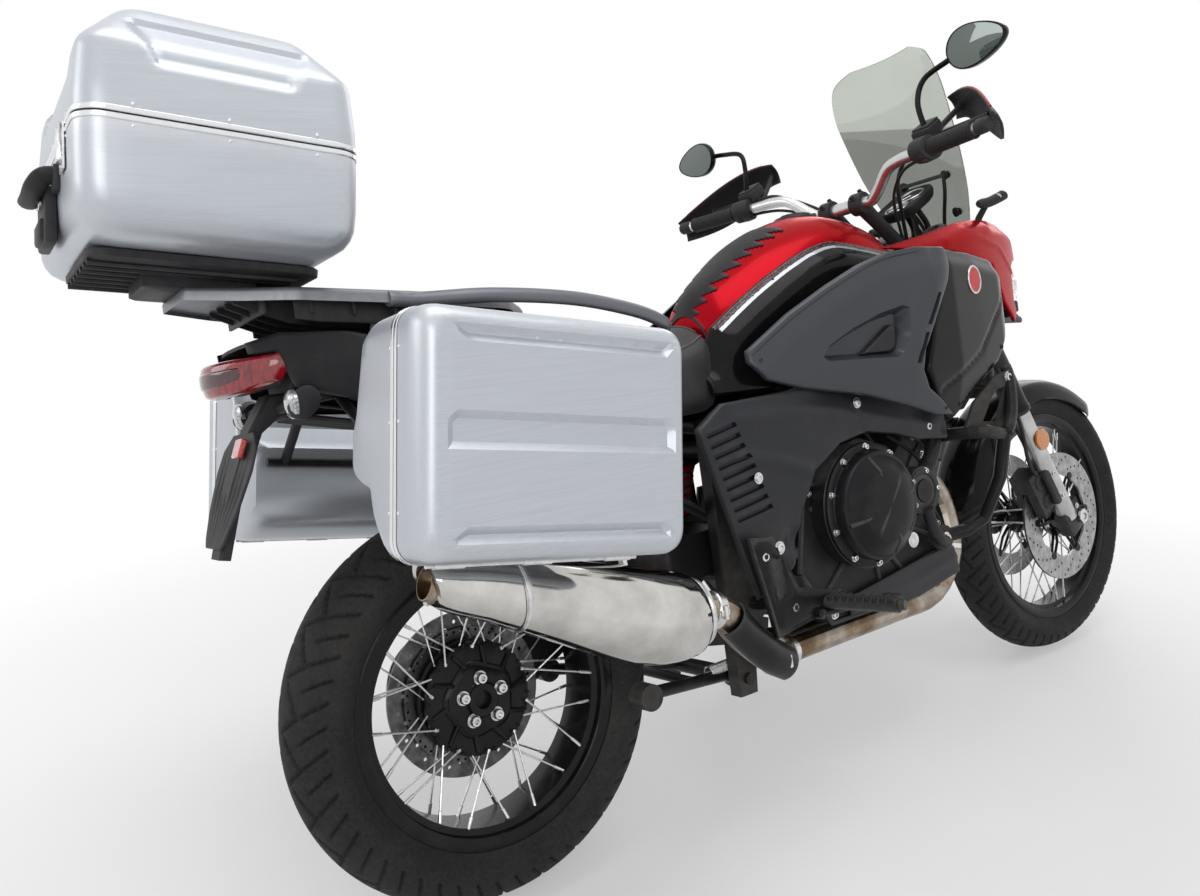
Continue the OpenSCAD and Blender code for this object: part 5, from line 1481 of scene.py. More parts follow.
def make_screen():
    a = curve([(z, x, w) for z, x, w, _ in SCREEN], 4)
    b = curve([(e, 0, 0) for *_, e in SCREEN], 4)
    rings = []
    for p, q in zip(a, b):
        ts = np.linspace(-1, 1, 33)
        sweep = lambda t, gap: (p.y - gap - q.x * t * t + 10 * max(0, abs(t) - 0.86), p.z * t, p.x)
        rings.append([sweep(t, 0) for t in ts] + [sweep(t * 0.995, 3.6) for t in ts[::-1]])
    s = Shape().loft(rings)
    s.piece("screen_sheet", finish("screen_smoke"), "chassis", None, 60, ["windscreen"],
            "screen_smoke")
    s = Shape()
    for side in (-1, 1):
        for y, z, x in ((62, 1085, 549), (60, 1170, 525)):
            s.bolt((x + 9, side * y, z), (1, side * 0.5, 0.25), 6, 4)
            s.lathe([(-9, 11), (-4, 11), (-4, 5)], (x + 4, side * y, z), (1, side * 0.5, 0.25), 20)
        s.tube(curve([(552, side * 18, 1020), (538, side * 34, 1080), (520, side * 56, 1130),
                      (516, side * 60, 1172)], 5), 7, 12, flat=0.6)
        s.tube([(590, side * 30, 1010), (590, side * 122, 1010)], 6.6, 12)
    s.tube([(516, -60, 1168), (516, 60, 1168)], 6, 12, flat=0.6)
    s.piece("screen_mounts", finish("grained_black"), "chassis", None, 38, slot="black_plastic")
    # Dials: a hooded case, two round dials and a small display
    way = Vector((-0.46, 0, 0.89))
    m = (Matrix.Translation((450, 0, 1113)) @ way.to_track_quat("Z", "Y").to_matrix().to_4x4()
         @ Matrix.Rotation(math.radians(90), 4, "Z"))
    case = Shape()
    case.loft([[(p[0], p[1], z) for p in round_rect(l, w, r)] for l, w, r, z in
               ((96, 70, 26, -18), (128, 96, 34, -10), (138, 104, 38, 2), (140, 106, 38, 12),
                (134, 100, 36, 16), (128, 94, 34, 14), (126, 92, 33, 9))])
    case.moved(m)
    case.piece("dial_case", finish("grained_black"), "chassis", None, 40, ["instrument_panel"],
               "black_plastic", level=1)
    rings = Shape()
    for x, r in ((-33, 27), (30, 31)):
        rings.lathe([(8, r), (12, r + 1), (13, r), (12, r - 2), (9.5, r - 3)], (x, 0, 0), (0, 0, 1),
                    40)
        for k in range(25):
            t = math.radians(225 - 270 * k / 24)
            d0, d1 = r - 4, r - (10 if k % 4 == 0 else 7)
            rings.tube([(x + d0 * math.cos(t), d0 * math.sin(t), 10), (x + d1 * math.cos(t),
                                                                       d1 * math.sin(t), 10)], 0.5,
                       4)
        rings.tube([(x, 0, 11), (x - r * 0.5, r * 0.5, 11)], 0.8, 6)
    rings.moved(m)
    rings.piece("dial_rings", finish("steel"), "chassis", None, 38, slot="bar_aluminium")
    glass = Shape().lathe([(9, 27), (9.6, 26), (9.8, 0.1)], (-33, 0, 0), (0, 0, 1),
                          40).lathe([(9, 31), (9.6, 30), (9.8, 0.1)], (30, 0, 0), (0, 0, 1), 40)
    glass.block((0, -30, 9), (34, 18, 3), 1).moved(m)
    glass.piece("dial_faces", finish("dial_glass"), "chassis", None, 38, slot="black_plastic")
    # Stay from the steering head to the dials and the nose
    s = Shape()
    for side in (-1, 1):
        s.tube(curve([(448, side * 20, 975), (480, side * 22, 1015), (492, side * 20, 1060),
                      (468, side * 18, 1096)], 5), 6.5, 12)
        s.tube(curve([(478, side * 22, 1012), (530, side * 24, 1008), (596, side * 26, 1010)], 5),
               6.5, 12)
    s.plate([(470, 996), (520, 1000), (596, 1003), (596, 1016), (520, 1030), (486, 1062),
             (474, 1092), (462, 1092), (470, 1040), (452, 1006)], 4, (0, 2, 0))
    s.piece("dial_stay", finish("frame_black"), "chassis", None, 38, slot="frame_black")


SEAT = [(-268, 62, 800, 880), (-300, 118, 735, 884), (-350, 142, 722, 868), (-420, 156, 728, 856),
        (-500, 164, 742, 852),
        (-560, 160, 756, 866), (-596, 150, 768, 910), (-660, 142, 782, 930), (-760, 132, 804, 934),
        (-850, 118, 826, 934),
        (-872, 96, 836, 926)]


def seat_ring(x, w, low, high, n=18, swell=0.0):
    """A section of the seat: flat sides, round shoulders and a crowned top."""
    pts = [(x, -w + 30, low), (x, -w + 6, low + 8), (x, -w, low + 30)]
    for k in range(n + 1):
        a = math.radians(168 - 156 * k / n)
        y = w * math.cos(a) / math.cos(math.radians(12))
        z = high - 46 + 46 * (math.sin(a) - math.sin(math.radians(12))) / (1 - math.sin(math.radians(12)))
        flat = 1 - abs(y / w) ** 2
        pts.append((x, y, z + swell * flat - 3 * math.exp(-((abs(y) - w * 0.80) / 6) ** 2)))
    return pts + [(x, w, low + 30), (x, w - 6, low + 8), (x, w - 30, low)]


def seat_part(first, last, ends):
    """The pad between two places along the seat, its ends drawn in, and its sections."""
    p = curve([(x, w, lo) for x, w, lo, _ in SEAT], 6)
    q = curve([(x, hi, 0) for x, *_, hi in SEAT], 6)
    rings = []
    swell = size("seat_swell") * 1000
    for a, b in zip(p, q):
        if last <= a.x <= first:
            rings.append(seat_ring(a.x, a.y, a.z, b.y, swell=swell))
    shrink = lambda ring, d, k: [(x + d, y * k, z - (z - 830) * (1 - k) * 0.6) for x, y, z in ring]
    rings = [shrink(rings[0], ends, 0.93), shrink(rings[0], ends * 0.5, 0.985)] + rings + \
            [shrink(rings[-1], -ends * 0.5, 0.985), shrink(rings[-1], -ends, 0.93)]
    s = Shape().loft(rings)
    n = len(rings[0])
    s.tags = [1 if 7 <= (i % n) <= n - 9 and i < (len(rings) - 1) * n else 0
              for i in range(len(s.faces))]
    return s, rings


def make_seat():
    seams = Shape()
    rider, rings = seat_part(-272, -572, 3)
    for k in (6, len(rings[0]) - 7):
        seams.tube([Vector(r[k]) + Vector((0, 0, 1.2)) for r in rings[2:-2]], 2.1, 8)
    for ring in (rings[6], rings[-8]):
        seams.tube([Vector(p) + Vector((0, 0, 0.6)) for p in ring[7:-7]], 1.5, 8)
    pad = rider.piece("rider_seat", [finish("seat_vinyl"), finish("seat_top")], "chassis", None, 60,
                      ["seat"], "seat_vinyl", level=1)
    pillion, rings = seat_part(-578, -868, 3)
    for k in (6, len(rings[0]) - 7):
        seams.tube([Vector(r[k]) + Vector((0, 0, 1.2)) for r in rings[2:-2]], 2.1, 8)
    seams.tube([Vector(p) + Vector((0, 0, 0.6)) for p in rings[9][7:-7]], 1.5, 8)
    pad = pillion.piece("pillion_seat", [finish("seat_vinyl"), finish("seat_top")], "chassis", None,
                        60, (), "seat_vinyl", level=1)
    seams.piece("seat_piping", finish("thread"), "chassis", None, 60, slot="seat_vinyl")


TAIL_PLAN = table([(-600, 152), (-760, 150), (-960, 146), (-1050, 118), (-1102, 92)])


def make_tail():
    outline = [(-700, 806), (-716, 852), (-800, 880), (-900, 902), (-976, 922), (-1060, 930),
               (-1100, 921), (-1098, 905), (-1066, 903),
               (-1050, 852), (-960, 818), (-800, 800)]
    s = Shape().relief(outline, lambda x, z: TAIL_PLAN(x) - 10 * ease((z - 880) / 50), 4, 8, 6,
                       7).both_sides()
    for k in range(3):
        s.relief(strip([(-770 - k * 3, 834 - k * 9), (-850, 848 - k * 9), (-940, 862 - k * 9)], 0,
                       4), lambda x, z: TAIL_PLAN(x) + 2 - 10 * ease((z - 880) / 50), 4, 9, 2, 2)
    rings = []
    for x, z in ((-884, 892), (-930, 905), (-976, 916), (-1040, 920), (-1095, 921)):
        half = float(TAIL_PLAN(x)) - 10
        rings.append([(x, half * t,
                       z + 2 - 6 * t ** 4) for t in np.linspace(-1, 1, 17)] + [(x, half * t,
                                                                                z - 3 - 6 * t ** 4)
                                                                               for t in np.linspace(1, -1, 17)])
    s.loft(rings)
    s.piece("tail_shell", finish("grained_black"), "chassis", None, 42, ["tail_cowl"],
            "black_plastic")
    # Tray over the wheel with pressed ribs
    s = Shape()
    spine = [(-560, 703), (-700, 734), (-880, 781), (-1032, 816)]
    s.loft([[(x, y, z - (4 if k > 16 else 0) + 2.5 * math.cos(y / 58 * math.pi * 5)) for k,
             y in enumerate(list(np.linspace(-58, 58, 17)) + list(np.linspace(58, -58, 17)))] for x,
            z in spine])
    s.plate([(-58, 812), (58, 812), (58, 912), (-58, 912)], 4, (-1034, 0, 0), (0, -1, 0), (0, 0, 1))
    s.piece("wheel_tray", finish("grained_black"), "chassis", None, 42, slot="black_plastic")
    # Tail light: red lens over a dark inner one
    lens = [(-104, 902), (104, 902), (108, 885), (96, 864), (60, 854), (0, 851), (-60, 854),
            (-96, 864), (-108, 885)]
    face = lambda y, z: 1146 - 0.0064 * y * y - 6 * ((z - 878) / 26) ** 2
    rearward = Matrix.Scale(-1, 4, (1, 0, 0))
    s = Shape().relief(lens, face, 12, 7, 6, 10, axes="yzx").moved(rearward)
    s.piece("tail_lens", finish("red_lens"), "chassis", None, 50, ["tail_light"], "red_lens")
    s = Shape().relief([(y * 0.72, 878 + (z - 878) * 0.5) for y, z in lens],
                       lambda y, z: face(y, z) + 1.5, 6, 7, 4, 4, axes="yzx").moved(rearward)
    s.piece("tail_lens_inner", finish("dark_lens"), "chassis", None, 50, slot="red_lens")
    s = Shape()
    s.loft([[(x, y, z + c) for y, z in round_rect(w, h, 18)] for x, w, h, c in
            ((-1062, 184, 44, 880), (-1076, 164, 48, 880), (-1090, 140, 46, 879), (-1098, 110, 40,
                                                                                   879))])
    s.piece("tail_housing", finish("grained_black"), "chassis", None, 42, slot="black_plastic")
    # Plate holder with its reflector, and the indicators
    s = Shape()
    arm = [(-1040, 850), (-1064, 850), (-1100, 800), (-1134, 730), (-1167, 628), (-1151, 624),
           (-1118, 720), (-1080, 796), (-1040, 824)]
    s.plate(arm, 52, (0, 26, 0), bevel=4)
    u, v = Vector((0, 1, 0)), Vector((-0.40, 0, -0.915)).normalized()
    blade = [(-52, 2), (52, 2), (84, 26), (90, 60), (74, 120), (52, 160), (40, 172), (-40, 172),
             (-52, 160), (-74, 120), (-90, 60), (-84, 26)]
    s.plate(blade, 4, (-1096, 0, 800), u, v, bevel=1.4)
    for k in range(-3, 4):
        s.tube([Vector((-1097, k * 21, 800)) + v * 12, Vector((-1097, k * 20, 800)) + v * 90,
                Vector((-1097, k * 11, 800)) + v * 164], [3, 5, 3], 8)
    s.tube([(-1052, -112, 828), (-1052, 112, 828)], 8, 16)
    s.piece("plate_arm", finish("grained_black"), "chassis", None, 40, ["plate_holder"],
            "black_plastic")
    s = Shape()
    s.plate([(-50, 8), (-18, 8), (-16, 10), (-16, 34), (-18, 36), (-50, 36), (-52, 34), (-52, 10)],
            8, Vector((-1106, 0, 797)), u, v, bevel=1.6)
    s.piece("plate_reflector", finish("reflector_red"), "chassis", None, 40, slot="red_lens")
    s = Shape()
    for side in (-1, 1):
        s.lathe([(0, 17), (6, 18), (26, 22.5), (31, 22), (33, 19)], (-1052, side * 112.5, 828),
                (0, side, 0), 32, bumps=lambda a, i: 1 + 0.14 * math.cos(2 * a))
        s.tube(curve([(500, side * 150, 1080), (530, side * 156, 1083), (566, side * 159, 1093),
                      (584, side * 160, 1099)], 4), [8, 11] + [12.5] * 10 + [8], 16, flat=0.8)
        s.tube([(522, side * 122, 1036), (523, side * 134, 1056), (526, side * 148, 1074),
                (528, side * 156, 1084)], [11, 10, 9, 9], 16, flat=0.7)
    s.piece("indicator_shells", finish("grained_black"), "chassis", None, 42, ["turn_signals"],
            "black_plastic")
    s = Shape()
    for side in (-1, 1):
        s.lathe([(-3, 20), (2, 20), (7, 15), (8.5, 8), (9, 0.1)], (-1066, side * 132, 828),
                (-1, 0, 0), 32)
        s.tube([(524, side * 158, 1080), (560, side * 160, 1092), (586, side * 161, 1100)],
               [8, 11, 8], 14, flat=0.8)
    s.piece("indicator_lenses", finish("clear_lens"), "chassis", None, 42, slot="signal_lens")


def make_carrier():
    plan = table([(-640, 60), (-700, 112), (-860, 138), (-1035, 122), (-1172, 62)])
    level = table([(-640, 942), (-690, 955), (-860, 970), (-1100, 996), (-1168, 1006)])
    s = Shape()
    rim = [(x, float(plan(x))) for x in np.linspace(-644, -1168, 24)]
    outline = rim + [(x, -y) for x, y in rim[::-1]]
    slots = [[(-760, 30), (-760, 70), (-960, 84), (-960, 30)], [(-760, -30), (-760, -70),
                                                                (-960, -84), (-960, -30)],
             [(-700, -22), (-700, 22), (-730, 30), (-730, -30)]]

    def top(x, y):
        z = level(x)
        for slot in slots:
            z = z - 9 * ease((edge_distance(x, y, slot) + 2) / 6)
        return z

    s.relief(outline, top, 12, 8, 6, 7, axes="xyz")
    for side in (-1, 1):
        rail = curve([(-905, side * 130, 962), (-850, side * 128, 958), (-740, side * 146, 955),
                      (-600, side * 152, 940), (-480, side * 146, 914), (-418, side * 138, 892),
                      (-404, side * 126, 884)], 6)
        s.tube(rail, 13, 18, flat=0.82)
        s.tube([(-905, side * 72, 838), (-905, side * 72, 935)], 9, 16)
    s.piece("carrier_plate", finish("carrier_grey"), "chassis", None, 42, ["rear_carrier"],
            "carrier_grey")
    s = Shape()
    for x, y in ((-700, 60), (-700, -60), (-1000, 90), (-1000, -90), (-1120, 50), (-1120, -50),
                 (-860, 100), (-860, -100)):
        s.bolt((x, y, float(level(x))), (0.14, 0, 1), 6, 4)
    s.piece("carrier_bolts", finish("steel"), "chassis", None, 38, slot="carrier_grey")
    s = Shape()
    s.loft([top_ring(l, w, r, z) for l, w, r, z in ((280, 216, 20, -14), (296, 234, 26, -11),
                                                    (297, 236, 26, -2), (292, 232, 24, -0.3))])
    s.loft([top_ring(l, w, r, z) for l, w, r, z in ((140, 110, 10, -36), (150, 120, 14, -34),
                                                    (150, 120, 14, -12))])
    for y in range(-90, 91, 30):
        s.tube([(-146, y, -16), (120, y, -16)], 4, 8)
    s.piece("case_plate", finish("grained_black"), "chassis", TOP_CASE, 40, slot="black_plastic")
    # Black ribs under the carrier
    s = Shape()
    for y in (-104, -64, -22, 22, 64, 104):
        spine = [x for x in np.linspace(-716, -1104, 12) if abs(y) < plan(x) - 8]
        under = lambda x: 4 + 30 * ease((x + 1130) / 120) * ease((-700 - x) / 70)
        s.plate([(x, float(level(x)) - 10) for x in spine]
                + [(x, float(level(x)) - 12 - float(under(x))) for x in spine[::-1]],
                5, (0, y + 2.5, 0), bevel=1)
    for x in (-770, -830, -890, -950, -1010, -1070):
        s.block((x, 0, float(level(x)) - 24), (5, 2 * float(plan(x)) - 30, 22), 1)
    s.piece("carrier_ribs", finish("grained_black"), "chassis", None, 40, slot="black_plastic")


# ---- frame, engine and running gear ----


def make_frame():
    for node in ("main_frame", "rear_subframe"):
        wear(node, "frame_black")
    outline = [(-346, 738), (-200, 742), (-130, 752), (0, 752), (100, 722), (160, 700), (206, 662),
               (212, 598), (120, 608), (58, 628),
               (-20, 642), (-92, 630), (-160, 590), (-206, 524), (-240, 430), (-329, 390),
               (-351, 466), (-410, 700)]
    plan = table([(240, 214), (100, 214), (-100, 206), (-300, 196), (-420, 184)])

    def face(x, z):
        y = plan(x) - 8 * ease((z - 690) / 40)
        y = y - 12 * ease(1 - np.hypot(x + 235, z - 480) / 34)
        y = y + 5 * ease(1 - line_distance(x, z, [(-330, 710), (-160, 700), (60, 656),
                                                  (180, 620)]) / 22)
        y = y + 6 * ease(1 - line_distance(x, z, [(-330, 640), (-250, 622), (-180, 596)]) / 20)
        return y - 3 * ease(1 - line_distance(x, z, [(-84, 745), (-52, 700), (-34, 644)]) / 3.5)

    louvres = [([(-396 + 5 * k, 690 - 19 * k), (-334 + 7 * k, 704 - 19 * k), (-330 + 7 * k,
                                                                              696 - 19 * k),
                 (-393 + 5 * k, 682 - 19 * k)], 8, 1.8)
               for k in range(9)]
    s = Shape().relief(outline, face, 4, 8, 6, 7, fields=louvres).both_sides()
    s.piece("frame_cover_panels", finish("satin_cover"), "chassis", None, 46, ["frame_covers"],
            "grey_plastic")
    s = Shape()
    s.lathe([(-30, 21), (0, 21), (2, 19), (2, 14), (-3, 13), (-3, 0.1)], (-235, 136, 480),
            (0, 1, 0), 40)
    s.hexagon((-235, 132, 480), (0, 1, 0), 11, 12)
    s.lathe([(-70, 10), (-3, 10), (0, 13), (3, 13), (4, 11), (2, 6)], (-254, 193, 586), (0, 1, 0),
            28)
    for x, z in ((-300, 470), (-40, 700), (-300, 600), (150, 630)):
        s.bolt((x, float(plan(x)) + 1, z), (0, 1, 0), 7, 4)
    for x, z in ((-178, 440), (-60, 690), (250, 860), (330, 900), (-320, 660)):
        s.bolt((x, float(np.interp(x, [-400, 0, 150, 300, 420], [125, 125, 118, 92, 46])), z),
               (0, 1, 0), 8, 5)
    s.both_sides().piece("frame_bolts", finish("steel"), "chassis", None, 38, slot="bar_aluminium")


def cover_bolts(shape, at, radius, count, out=1, start=0.0, head=5.0, height=5):
    """A circle of bolts on a cover."""
    for k in range(count):
        a = math.tau * k / count + start
        shape.bolt((at[0] + radius * math.cos(a), at[1], at[2] + radius * math.sin(a)), (0, out, 0),
                   head, height)


def make_engine():
    wear("engine", "engine_cast")
    wear("belly_pan", "grained_black")
    s, bright = Shape(), Shape()
    # Clutch cover: flange, dome, bevel rings and four ribs on the right
    at = (-20, 0, 503)
    s.lathe([(-186, 121), (-188, 119), (-194, 119), (-196, 116), (-197, 107), (-199, 105),
             (-218, 102), (-221, 100), (-222, 95), (-224, 92),
             (-239, 72), (-241, 68), (-243.5, 40), (-244, 0.1)], at, (0, 1, 0), 96)
    for k in range(4):
        a = math.tau * k / 4 + 0.25
        s.tube([polar(46, a, -240) + Vector(at), polar(68, a, -240) + Vector(at),
                polar(96, a, -221) + Vector(at)], [1, 3.5, 4.5], 8)
    # Pump cover with its rings and pipe
    s.lathe([(-120, 49), (-196, 49), (-204, 45), (-207, 44), (-207, 34), (-204, 32), (-204, 24),
             (-208, 22), (-208, 0.1)], (125, 0, 505), (0, 1, 0), 64)
    s.tube(curve([(150, -190, 540), (176, -192, 566), (206, -180, 600), (236, -150, 640)], 5), 16,
           16)
    # Left: alternator cover and gear case
    s.lathe([(140, 107), (197, 106), (201, 102), (214, 78), (216.5, 72), (216.5, 40), (214, 38),
             (214, 0.1)], (-10, 0, 480), (0, 1, 0), 80)
    for k in range(5):
        a = math.tau * k / 5 + 0.2
        s.tube([polar(40, a, 215) + Vector((-10, 0, 480)),
                polar(74, a, 214) + Vector((-10, 0, 480)),
                polar(100, a, 201) + Vector((-10, 0, 480))], [4, 5, 5], 8)
    s.lathe([(140, 48), (177, 48), (180, 44), (180, 0.1)], (-120, 0, 400), (0, 1, 0), 48)
    # Crankcase sides: raised flange line and webs
    case = [(-186, 402), (-150, 558), (60, 564), (172, 519), (233, 420), (233, 341), (150, 294),
            (-120, 294)]
    for side in (-1, 1):
        s.tube([(x, side * 150, z) for x, z in case + case[:1]], 6, 8, caps=False)
        for a, b in (((-150, 330), (-70, 400)), ((120, 320), (60, 392)), ((200, 400), (110, 440)),
                     ((-140, 520), (-100, 470)), ((30, 300), (20, 380))):
            s.tube([(a[0], side * 150, a[1]), (b[0], side * 152, b[1])], 5, 8)
    # Cylinder banks: fins and head covers
    fins = 8
    for base, top, half, wide in ((Vector((-80, 0, 585)), Vector((-42, 0, 705)), 86, 78),
                                  (Vector((170, 0, 520)), Vector((268, 0, 600)), 118, 66)):
        way = (top - base).normalized()
        across = Vector((way.z, 0, -way.x))
        for k in range(fins):
            c = base + way * (k * (top - base).length / fins)
            for side in (-1, 1):
                s.block(c + Vector((0, side * (half + 1), 0)), (2 * wide - 6 * (k % 2), 9, 5), 1.4,
                        Matrix.Rotation(-math.atan2(-across.z, across.x), 3, "Y"))
    for side in (-1, 1):
        # Front head cover
        s.plate([(205, 612), (242, 660), (332, 592), (296, 540)], 8,
                (0, side * 118 + (8 if side > 0 else 0), 0), bevel=2)
        cover_bolts(bright, (250, side * 126, 600), 40, 5, side, 0.5, 5.5)
        s.plate([(-140, 660), (-146, 700), (-22, 744), (50, 706), (40, 668)], 8,
                (0, side * 86 + (8 if side > 0 else 0), 0), bevel=2)
        for x, z in ((-132, 682), (-70, 716), (-14, 732), (34, 700), (-60, 668)):
            bright.bolt((x, side * 94, z), (0, side, 0), 5.5, 5)
        for x, z in case[1:]:
            bright.bolt((x * 0.94, side * 152, 430 + (z - 430) * 0.9), (0, side, 0), 6, 6)
    s.piece("engine_covers", finish("cover_black"), "chassis", None, 36, slot="engine_grey")
    cover_bolts(bright, (-20, -196, 503), 111, 10, -1, 0.3, 5.2, 6)
    cover_bolts(bright, (125, -205, 505), 40, 5, -1, 0, 4.6)
    cover_bolts(bright, (-10, 202, 480), 98, 9, 1, 0, 5.2, 6)
    cover_bolts(bright, (-120, 178, 400), 38, 5, 1, 0, 4.6)
    bright.lathe([(0, 15), (4, 15), (6, 12), (6, 4)], (60, -214, 420), (0, -1, 0), 24)
    bright.piece("engine_bolts", finish("steel"), "chassis", None, 38, slot="bar_aluminium")
    # Hoses and wires
    s = Shape()
    for side in (-1, 1):
        s.tube(curve([(236, side * 150, 640), (262, side * 170, 700), (290, side * 190, 760),
                      (300, side * 200, 800)], 5), 15, 14)
        s.tube(curve([(-150, side * 96, 640), (-176, side * 120, 690), (-150, side * 128, 735),
                      (-80, side * 130, 760)], 5), 9, 12)
        s.tube(curve([(-200, side * 112, 380), (-214, side * 134, 440), (-196, side * 140, 540),
                      (-160, side * 130, 640)], 6), 5, 10)
        s.tube(curve([(110, side * 120, 575), (60, side * 124, 640), (-10, side * 118, 690),
                      (-90, side * 110, 660)], 6), 6, 10)
        s.tube(curve([(180, side * 140, 430), (214, side * 150, 480), (190, side * 150, 560),
                      (120, side * 134, 620)], 6), 4, 8)
    s.tube(curve([(125, -208, 470), (140, -204, 430), (190, -186, 392), (262, -150, 392)], 6), 12,
           14)
    s.piece("engine_hoses", finish("hose_rubber"), "chassis", None, 60, slot="black_plastic")
    s = Shape()
    for side in (-1, 1):
        for p, q in (((268, 174, 715), (274, 178, 727)), ((296, 196, 782), (300, 199, 792)),
                     ((-166, 114, 668), (-172, 118, 680)), ((-120, 129, 748), (-108, 130, 752))):
            s.tube([(p[0], side * p[1], p[2]), (q[0], side * q[1], q[2])], 17 if p[0] > 0 else 10.5,
                   16)
    s.piece("hose_clamps", finish("steel"), "chassis", None, 38, slot="bar_aluminium")
    # Radiators in front of the engine behind the cowls
    s = Shape()
    for side in (-1, 1):
        m = Matrix.Translation((352, side * 150, 770)) @ Matrix.Rotation(math.radians(-18 * side),
                                                                         4, "Z")
        core = Shape().block((0, 0, 0), (26, 130, 190), 3).moved(m)
        s.add(core.points, core.faces)
    s.piece("radiators", finish("radiator"), "chassis", None, 38, slot="black_plastic")
    s = Shape()
    for side in (-1, 1):
        m = Matrix.Translation((352, side * 150, 770)) @ Matrix.Rotation(math.radians(-18 * side),
                                                                         4, "Z")
        frame_part = Shape()
        for z in (-98, 98):
            frame_part.block((0, 0, z), (32, 140, 16), 5)
        for y in (-68, 68):
            frame_part.block((0, y, 0), (32, 8, 196), 3)
        frame_part.moved(m)
        s.add(frame_part.points, frame_part.faces)
        s.plate([(234, 642), (300, 648), (404, 728), (396, 780), (236, 780)], 4, (0, side * 192 + 2,
                                                                                  0), bevel=1)
    s.piece("radiator_tanks", finish("grained_black"), "chassis", None, 40, slot="black_plastic")
    # Belly pan ribs and the black plates beside the crankcase
    s = Shape()
    s.relief([(-80, 334), (60, 352), (200, 372), (252, 368), (262, 311), (119, 290), (-80, 300)],
             lambda x, z: 165 + 4 * ease(1 - line_distance(x, z, [(-70, 318), (120, 325),
                                                                  (250, 345)]) / 12), 4, 9, 5, 4)
    s.plate([(-150, 560), (-70, 610), (30, 628), (110, 600), (150, 560), (100, 552), (0, 574),
             (-90, 560)], 5, (0, 140, 0), bevel=1.5)
    s.both_sides().piece("engine_side_plates", finish("satin_cover"), "chassis", None, 42,
                         slot="black_plastic")


SILENCER = [(-972, -268, 570, 40, 36), (-900, -268, 550, 49, 49), (-800, -266, 509, 59, 61),
            (-700, -263, 467, 66, 73),
            (-620, -258, 440, 68, 76), (-545, -248, 423, 60, 68), (-512, -240, 419, 46, 48),
            (-498, -236, 418, 34, 34)]


def make_exhaust():
    wear("exhaust_pipes", "header_steel")
    a = curve([(x, y, z) for x, y, z, _, _ in SILENCER], 6)
    b = curve([(w, h, 0) for *_, w, h in SILENCER], 6)

    def oval(i, grow=1.0, slant=0.0, n=56):
        c, r = a[i], b[i]
        return [(c.x - slant * math.sin(math.tau * k / n),
                 c.y + r.x * grow * math.cos(math.tau * k / n),
                 c.z + r.y * grow * math.sin(math.tau * k / n)) for k in range(n)]

    rings = []
    for i in range(1, len(a)):
        p = a[i].x
        grow = 1.0
        if -905 < p < -894 or -560 < p < -548:
            grow = 0.982
        rings.append(oval(i, grow))
    s = Shape().loft([oval(2, 0.62, -24), oval(1, 0.66, 4), oval(0, 0.70, 4), oval(0, 0.92, 6),
                      oval(1, 1.0, 6)] + rings[2:])
    s.piece("silencer_shell", finish("chrome"), "chassis", None, 44, ["silencer"],
            "silencer_chrome")
    s = Shape()
    at, way = Vector((-962, -268, 566)), Vector((-0.94, 0, 0.34)).normalized()
    s.lathe([(-60, 22), (-60, 24), (10, 24), (14, 23), (14, 21.5), (8, 21), (-60, 21)], at, way, 40)
    s.piece("silencer_outlet", finish("header_steel"), "chassis", None, 40, slot="silencer_chrome")
    s = Shape()
    for i, grow in ((9, 1.012), (34, 1.015)):
        for d in (-5, 5):
            ring = [Vector(p) + Vector((d * 0.2, 0, 0)) for p in oval(i, grow)]
            s.tube(ring + ring[:1], 1.6, 6, caps=False)
        s.loft([[Vector(p) + Vector((d, 0, 0)) for p in oval(i, grow)] for d in (-6, 6)],
               caps=False)
    s.tube([(-640, -88, 722), (-640, -236, 722)], 7, 14)
    s.tube([(-640, -229, 724), (-642, -238, 620), (-640, -243, 508)], 7, 14)
    s.bolt((-640, -240, 722), (0, -1, 0), 9, 6)
    s.piece("silencer_straps", finish("steel"), "chassis", None, 40, slot="header_steel")
    # Clamps on the pipes
    s = Shape()
    for p, q, r in (((-466, -234.5, 408), (-484, -235.6, 415), 31), ((-292, -176, 272),
                                                                     (-306, -183, 280), 31),
                    ((-190, -34, 250), (-176, -34, 250.4), 27),
                    ((-190, -92, 250), (-176, -92, 250.4), 27), ((328, -28, 344), (331, -28, 356),
                                                                 27), ((328, -90, 344),
                                                                       (331, -90, 356), 27)):
        s.tube([p, Vector(p).lerp(q, 0.1), Vector(p).lerp(q, 0.9), q], [r - 2, r, r, r - 2], 28)
    for x, y, z in ((-474, -268, 410), (-298, -212, 276)):
        s.tube([(x, y, z - 10), (x, y, z + 12)], 4.5, 10)
        s.block((x, y + 4, z), (18, 8, 10), 1.5)
    s.piece("pipe_clamps", finish("steel"), "chassis", None, 40, slot="header_steel")
    # Heel shield over the link pipe; its perforation is not drawn
    s = Shape()
    path = curve([(-286, -176, 268), (-340, -194, 300), (-400, -212, 350), (-446, -231, 394)], 6)
    rings = []
    for i, p in enumerate(path):
        along = (path[min(i + 1, len(path) - 1)] - path[max(i - 1, 0)]).normalized()
        u = Vector((0, -1, 0))
        u = (u - along * u.dot(along)).normalized()
        v = along.cross(u)
        rings.append([p + r * (math.cos(t) * u + math.sin(t) * v) for r in (34.5, 32.5)
                      for t in (np.linspace(-1.15, 1.15, 15) if r > 33
                                else np.linspace(1.15, -1.15, 15))])
    s.loft(rings)
    s.piece("pipe_shield", finish("cover_black"), "chassis", None, 40, slot="header_steel")


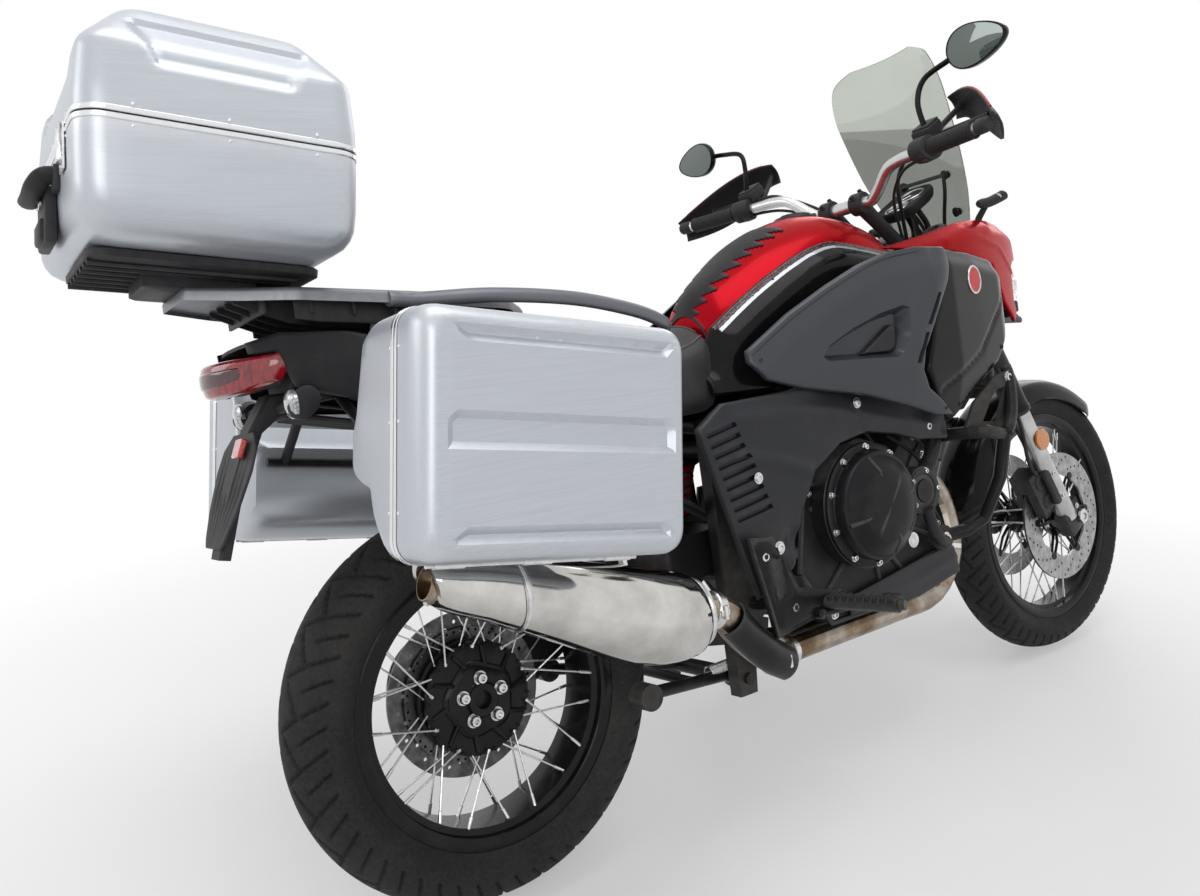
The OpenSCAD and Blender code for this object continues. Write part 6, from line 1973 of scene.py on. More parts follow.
def make_rear_drive():
    wear("swingarm", "engine_cast")
    wear("rear_shock", "cover_black")
    s = Shape()
    a, b = Vector((-346, 0, 534)), Vector((-326, 0, 626))
    turns = [a.lerp(b, k / 96) + 31 * Vector((math.cos(k * math.tau / 16),
                                              math.sin(k * math.tau / 16), 0)) for k in range(97)]
    s.tube(turns, 6.5, 10)
    s.piece("spring_coil", finish("red_paint"), "chassis", None, 60, slot="red_paint")
    s = Shape()
    axle = Vector((-797.5, 0, 321))
    s.lathe([(152, 94), (158, 93), (162, 88), (168, 66), (175, 58), (178, 40), (176, 36), (176, 24),
             (173, 22), (173, 16), (150, 16)], axle, (0, 1, 0), 72)
    for k in range(8):
        a0 = math.tau * k / 8 + 0.2
        s.tube([polar(50, a0, 172) + axle, polar(74, a0, 163) + axle, polar(92, a0, 150) + axle],
               [4, 5, 4.5], 8)
    s.tube([(-420, 148, 420), (-560, 150, 372), (-720, 150, 300)], 8, 10)
    s.tube([(-420, 148, 490), (-560, 150, 450), (-680, 150, 418)], 8, 10)
    for k in range(4):
        x = -450 - 62 * k
        s.tube([(x, 148, 486 - 15 * k), (x - 34, 149, 412 - 16 * k)], 5, 8)
    s.relief([(-430, 482), (-660, 424), (-700, 360), (-650, 318), (-440, 404)], lambda x,
             z: 148 + 5 * ease(edge_distance(x, z, [(-430, 482), (-660, 424), (-700, 360),
                                                    (-650, 318), (-440, 404)]) / 30), 3, 14, 4, 3)
    s.piece("drive_covers", finish("cover_black"), "chassis", None, 40, slot="engine_grey")
    s = Shape()
    for k in range(6):
        s.bolt(polar(82, math.tau * k / 6 + 0.5, 165) + axle, (0, 1, 0), 5.5, 5)
    for x, z in ((-440, 470), (-440, 425), (-690, 400)):
        s.bolt((x, 150, z), (0, 1, 0), 7, 5)
    s.hexagon((-235, 128, 480), (0, 1, 0), 12, 6)
    s.piece("drive_bolts", finish("steel"), "chassis", None, 38, slot="bar_aluminium")
    # Rear brake caliper, its pads' pins and its hose
    s = Shape()
    c = axle + Vector((80, 0, 104))
    turn = Matrix.Rotation(math.radians(-52), 3, "Y")
    s.block(c + Vector((0, 92, 0)), (84, 16, 46), 6, turn)
    s.block(c + Vector((0, 64, 0)), (84, 14, 46), 6, turn)
    s.lathe([(0, 15), (5, 15), (7, 12), (7, 0.1)], c + Vector((0, 99, 0)), (0, 1, 0), 24)
    s.piece("rear_caliper", finish("cover_black"), "chassis", None, 38, slot="gloss_black")
    s = Shape()
    s.tube(curve([c + Vector((40, 96, 20)), c + Vector((70, 100, 60)), (-620, 120, 500),
                  (-480, 112, 520), (-400, 96, 560)], 6), 4.5, 10)
    s.piece("rear_brake_hose", finish("hose_rubber"), "chassis", None, 60, slot="black_plastic")


def make_guards():
    wear("engine_guard", "frame_black")
    wear("footrests", "frame_black")
    s = Shape()
    # Bracket plate with a three-cornered hole, between the bar and the cowl
    outer = [(262, 612), (300, 584), (352, 594), (398, 690), (392, 716), (352, 706), (290, 660)]
    inner = [(306, 618), (342, 614), (374, 682), (346, 678)]
    pts = [Vector(p) for p in outer + inner]
    edges = [(i, (i + 1) % 7) for i in range(7)] + [(7 + i, 7 + (i + 1) % 4) for i in range(4)]
    flat, _, faces, *_ = delaunay_2d_cdt(pts, edges, [], 1, 1e-4)
    tris = [list(t) for t in faces if edge_distance(*sum((flat[i] for i in t), Vector((0, 0))) / 3,
                                                    inner) < 0]
    n = len(flat)
    s.add([(p.x, y + (p.x - 262) * 0.22, p.y) for y in (214, 220) for p in flat],
          [t[::-1] for t in tris] + [[i + n for i in t] for t in tris]
          + [[a, b, b + n, a + n] for a, b in border(tris)])
    s.lathe([(-6, 26), (6, 26), (8, 23), (8, 0.1)], (262, 136, 596), (0, 1, 0), 32)
    s.lathe([(-6, 26), (6, 26), (8, 23), (8, 0.1)], (205, 174, 394), (0, 1, 0), 32)
    s.both_sides().piece("guard_plates", finish("frame_black"), "chassis", None, 38,
                         slot="frame_black")
    s = Shape()
    for at in ((262, 144, 596), (205, 182, 394)):
        s.hexagon(at, (0, 1, 0), 9, 7)
    for x, z in ((318, 600), (384, 700), (-338, 470), (-300, 478), (-285, 370)):
        s.bolt((x, 226 + (0 if x < 0 else (x - 262) * 0.22 - 6), z), (0, 1, 0), 8, 5)
    s.both_sides().piece("guard_bolts", finish("steel"), "chassis", None, 38, slot="bar_aluminium")
    # Footrest rubbers, heel guards and pedals
    s = Shape()
    for k in range(9):
        t = k / 8
        p = Vector((-203, 240, 366)).lerp((-182, 356, 366), t)
        s.block(p + Vector((0, 0, 6)), (28, 8, 9), 1.6, Matrix.Rotation(math.radians(-11), 3, "Z"))
    s.both_sides()
    for k in range(5):
        s.block((-70, -242 - k * 7.5, 345), (20, 4, 5), 1)
    s.tube([(-60, 236, 352), (-60, 268, 352)], 10.5, 18)
    s.piece("footrest_rubbers", finish("grip_rubber"), "chassis", None, 38, slot="black_plastic")
    s = Shape()
    guard = [(-362, 500), (-314, 494), (-268, 402), (-160, 374), (-250, 344), (-326, 334),
             (-334, 378)]
    s.relief(guard, lambda x,
             z: 228 + 3 * ease(edge_distance(x, z, guard) / 14) - 6 * ease((edge_distance(x, z, [(-330, 470), (-300, 462), (-290, 400), (-322, 380)]) + 2) / 6), 4, 7, 4, 3)
    s.both_sides()
    s.plate([(-80, -10), (-60, -12), (-50, 0), (-60, 10), (-80, 10)], 8, (0, -262, 336), bevel=2)
    s.piece("heel_guards", finish("cover_black"), "chassis", None, 42, slot="black_plastic")


def spring(a, b, radius, wire, turns):
    """A coil spring with straight ends."""
    a, b = Vector(a), Vector(b)
    along = (b - a).normalized()
    u = along.orthogonal().normalized()
    v = along.cross(u)
    count = turns * 10
    coil = [a.lerp(b, 0.12 + 0.76 * k / count) + radius * (math.cos(k * math.tau / 10) * u
                                                           + math.sin(k * math.tau / 10) * v)
            for k in range(count + 1)]
    return Shape().tube(coil, wire, 8).tube([a, a.lerp(b, 0.13)], wire, 8).tube([a.lerp(b, 0.87),
                                                                                 b], wire, 8)


def make_stands():
    wear("side_stand", "frame_black")
    wear("centre_stand", "frame_black")
    s = spring((-325, -84, 262), (-392, -88, 262), 9, 2, 12)
    s.both_sides().piece("centre_stand_springs", finish("steel"), "centre_stand", None, 60,
                         slot="bar_aluminium")


# Where a fork leg stands: ahead of the steering axis, and to each side
LEG_X, LEG_Y = 36, 105


def make_fork():
    wear("front_fork", "frame_black")
    s = Shape()
    for side in (-1, 1):
        at = (LEG_X, side * LEG_Y, 0)
        # Silver lower tubes, seals and dust caps
        s.lathe([(14, 22.6), (16, 23.4), (326, 23.4), (329, 22.6)], at, (0, 0, 1), 40)
    s.piece("fork_lower_tubes", finish("fork_silver"), "steering", STEERING, 38,
            slot="bar_aluminium")
    s, bright = Shape(), Shape()
    for side in (-1, 1):
        at = (LEG_X, side * LEG_Y, 0)
        s.lathe([(326, 24), (328, 29), (336, 30), (340, 28), (348, 28), (352, 27.4), (583, 27.4)],
                at, (0, 0, 1), 40)
        s.lathe([(811, 24), (815, 24), (817, 21), (817, 12), (814, 11), (814, 0.1)], at, (0, 0, 1),
                32)
        # Axle lug with its pinch, caliper body with two pads' bridges
        s.block((LEG_X, side * LEG_Y, 4), (58, 36, 62), 8)
        s.block((24, side * 113, 122), (34, 22, 98), 7)
        for w in (92, 148):
            s.lathe([(0, 18), (5, 17), (6, 14), (6, 0.1)], (-2, side * 104, w), (0, side, 0), 28)
        s.block((-4, side * 94, 120), (54, 20, 112), 7)
        for w in (74, 98, 122):
            bright.bolt((62, side * (LEG_Y + 18), w - 92), (0, side, 0), 4.5, 4)
        for w in (88, 152):
            bright.bolt((30, side * 124.5, w), (0, side, 0), 6, 5)
        bright.lathe([(0, 18), (6, 18), (8, 15), (8, 9), (3, 8)], (60, side * 126, 0), (0, side, 0),
                     6)
        for w in (594, 608, 782, 794):
            bright.bolt((LEG_X + 37, side * LEG_Y, w), (1, 0, 0), 4.5, 4)
    for w in (596, 784):
        s.plate([(-26, -20), (22, -100), (56, -100), (33, -26), (33, 26), (56, 100), (22, 100),
                 (-26, 20)], 14, (0, 0, w), (1, 0, 0), (0, 1, 0), bevel=3)
    s.lathe([(828, 27), (832, 27), (834, 24), (834, 14)], (0, 0, 0), (0, 0, 1), 6)
    s.piece("fork_fittings", finish("cover_black"), "steering", STEERING, 38, slot="frame_black")
    bright.piece("fork_bolts", finish("steel"), "steering", STEERING, 38, slot="bar_aluminium")
    s = Shape()
    for side in (-1, 1):
        s.lathe([(0, 25), (4, 25), (6, 23), (6.5, 0.1)], (LEG_X + 2, side * 129, 244), (0, side, 0),
                40)
    s.piece("fork_reflectors", finish("amber_lens"), "steering", STEERING, 38, slot="signal_lens")
    s = Shape()
    for side in (-1, 1):
        s.tube(curve([(-10, side * 112, 176), (-24, side * 120, 230), (4, side * 122, 330),
                      (0, side * 116, 480), (-2, side * 100, 560), (6, side * 92, 592)], 6), 4.2,
               10)
    s.piece("fork_hoses", finish("hose_rubber"), "steering", STEERING, 60, slot="black_plastic")


BAR_W, BAR_U = 950, -66


def bar_at(y):
    """A point on the grip's centre line."""
    t = (y - 260) / 142
    return Vector((BAR_U - 18 - 37 * t, y, BAR_W + 72 + 16 * t))


def make_bars():
    half = curve([(BAR_U, 0, BAR_W), (BAR_U, 30, BAR_W), (BAR_U, 60, BAR_W), (BAR_U, 76, BAR_W),
                  (BAR_U + 2, 100, BAR_W + 16), (BAR_U + 5, 142, BAR_W + 52),
                  (BAR_U + 1, 180, BAR_W + 63), bar_at(212), bar_at(236), bar_at(300), bar_at(402)],
                 4)
    path = [Vector((p.x, -p.y, p.z)) for p in half[:0:-1]] + half
    radii = [14.3 if abs(p.y) < 60 else 12.0 for p in path]
    s = Shape().tube(path, radii, 24)
    s.piece("bar_tube", finish("bar_silver"), "steering", STEERING, 40, ["handlebar"],
            "bar_aluminium")
    s, grips, bright = Shape(), Shape(), Shape()
    for side in (-1, 1):
        at = lambda y, dx=0, dz=0: Vector((bar_at(y).x + dx, side * y, bar_at(y).z + dz))
        s.lathe([(803, 16), (812, 17), (818, 15)], (-6, side * 42, 0), (0, 0, 1), 28)
        s.tube([(-6, side * 42, 812), (-36, side * 42, 880), (BAR_U, side * 42, BAR_W)],
               [16, 15, 17], 20)
        s.tube([(BAR_U, side * 28, BAR_W), (BAR_U, side * 30, BAR_W), (BAR_U, side * 56, BAR_W),
                (BAR_U, side * 58, BAR_W)], [22, 24, 24, 22], 28)
        for dx in (-16, 16):
            bright.bolt((BAR_U + dx, side * 43, BAR_W + 20), (0, 0, 1), 4.5, 6)
        # Switch block with buttons, lever bracket, reservoir
        s.tube([at(236), at(238), at(250), at(276), at(279)], [19, 23.5, 25, 23.5, 18], 24,
               flat=1.15)
        s.block(at(250, 36, 22), (50, 42, 26), 5)
        s.block(at(250, 38, 36), (44, 36, 6), 2)
        for dx, dz in ((-20, 10), (-22, -4), (-18, -16)):
            s.block(at(262, dx, dz), (8, 12, 7), 2)
        s.tube([at(240, 22, 2), at(252, 40, 4), at(270, 46, 4)], [11, 10, 8], 14)
        lever = curve([at(262, 44, 4), at(290, 56, 3), at(340, 62, 1), at(378, 64, 0),
                       at(386, 66, 0)], 5)
        bright.tube(lever, [6.5] * (len(lever) - 3) + [7, 8, 5], 14, flat=0.62)
        bright.bolt(at(256, 44, 12), (0, 0, 1), 5, 4)
        # Ribbed grips
        steps = 29
        ring = [at(283 + k * (112 / steps)) for k in range(steps + 1)]
        grips.tube(ring, [18.4] + [17.2 if k % 2 else 16.2 for k in range(1, steps - 1)]
                   + [17.8, 16.0], 24)
    s.piece("bar_fittings", finish("grained_black"), "steering", STEERING, 40, ["bar_controls"],
            "black_plastic")
    grips.piece("bar_grips", finish("grip_rubber"), "steering", STEERING, 50, slot="black_plastic")
    bright.piece("levers", finish("cover_black"), "steering", STEERING, 40, slot="gloss_black")
    s = Shape()
    for side in (-1, 1):
        a = bar_at(246)
        s.tube(curve([(a.x + 30, side * 236, a.z + 4), (a.x + 44, side * 190, a.z - 4),
                      (-20, side * 120, 960), (10, side * 70, 880), (16, side * 48, 820),
                      (14, side * 40, 800)], 6), 4.4, 10)
        s.tube(curve([(a.x + 4, side * 238, a.z - 16), (a.x + 22, side * 170, a.z - 34),
                      (-30, side * 100, 930), (-8, side * 62, 850), (-6, side * 54, 806)], 6), 3.4,
               10)
    s.piece("bar_hoses", finish("hose_rubber"), "steering", STEERING, 60, slot="black_plastic")


def make_hand_guards():
    s, red, grey = Shape(), Shape(), Shape()
    rings = []
    for k in range(25):
        t = k / 24
        y = 440 - 190 * t
        x = BAR_U - 54 + 150 * math.sin(math.radians(90 * t)) + 30 * t
        lo = BAR_W + 70 - 34 * math.sin(math.radians(180 * min(t + 0.15, 1)))
        hi = BAR_W + 108 + 24 * math.sin(math.radians(150 * t))
        n = 9
        bow = lambda q: 9 * math.sin(math.pi * q)
        rings.append([(x + bow(j / n), y + 3 * math.sin(math.pi * j / n),
                       lo + (hi - lo) * j / n) for j in range(n + 1)]
                     + [(x - 4 + bow(j / n), y - 1,
                         lo + 1 + (hi - lo - 2) * j / n) for j in range(n, -1, -1)])
    s.loft(rings)
    for k in range(2, 20):
        a, b = rings[k], rings[k + 1]
        grey.add([(p[0] + 1.3, p[1] + 0.6, p[2]) for p in a[2:7] + b[2:7]],
                 [[j, j + 1, j + 6, j + 5] for j in range(4)])
    red.tube([Vector(r[9]) + Vector((1.0, 0.6, -2)) for r in rings[2:22]], 2.6, 8)
    end, far = bar_at(402.8), bar_at(432)
    s.tube([end, end.lerp(far, 0.1), end.lerp(far, 0.85), far], [13, 14.5, 14, 10], 24)
    s.tube(curve([bar_at(226) + Vector((10, 0, 0)), bar_at(228) + Vector((60, 10, 8)),
                  Vector(rings[22][4])], 4), 6, 10)
    for shape, name, look_name, slot, stands in ((s, "hand_shields", "grained_black",
                                                  "black_plastic", ["hand_guards"]),
                                                 (red, "hand_shield_edges", "red_anodised",
                                                  "red_paint", []),
                                                 (grey, "hand_shield_panels", "satin_cover",
                                                  "grey_plastic", [])):
        shape.both_sides().piece(name, finish(look_name), "steering", STEERING, 46, stands, slot)
    # Mirrors: stalk, teardrop shell and glass
    s = Shape()
    s.tube(curve([(-50, 252, BAR_W + 109.2), (-30, 246, BAR_W + 150), (-6, 262, BAR_W + 182),
                  (2, 320, BAR_W + 196), (0, 352, BAR_W + 202)], 6), 5.6, 14)
    s.lathe([(-14, 11), (0, 11), (4, 8), (10, 7)], (-50, 252, BAR_W + 100), (0.1, 0, 1), 20)
    m = Matrix.Translation((-8, 392, BAR_W + 206)) @ Matrix.Rotation(RAKE - math.radians(4), 4, "Y")
    outline = lambda g, n=40: [(62 * g * math.cos(a) * (1 + 0.05 * math.cos(a)),
                                38 * g * math.sin(a) * (1 - 0.22 * math.cos(a)))
                               for a in (math.tau * k / n for k in range(n))]
    shell = Shape().loft([[(x, y, z) for y, z in outline(g)] for x, g in ((-6, 0.90), (-12, 0.94),
                                                                          (-13, 0.98), (-10, 1.0),
                                                                          (0, 0.99), (8, 0.88),
                                                                          (14, 0.68), (18, 0.42),
                                                                          (19.5, 0.2))])
    shell.moved(m)
    s.add(shell.points, shell.faces)
    s.both_sides().piece("mirror_shells", finish("gloss_black"), "steering", STEERING, 48,
                         ["mirrors"], "gloss_black")
    glass = Shape().loft([[(x, y, z) for y, z in outline(g)] for x, g in ((-9, 0.93), (-12.2, 0.93),
                                                                          (-12.6, 0.9))]).moved(m)
    glass.both_sides().piece("mirror_glasses", finish("mirror_glass"), "steering", STEERING, 48,
                             slot="lamp_lens")


def make_mudguard():
    s = Shape()
    r0 = 338
    centre = Vector((60, 0, 0))
    section = [(r0 - 46, 67), (r0 - 30, 63), (r0 - 14, 57), (r0 - 5, 46), (r0 + 1, 30),
               (r0 + 3, 14), (r0 + 4.5, 0)]
    section = section + [(r, -y) for r, y in section[-2::-1]]
    back = [(r - 3, y * 0.955) for r, y in section[::-1]]
    rings = []
    steps = 64
    for k in range(steps + 1):
        t = k / steps
        a = math.radians(44 + 124 * t)
        cut = 26 * (max(0, 1 - t / 0.10) ** 2 + max(0, (t - 0.90) / 0.10) ** 2)
        ring = []
        for r, y in section + back:
            low = max(0, (r0 - 5 - r)) / 41
            wide = 1 - 0.42 * max(0, 1 - t / 0.08) ** 2 - 0.4 * max(0, (t - 0.92) / 0.08) ** 2
            rr = r + cut * low * 0.8
            q = Vector((rr * math.cos(a), y * wide, rr * math.sin(a)))
            ring.append(q)
        rings.append(ring)
    s.loft(rings)
    s.moved(Matrix.Translation(centre) @ Matrix.Rotation(math.radians(28), 4, "Y"))
    for side in (-1, 1):
        s.block((26, side * 72.5, 308), (30, 20, 34), 5)
    s.piece("mudguard_shell", finish("gloss_black"), "steering", STEERING, 46, ["front_mudguard"],
            "gloss_black")
    s = Shape()
    for side in (-1, 1):
        for w in (298, 318):
            s.bolt((34, side * 64, w), (0, side, 0), 5, 4)
    s.piece("mudguard_bolts", finish("steel"), "steering", STEERING, 38, slot="bar_aluminium")


# ---- floor, light and camera ----


def floor_finish():
    """Pale floor that runs into a white background and keeps the shadow."""
    f = Finish("pale_floor", (0.86, 0.86, 0.86), 0.75)
    f.set("Specular IOR Level", 0.15)
    f.paint(f.ramp(f.noise(2.0, 3), [(0.3, 0.84), (0.7, 0.88)]))
    path = f.nodes.new("ShaderNodeLightPath").outputs
    seen = f.math(path["Is Camera Ray"], path["Is Glossy Ray"], "MAXIMUM")
    seen = f.math(seen, path["Is Transmission Ray"], "MAXIMUM")
    glow = f.nodes.new("ShaderNodeEmission")
    glow.inputs["Strength"].default_value = 1.0
    far = f.nodes.new("ShaderNodeVectorMath")
    far.operation = "LENGTH"
    f.links.new(f.where, far.inputs[0])
    edge = f.ramp(f.math(far.outputs["Value"], 0.25), [(0.20, 0.36), (0.56, 1.0)])
    mix = f.nodes.new("ShaderNodeMixShader")
    f.links.new(f.math(edge, seen), mix.inputs["Fac"])
    f.links.new(f.shader.outputs["BSDF"], mix.inputs[1])
    f.links.new(glow.outputs["Emission"], mix.inputs[2])
    f.links.new(mix.outputs["Shader"], f.nodes["Material Output"].inputs["Surface"])
    return f.mat


def make_floor():
    mesh = bpy.data.meshes.new("floor")
    rim = [(14 * math.cos(math.tau * k / 64), 14 * math.sin(math.tau * k / 64),
            0) for k in range(64)]
    mesh.from_pydata([(0, 0, 0)] + rim, [], [[0, k + 1, (k + 1) % 64 + 1] for k in range(64)])
    mesh.materials.append(floor_finish())
    floor = bpy.data.objects.new("floor", mesh)
    bpy.context.scene.collection.objects.link(floor)


def make_world():
    """White where it is seen, also in metal and glass, and softer where it lights the machine."""
    world = bpy.data.worlds.new("studio")
    world.use_nodes = True
    nodes, links = world.node_tree.nodes, world.node_tree.links
    path = nodes.new("ShaderNodeLightPath").outputs
    seen = path["Is Camera Ray"]
    for name in ("Is Glossy Ray", "Is Transmission Ray"):
        node = nodes.new("ShaderNodeMath")
        node.operation = "MAXIMUM"
        links.new(seen, node.inputs[0])
        links.new(path[name], node.inputs[1])
        seen = node.outputs[0]
    strength = nodes.new("ShaderNodeMapRange")
    strength.inputs["To Min"].default_value = 0.38
    strength.inputs["To Max"].default_value = 1.0
    links.new(seen, strength.inputs["Value"])
    sky = nodes["Background"]
    sky.inputs["Color"].default_value = (1, 1, 1, 1)
    links.new(strength.outputs["Result"], sky.inputs["Strength"])
    bpy.context.scene.world = world


def lamp(name, at, aim, power, wide, tall):
    """A soft rectangular lamp that points at a place."""
    light = bpy.data.lights.new(name, "AREA")
    light.shape = "RECTANGLE"
    light.size, light.size_y = wide, tall
    light.energy = power
    obj = bpy.data.objects.new(name, light)
    obj.location = at
    obj.rotation_euler = (Vector(aim) - Vector(at)).to_track_quat("-Z", "Y").to_euler()
    bpy.context.scene.collection.objects.link(obj)


def make_lights():
    lamp("overhead_softbox", (-0.2, -0.3, 4.2), (0, 0, 0.5), 62, 3.4, 2.4)
    lamp("side_softbox", (-2.6, -3.4, 2.6), (0, 0, 0.7), 34, 2.2, 1.8)
    lamp("rear_softbox", (-4.0, 1.6, 2.4), (0, 0, 0.7), 20, 1.8, 1.8)
    lamp("front_softbox", (3.8, 2.2, 2.6), (0, 0, 0.7), 24, 2.2, 2.2)


def make_camera():
    camera = bpy.data.cameras.new("camera")
    camera.sensor_fit = "HORIZONTAL"
    camera.sensor_width = 36
    camera.lens = 30.214
    camera.clip_end = 60
    obj = bpy.data.objects.new("camera", camera)
    right, down = Vector((0.81394, -0.56332, -0.14202)), Vector((-0.14514, 0.03952, -0.98862))
    ahead = Vector((0.56252, 0.82530, -0.04960))
    turn = Matrix((right, -down, -ahead)).transposed()
    lean = BIKE.to_quaternion().to_matrix()
    obj.matrix_world = Matrix.Translation(BIKE @ Vector((-1502.1, -1489.1,
                                                         778.0))) @ (lean @ turn).to_4x4()
    bpy.context.scene.collection.objects.link(obj)
    bpy.context.scene.camera = obj


def make_stage():
    scene = bpy.context.scene
    scene.view_settings.view_transform = "Standard"
    make_floor()
    make_world()
    make_lights()
    make_camera()


# ---- operators, panel and registration ----


class AddFinishes(bpy.types.Operator):
    """Makes every finish from the colours in the panel"""

    bl_idname = "motorcycle.finishes"
    bl_label = "Finishes"

    def execute(self, context):
        make_finishes(look())
        return {"FINISHED"}


class AddStage(bpy.types.Operator):
    """Adds the floor, the soft light and the camera"""

    bl_idname = "motorcycle.stage"
    bl_label = "Floor, light and camera"

    def execute(self, context):
        make_stage()
        return {"FINISHED"}


class AddTyres(bpy.types.Operator):
    """Adds both tyres with their cut tread"""

    bl_idname = "motorcycle.tyres"
    bl_label = "Tyres"

    def execute(self, context):
        make_tyres()
        return {"FINISHED"}


class AddRearWheel(bpy.types.Operator):
    """Adds the rear rim, spokes, hub and disc"""

    bl_idname = "motorcycle.rear_wheel"
    bl_label = "Rear wheel"

    def execute(self, context):
        make_rear_wheel()
        return {"FINISHED"}


class AddFrontWheel(bpy.types.Operator):
    """Adds the front rim, spokes, hub and discs"""

    bl_idname = "motorcycle.front_wheel"
    bl_label = "Front wheel"

    def execute(self, context):
        make_front_wheel()
        return {"FINISHED"}


class AddTopCase(bpy.types.Operator):
    """Adds the top case, its lid, seam, handle and catches"""

    bl_idname = "motorcycle.top_case"
    bl_label = "Top case"

    def execute(self, context):
        make_top_case()
        return {"FINISHED"}


class AddSideCases(bpy.types.Operator):
    """Adds both side cases with their lids"""

    bl_idname = "motorcycle.side_cases"
    bl_label = "Side cases"

    def execute(self, context):
        make_side_cases()
        return {"FINISHED"}


class AddTank(bpy.types.Operator):
    """Adds the tank, its filler and the panels beside it"""

    bl_idname = "motorcycle.tank"
    bl_label = "Fuel tank"

    def execute(self, context):
        make_tank()
        return {"FINISHED"}


class AddFairings(bpy.types.Operator):
    """Adds the side fairings and the black side cowls"""

    bl_idname = "motorcycle.fairings"
    bl_label = "Fairings"

    def execute(self, context):
        make_fairings()
        return {"FINISHED"}


class AddNose(bpy.types.Operator):
    """Adds the nose, the beak and the headlight"""

    bl_idname = "motorcycle.nose"
    bl_label = "Nose and lamp"

    def execute(self, context):
        make_nose()
        return {"FINISHED"}


class AddScreen(bpy.types.Operator):
    """Adds the windscreen, its mounts and the dials"""

    bl_idname = "motorcycle.screen"
    bl_label = "Windscreen and dials"

    def execute(self, context):
        make_screen()
        return {"FINISHED"}


class AddSeat(bpy.types.Operator):
    """Adds the padded seat with its seams"""

    bl_idname = "motorcycle.seat"
    bl_label = "Seat"

    def execute(self, context):
        make_seat()
        return {"FINISHED"}


class AddTail(bpy.types.Operator):
    """Adds the tail, the tail light, the plate holder and the indicators"""

    bl_idname = "motorcycle.tail"
    bl_label = "Tail and lights"

    def execute(self, context):
        make_tail()
        return {"FINISHED"}


class AddCarrier(bpy.types.Operator):
    """Adds the carrier plate and the grab rails"""

    bl_idname = "motorcycle.carrier"
    bl_label = "Luggage carrier"

    def execute(self, context):
        make_carrier()
        return {"FINISHED"}


class AddFrameFinish(bpy.types.Operator):
    """Finishes the frame and adds its covers and bolts"""

    bl_idname = "motorcycle.frame"
    bl_label = "Frame and covers"

    def execute(self, context):
        make_frame()
        return {"FINISHED"}


class AddEngine(bpy.types.Operator):
    """Adds covers, ribs, bolts, hoses and radiators to the engine"""

    bl_idname = "motorcycle.engine"
    bl_label = "Engine"

    def execute(self, context):
        make_engine()
        return {"FINISHED"}


class AddExhaust(bpy.types.Operator):
    """Adds the silencer, clamps and heat shield"""

    bl_idname = "motorcycle.exhaust"
    bl_label = "Exhaust"

    def execute(self, context):
        make_exhaust()
        return {"FINISHED"}


class AddRearDrive(bpy.types.Operator):
    """Finishes the rear arm, its spring and the brake"""

    bl_idname = "motorcycle.rear_drive"
    bl_label = "Rear arm and drive"

    def execute(self, context):
        make_rear_drive()
        return {"FINISHED"}


class AddGuards(bpy.types.Operator):
    """Adds the crash bars' plates, the footrests and pedals"""

    bl_idname = "motorcycle.guards"
    bl_label = "Guards and footrests"

    def execute(self, context):
        make_guards()
        return {"FINISHED"}


class AddStands(bpy.types.Operator):
    """Finishes both stands and adds their springs"""

    bl_idname = "motorcycle.stands"
    bl_label = "Stands"

    def execute(self, context):
        make_stands()
        return {"FINISHED"}


class AddFork(bpy.types.Operator):
    """Adds the fork's tubes, calipers, bolts and reflectors"""

    bl_idname = "motorcycle.fork"
    bl_label = "Front fork"

    def execute(self, context):
        make_fork()
        return {"FINISHED"}


class AddBars(bpy.types.Operator):
    """Adds the handlebar, grips, levers and hoses"""

    bl_idname = "motorcycle.bars"
    bl_label = "Handlebar and controls"

    def execute(self, context):
        make_bars()
        return {"FINISHED"}


class AddHandGuards(bpy.types.Operator):
    """Adds the hand guards and the mirrors"""

    bl_idname = "motorcycle.hand_guards"
    bl_label = "Hand guards and mirrors"

    def execute(self, context):
        make_hand_guards()
        return {"FINISHED"}


class AddMudguard(bpy.types.Operator):
    """Adds the front mudguard"""

    bl_idname = "motorcycle.mudguard"
    bl_label = "Front mudguard"

    def execute(self, context):
        make_mudguard()
        return {"FINISHED"}


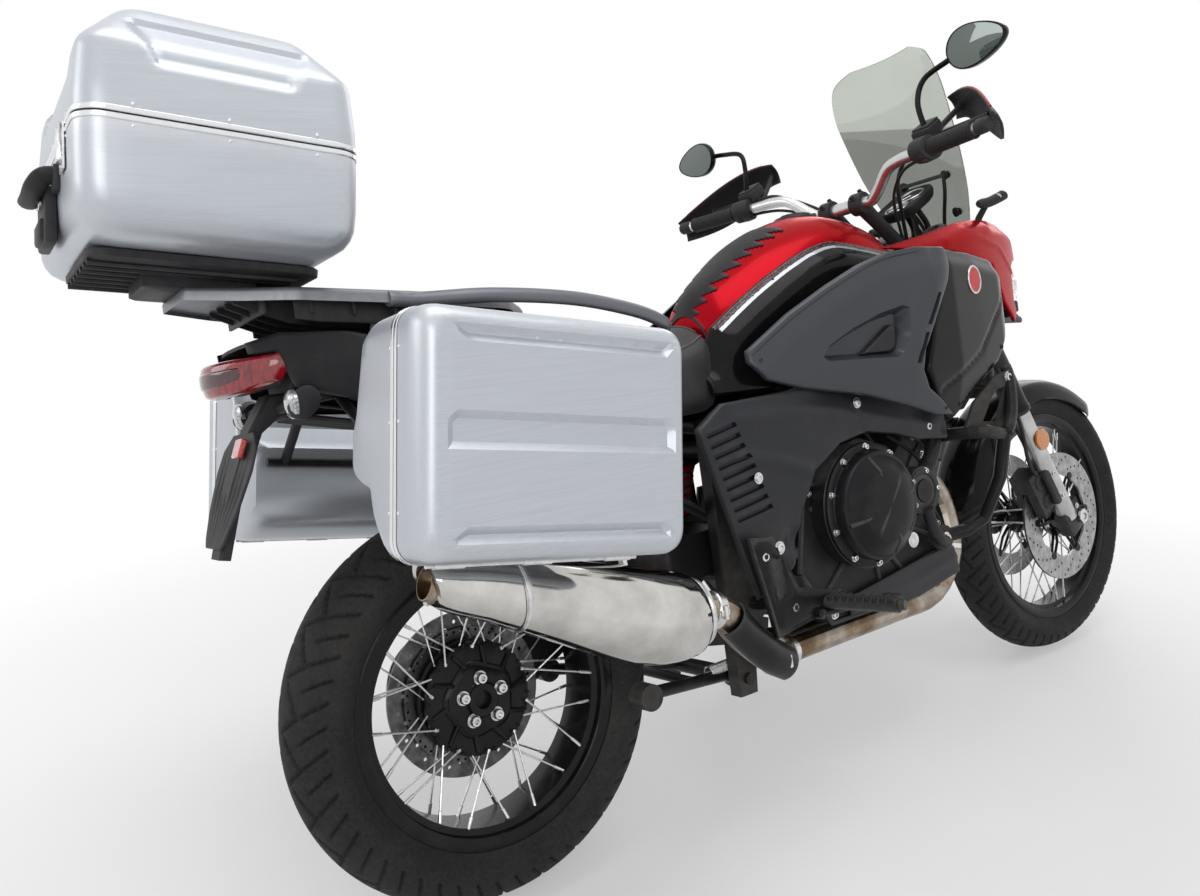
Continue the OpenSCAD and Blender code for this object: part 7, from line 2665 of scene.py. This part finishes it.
OPERATORS = (
    AddFinishes, AddStage, AddTyres, AddRearWheel, AddFrontWheel, AddTopCase, AddSideCases,
    AddTank, AddFairings, AddNose, AddScreen, AddSeat, AddTail, AddCarrier, AddFrameFinish,
    AddEngine, AddExhaust, AddRearDrive, AddGuards, AddStands, AddFork, AddBars, AddHandGuards,
    AddMudguard,
)


class MotorcyclePanel(bpy.types.Panel):
    """Colours, sizes and pieces of the motorcycle."""

    bl_idname = "VIEW3D_PT_motorcycle"
    bl_label = "Motorcycle"
    bl_space_type = "VIEW_3D"
    bl_region_type = "UI"
    bl_category = "Motorcycle"

    def draw(self, context):
        for group in (context.scene.motorcycle_look, context.scene.motorcycle_sizes):
            column = self.layout.column(align=True)
            for key in group.__annotations__:
                column.prop(group, key)
        column = self.layout.column(align=True)
        for operator in OPERATORS:
            column.operator(operator.bl_idname)


CLASSES = (MotorcycleLook, MotorcycleSizes, *OPERATORS, MotorcyclePanel)


def register():
    for cls in CLASSES:
        bpy.utils.register_class(cls)
    bpy.types.Scene.motorcycle_look = PointerProperty(type=MotorcycleLook)
    bpy.types.Scene.motorcycle_sizes = PointerProperty(type=MotorcycleSizes)


def unregister():
    del bpy.types.Scene.motorcycle_sizes
    del bpy.types.Scene.motorcycle_look
    for cls in reversed(CLASSES):
        bpy.utils.unregister_class(cls)


def main():
    register()
    bpy.ops.motorcycle.finishes()
    bpy.ops.motorcycle.stage()
    bpy.ops.motorcycle.tyres()
    bpy.ops.motorcycle.rear_wheel()
    bpy.ops.motorcycle.front_wheel()
    bpy.ops.motorcycle.top_case()
    bpy.ops.motorcycle.side_cases()
    bpy.ops.motorcycle.tank()
    bpy.ops.motorcycle.fairings()
    bpy.ops.motorcycle.nose()
    bpy.ops.motorcycle.screen()
    bpy.ops.motorcycle.seat()
    bpy.ops.motorcycle.tail()
    bpy.ops.motorcycle.carrier()
    bpy.ops.motorcycle.frame()
    bpy.ops.motorcycle.engine()
    bpy.ops.motorcycle.exhaust()
    bpy.ops.motorcycle.rear_drive()
    bpy.ops.motorcycle.guards()
    bpy.ops.motorcycle.stands()
    bpy.ops.motorcycle.fork()
    bpy.ops.motorcycle.bars()
    bpy.ops.motorcycle.hand_guards()
    bpy.ops.motorcycle.mudguard()


if __name__ == "__main__":
    main()
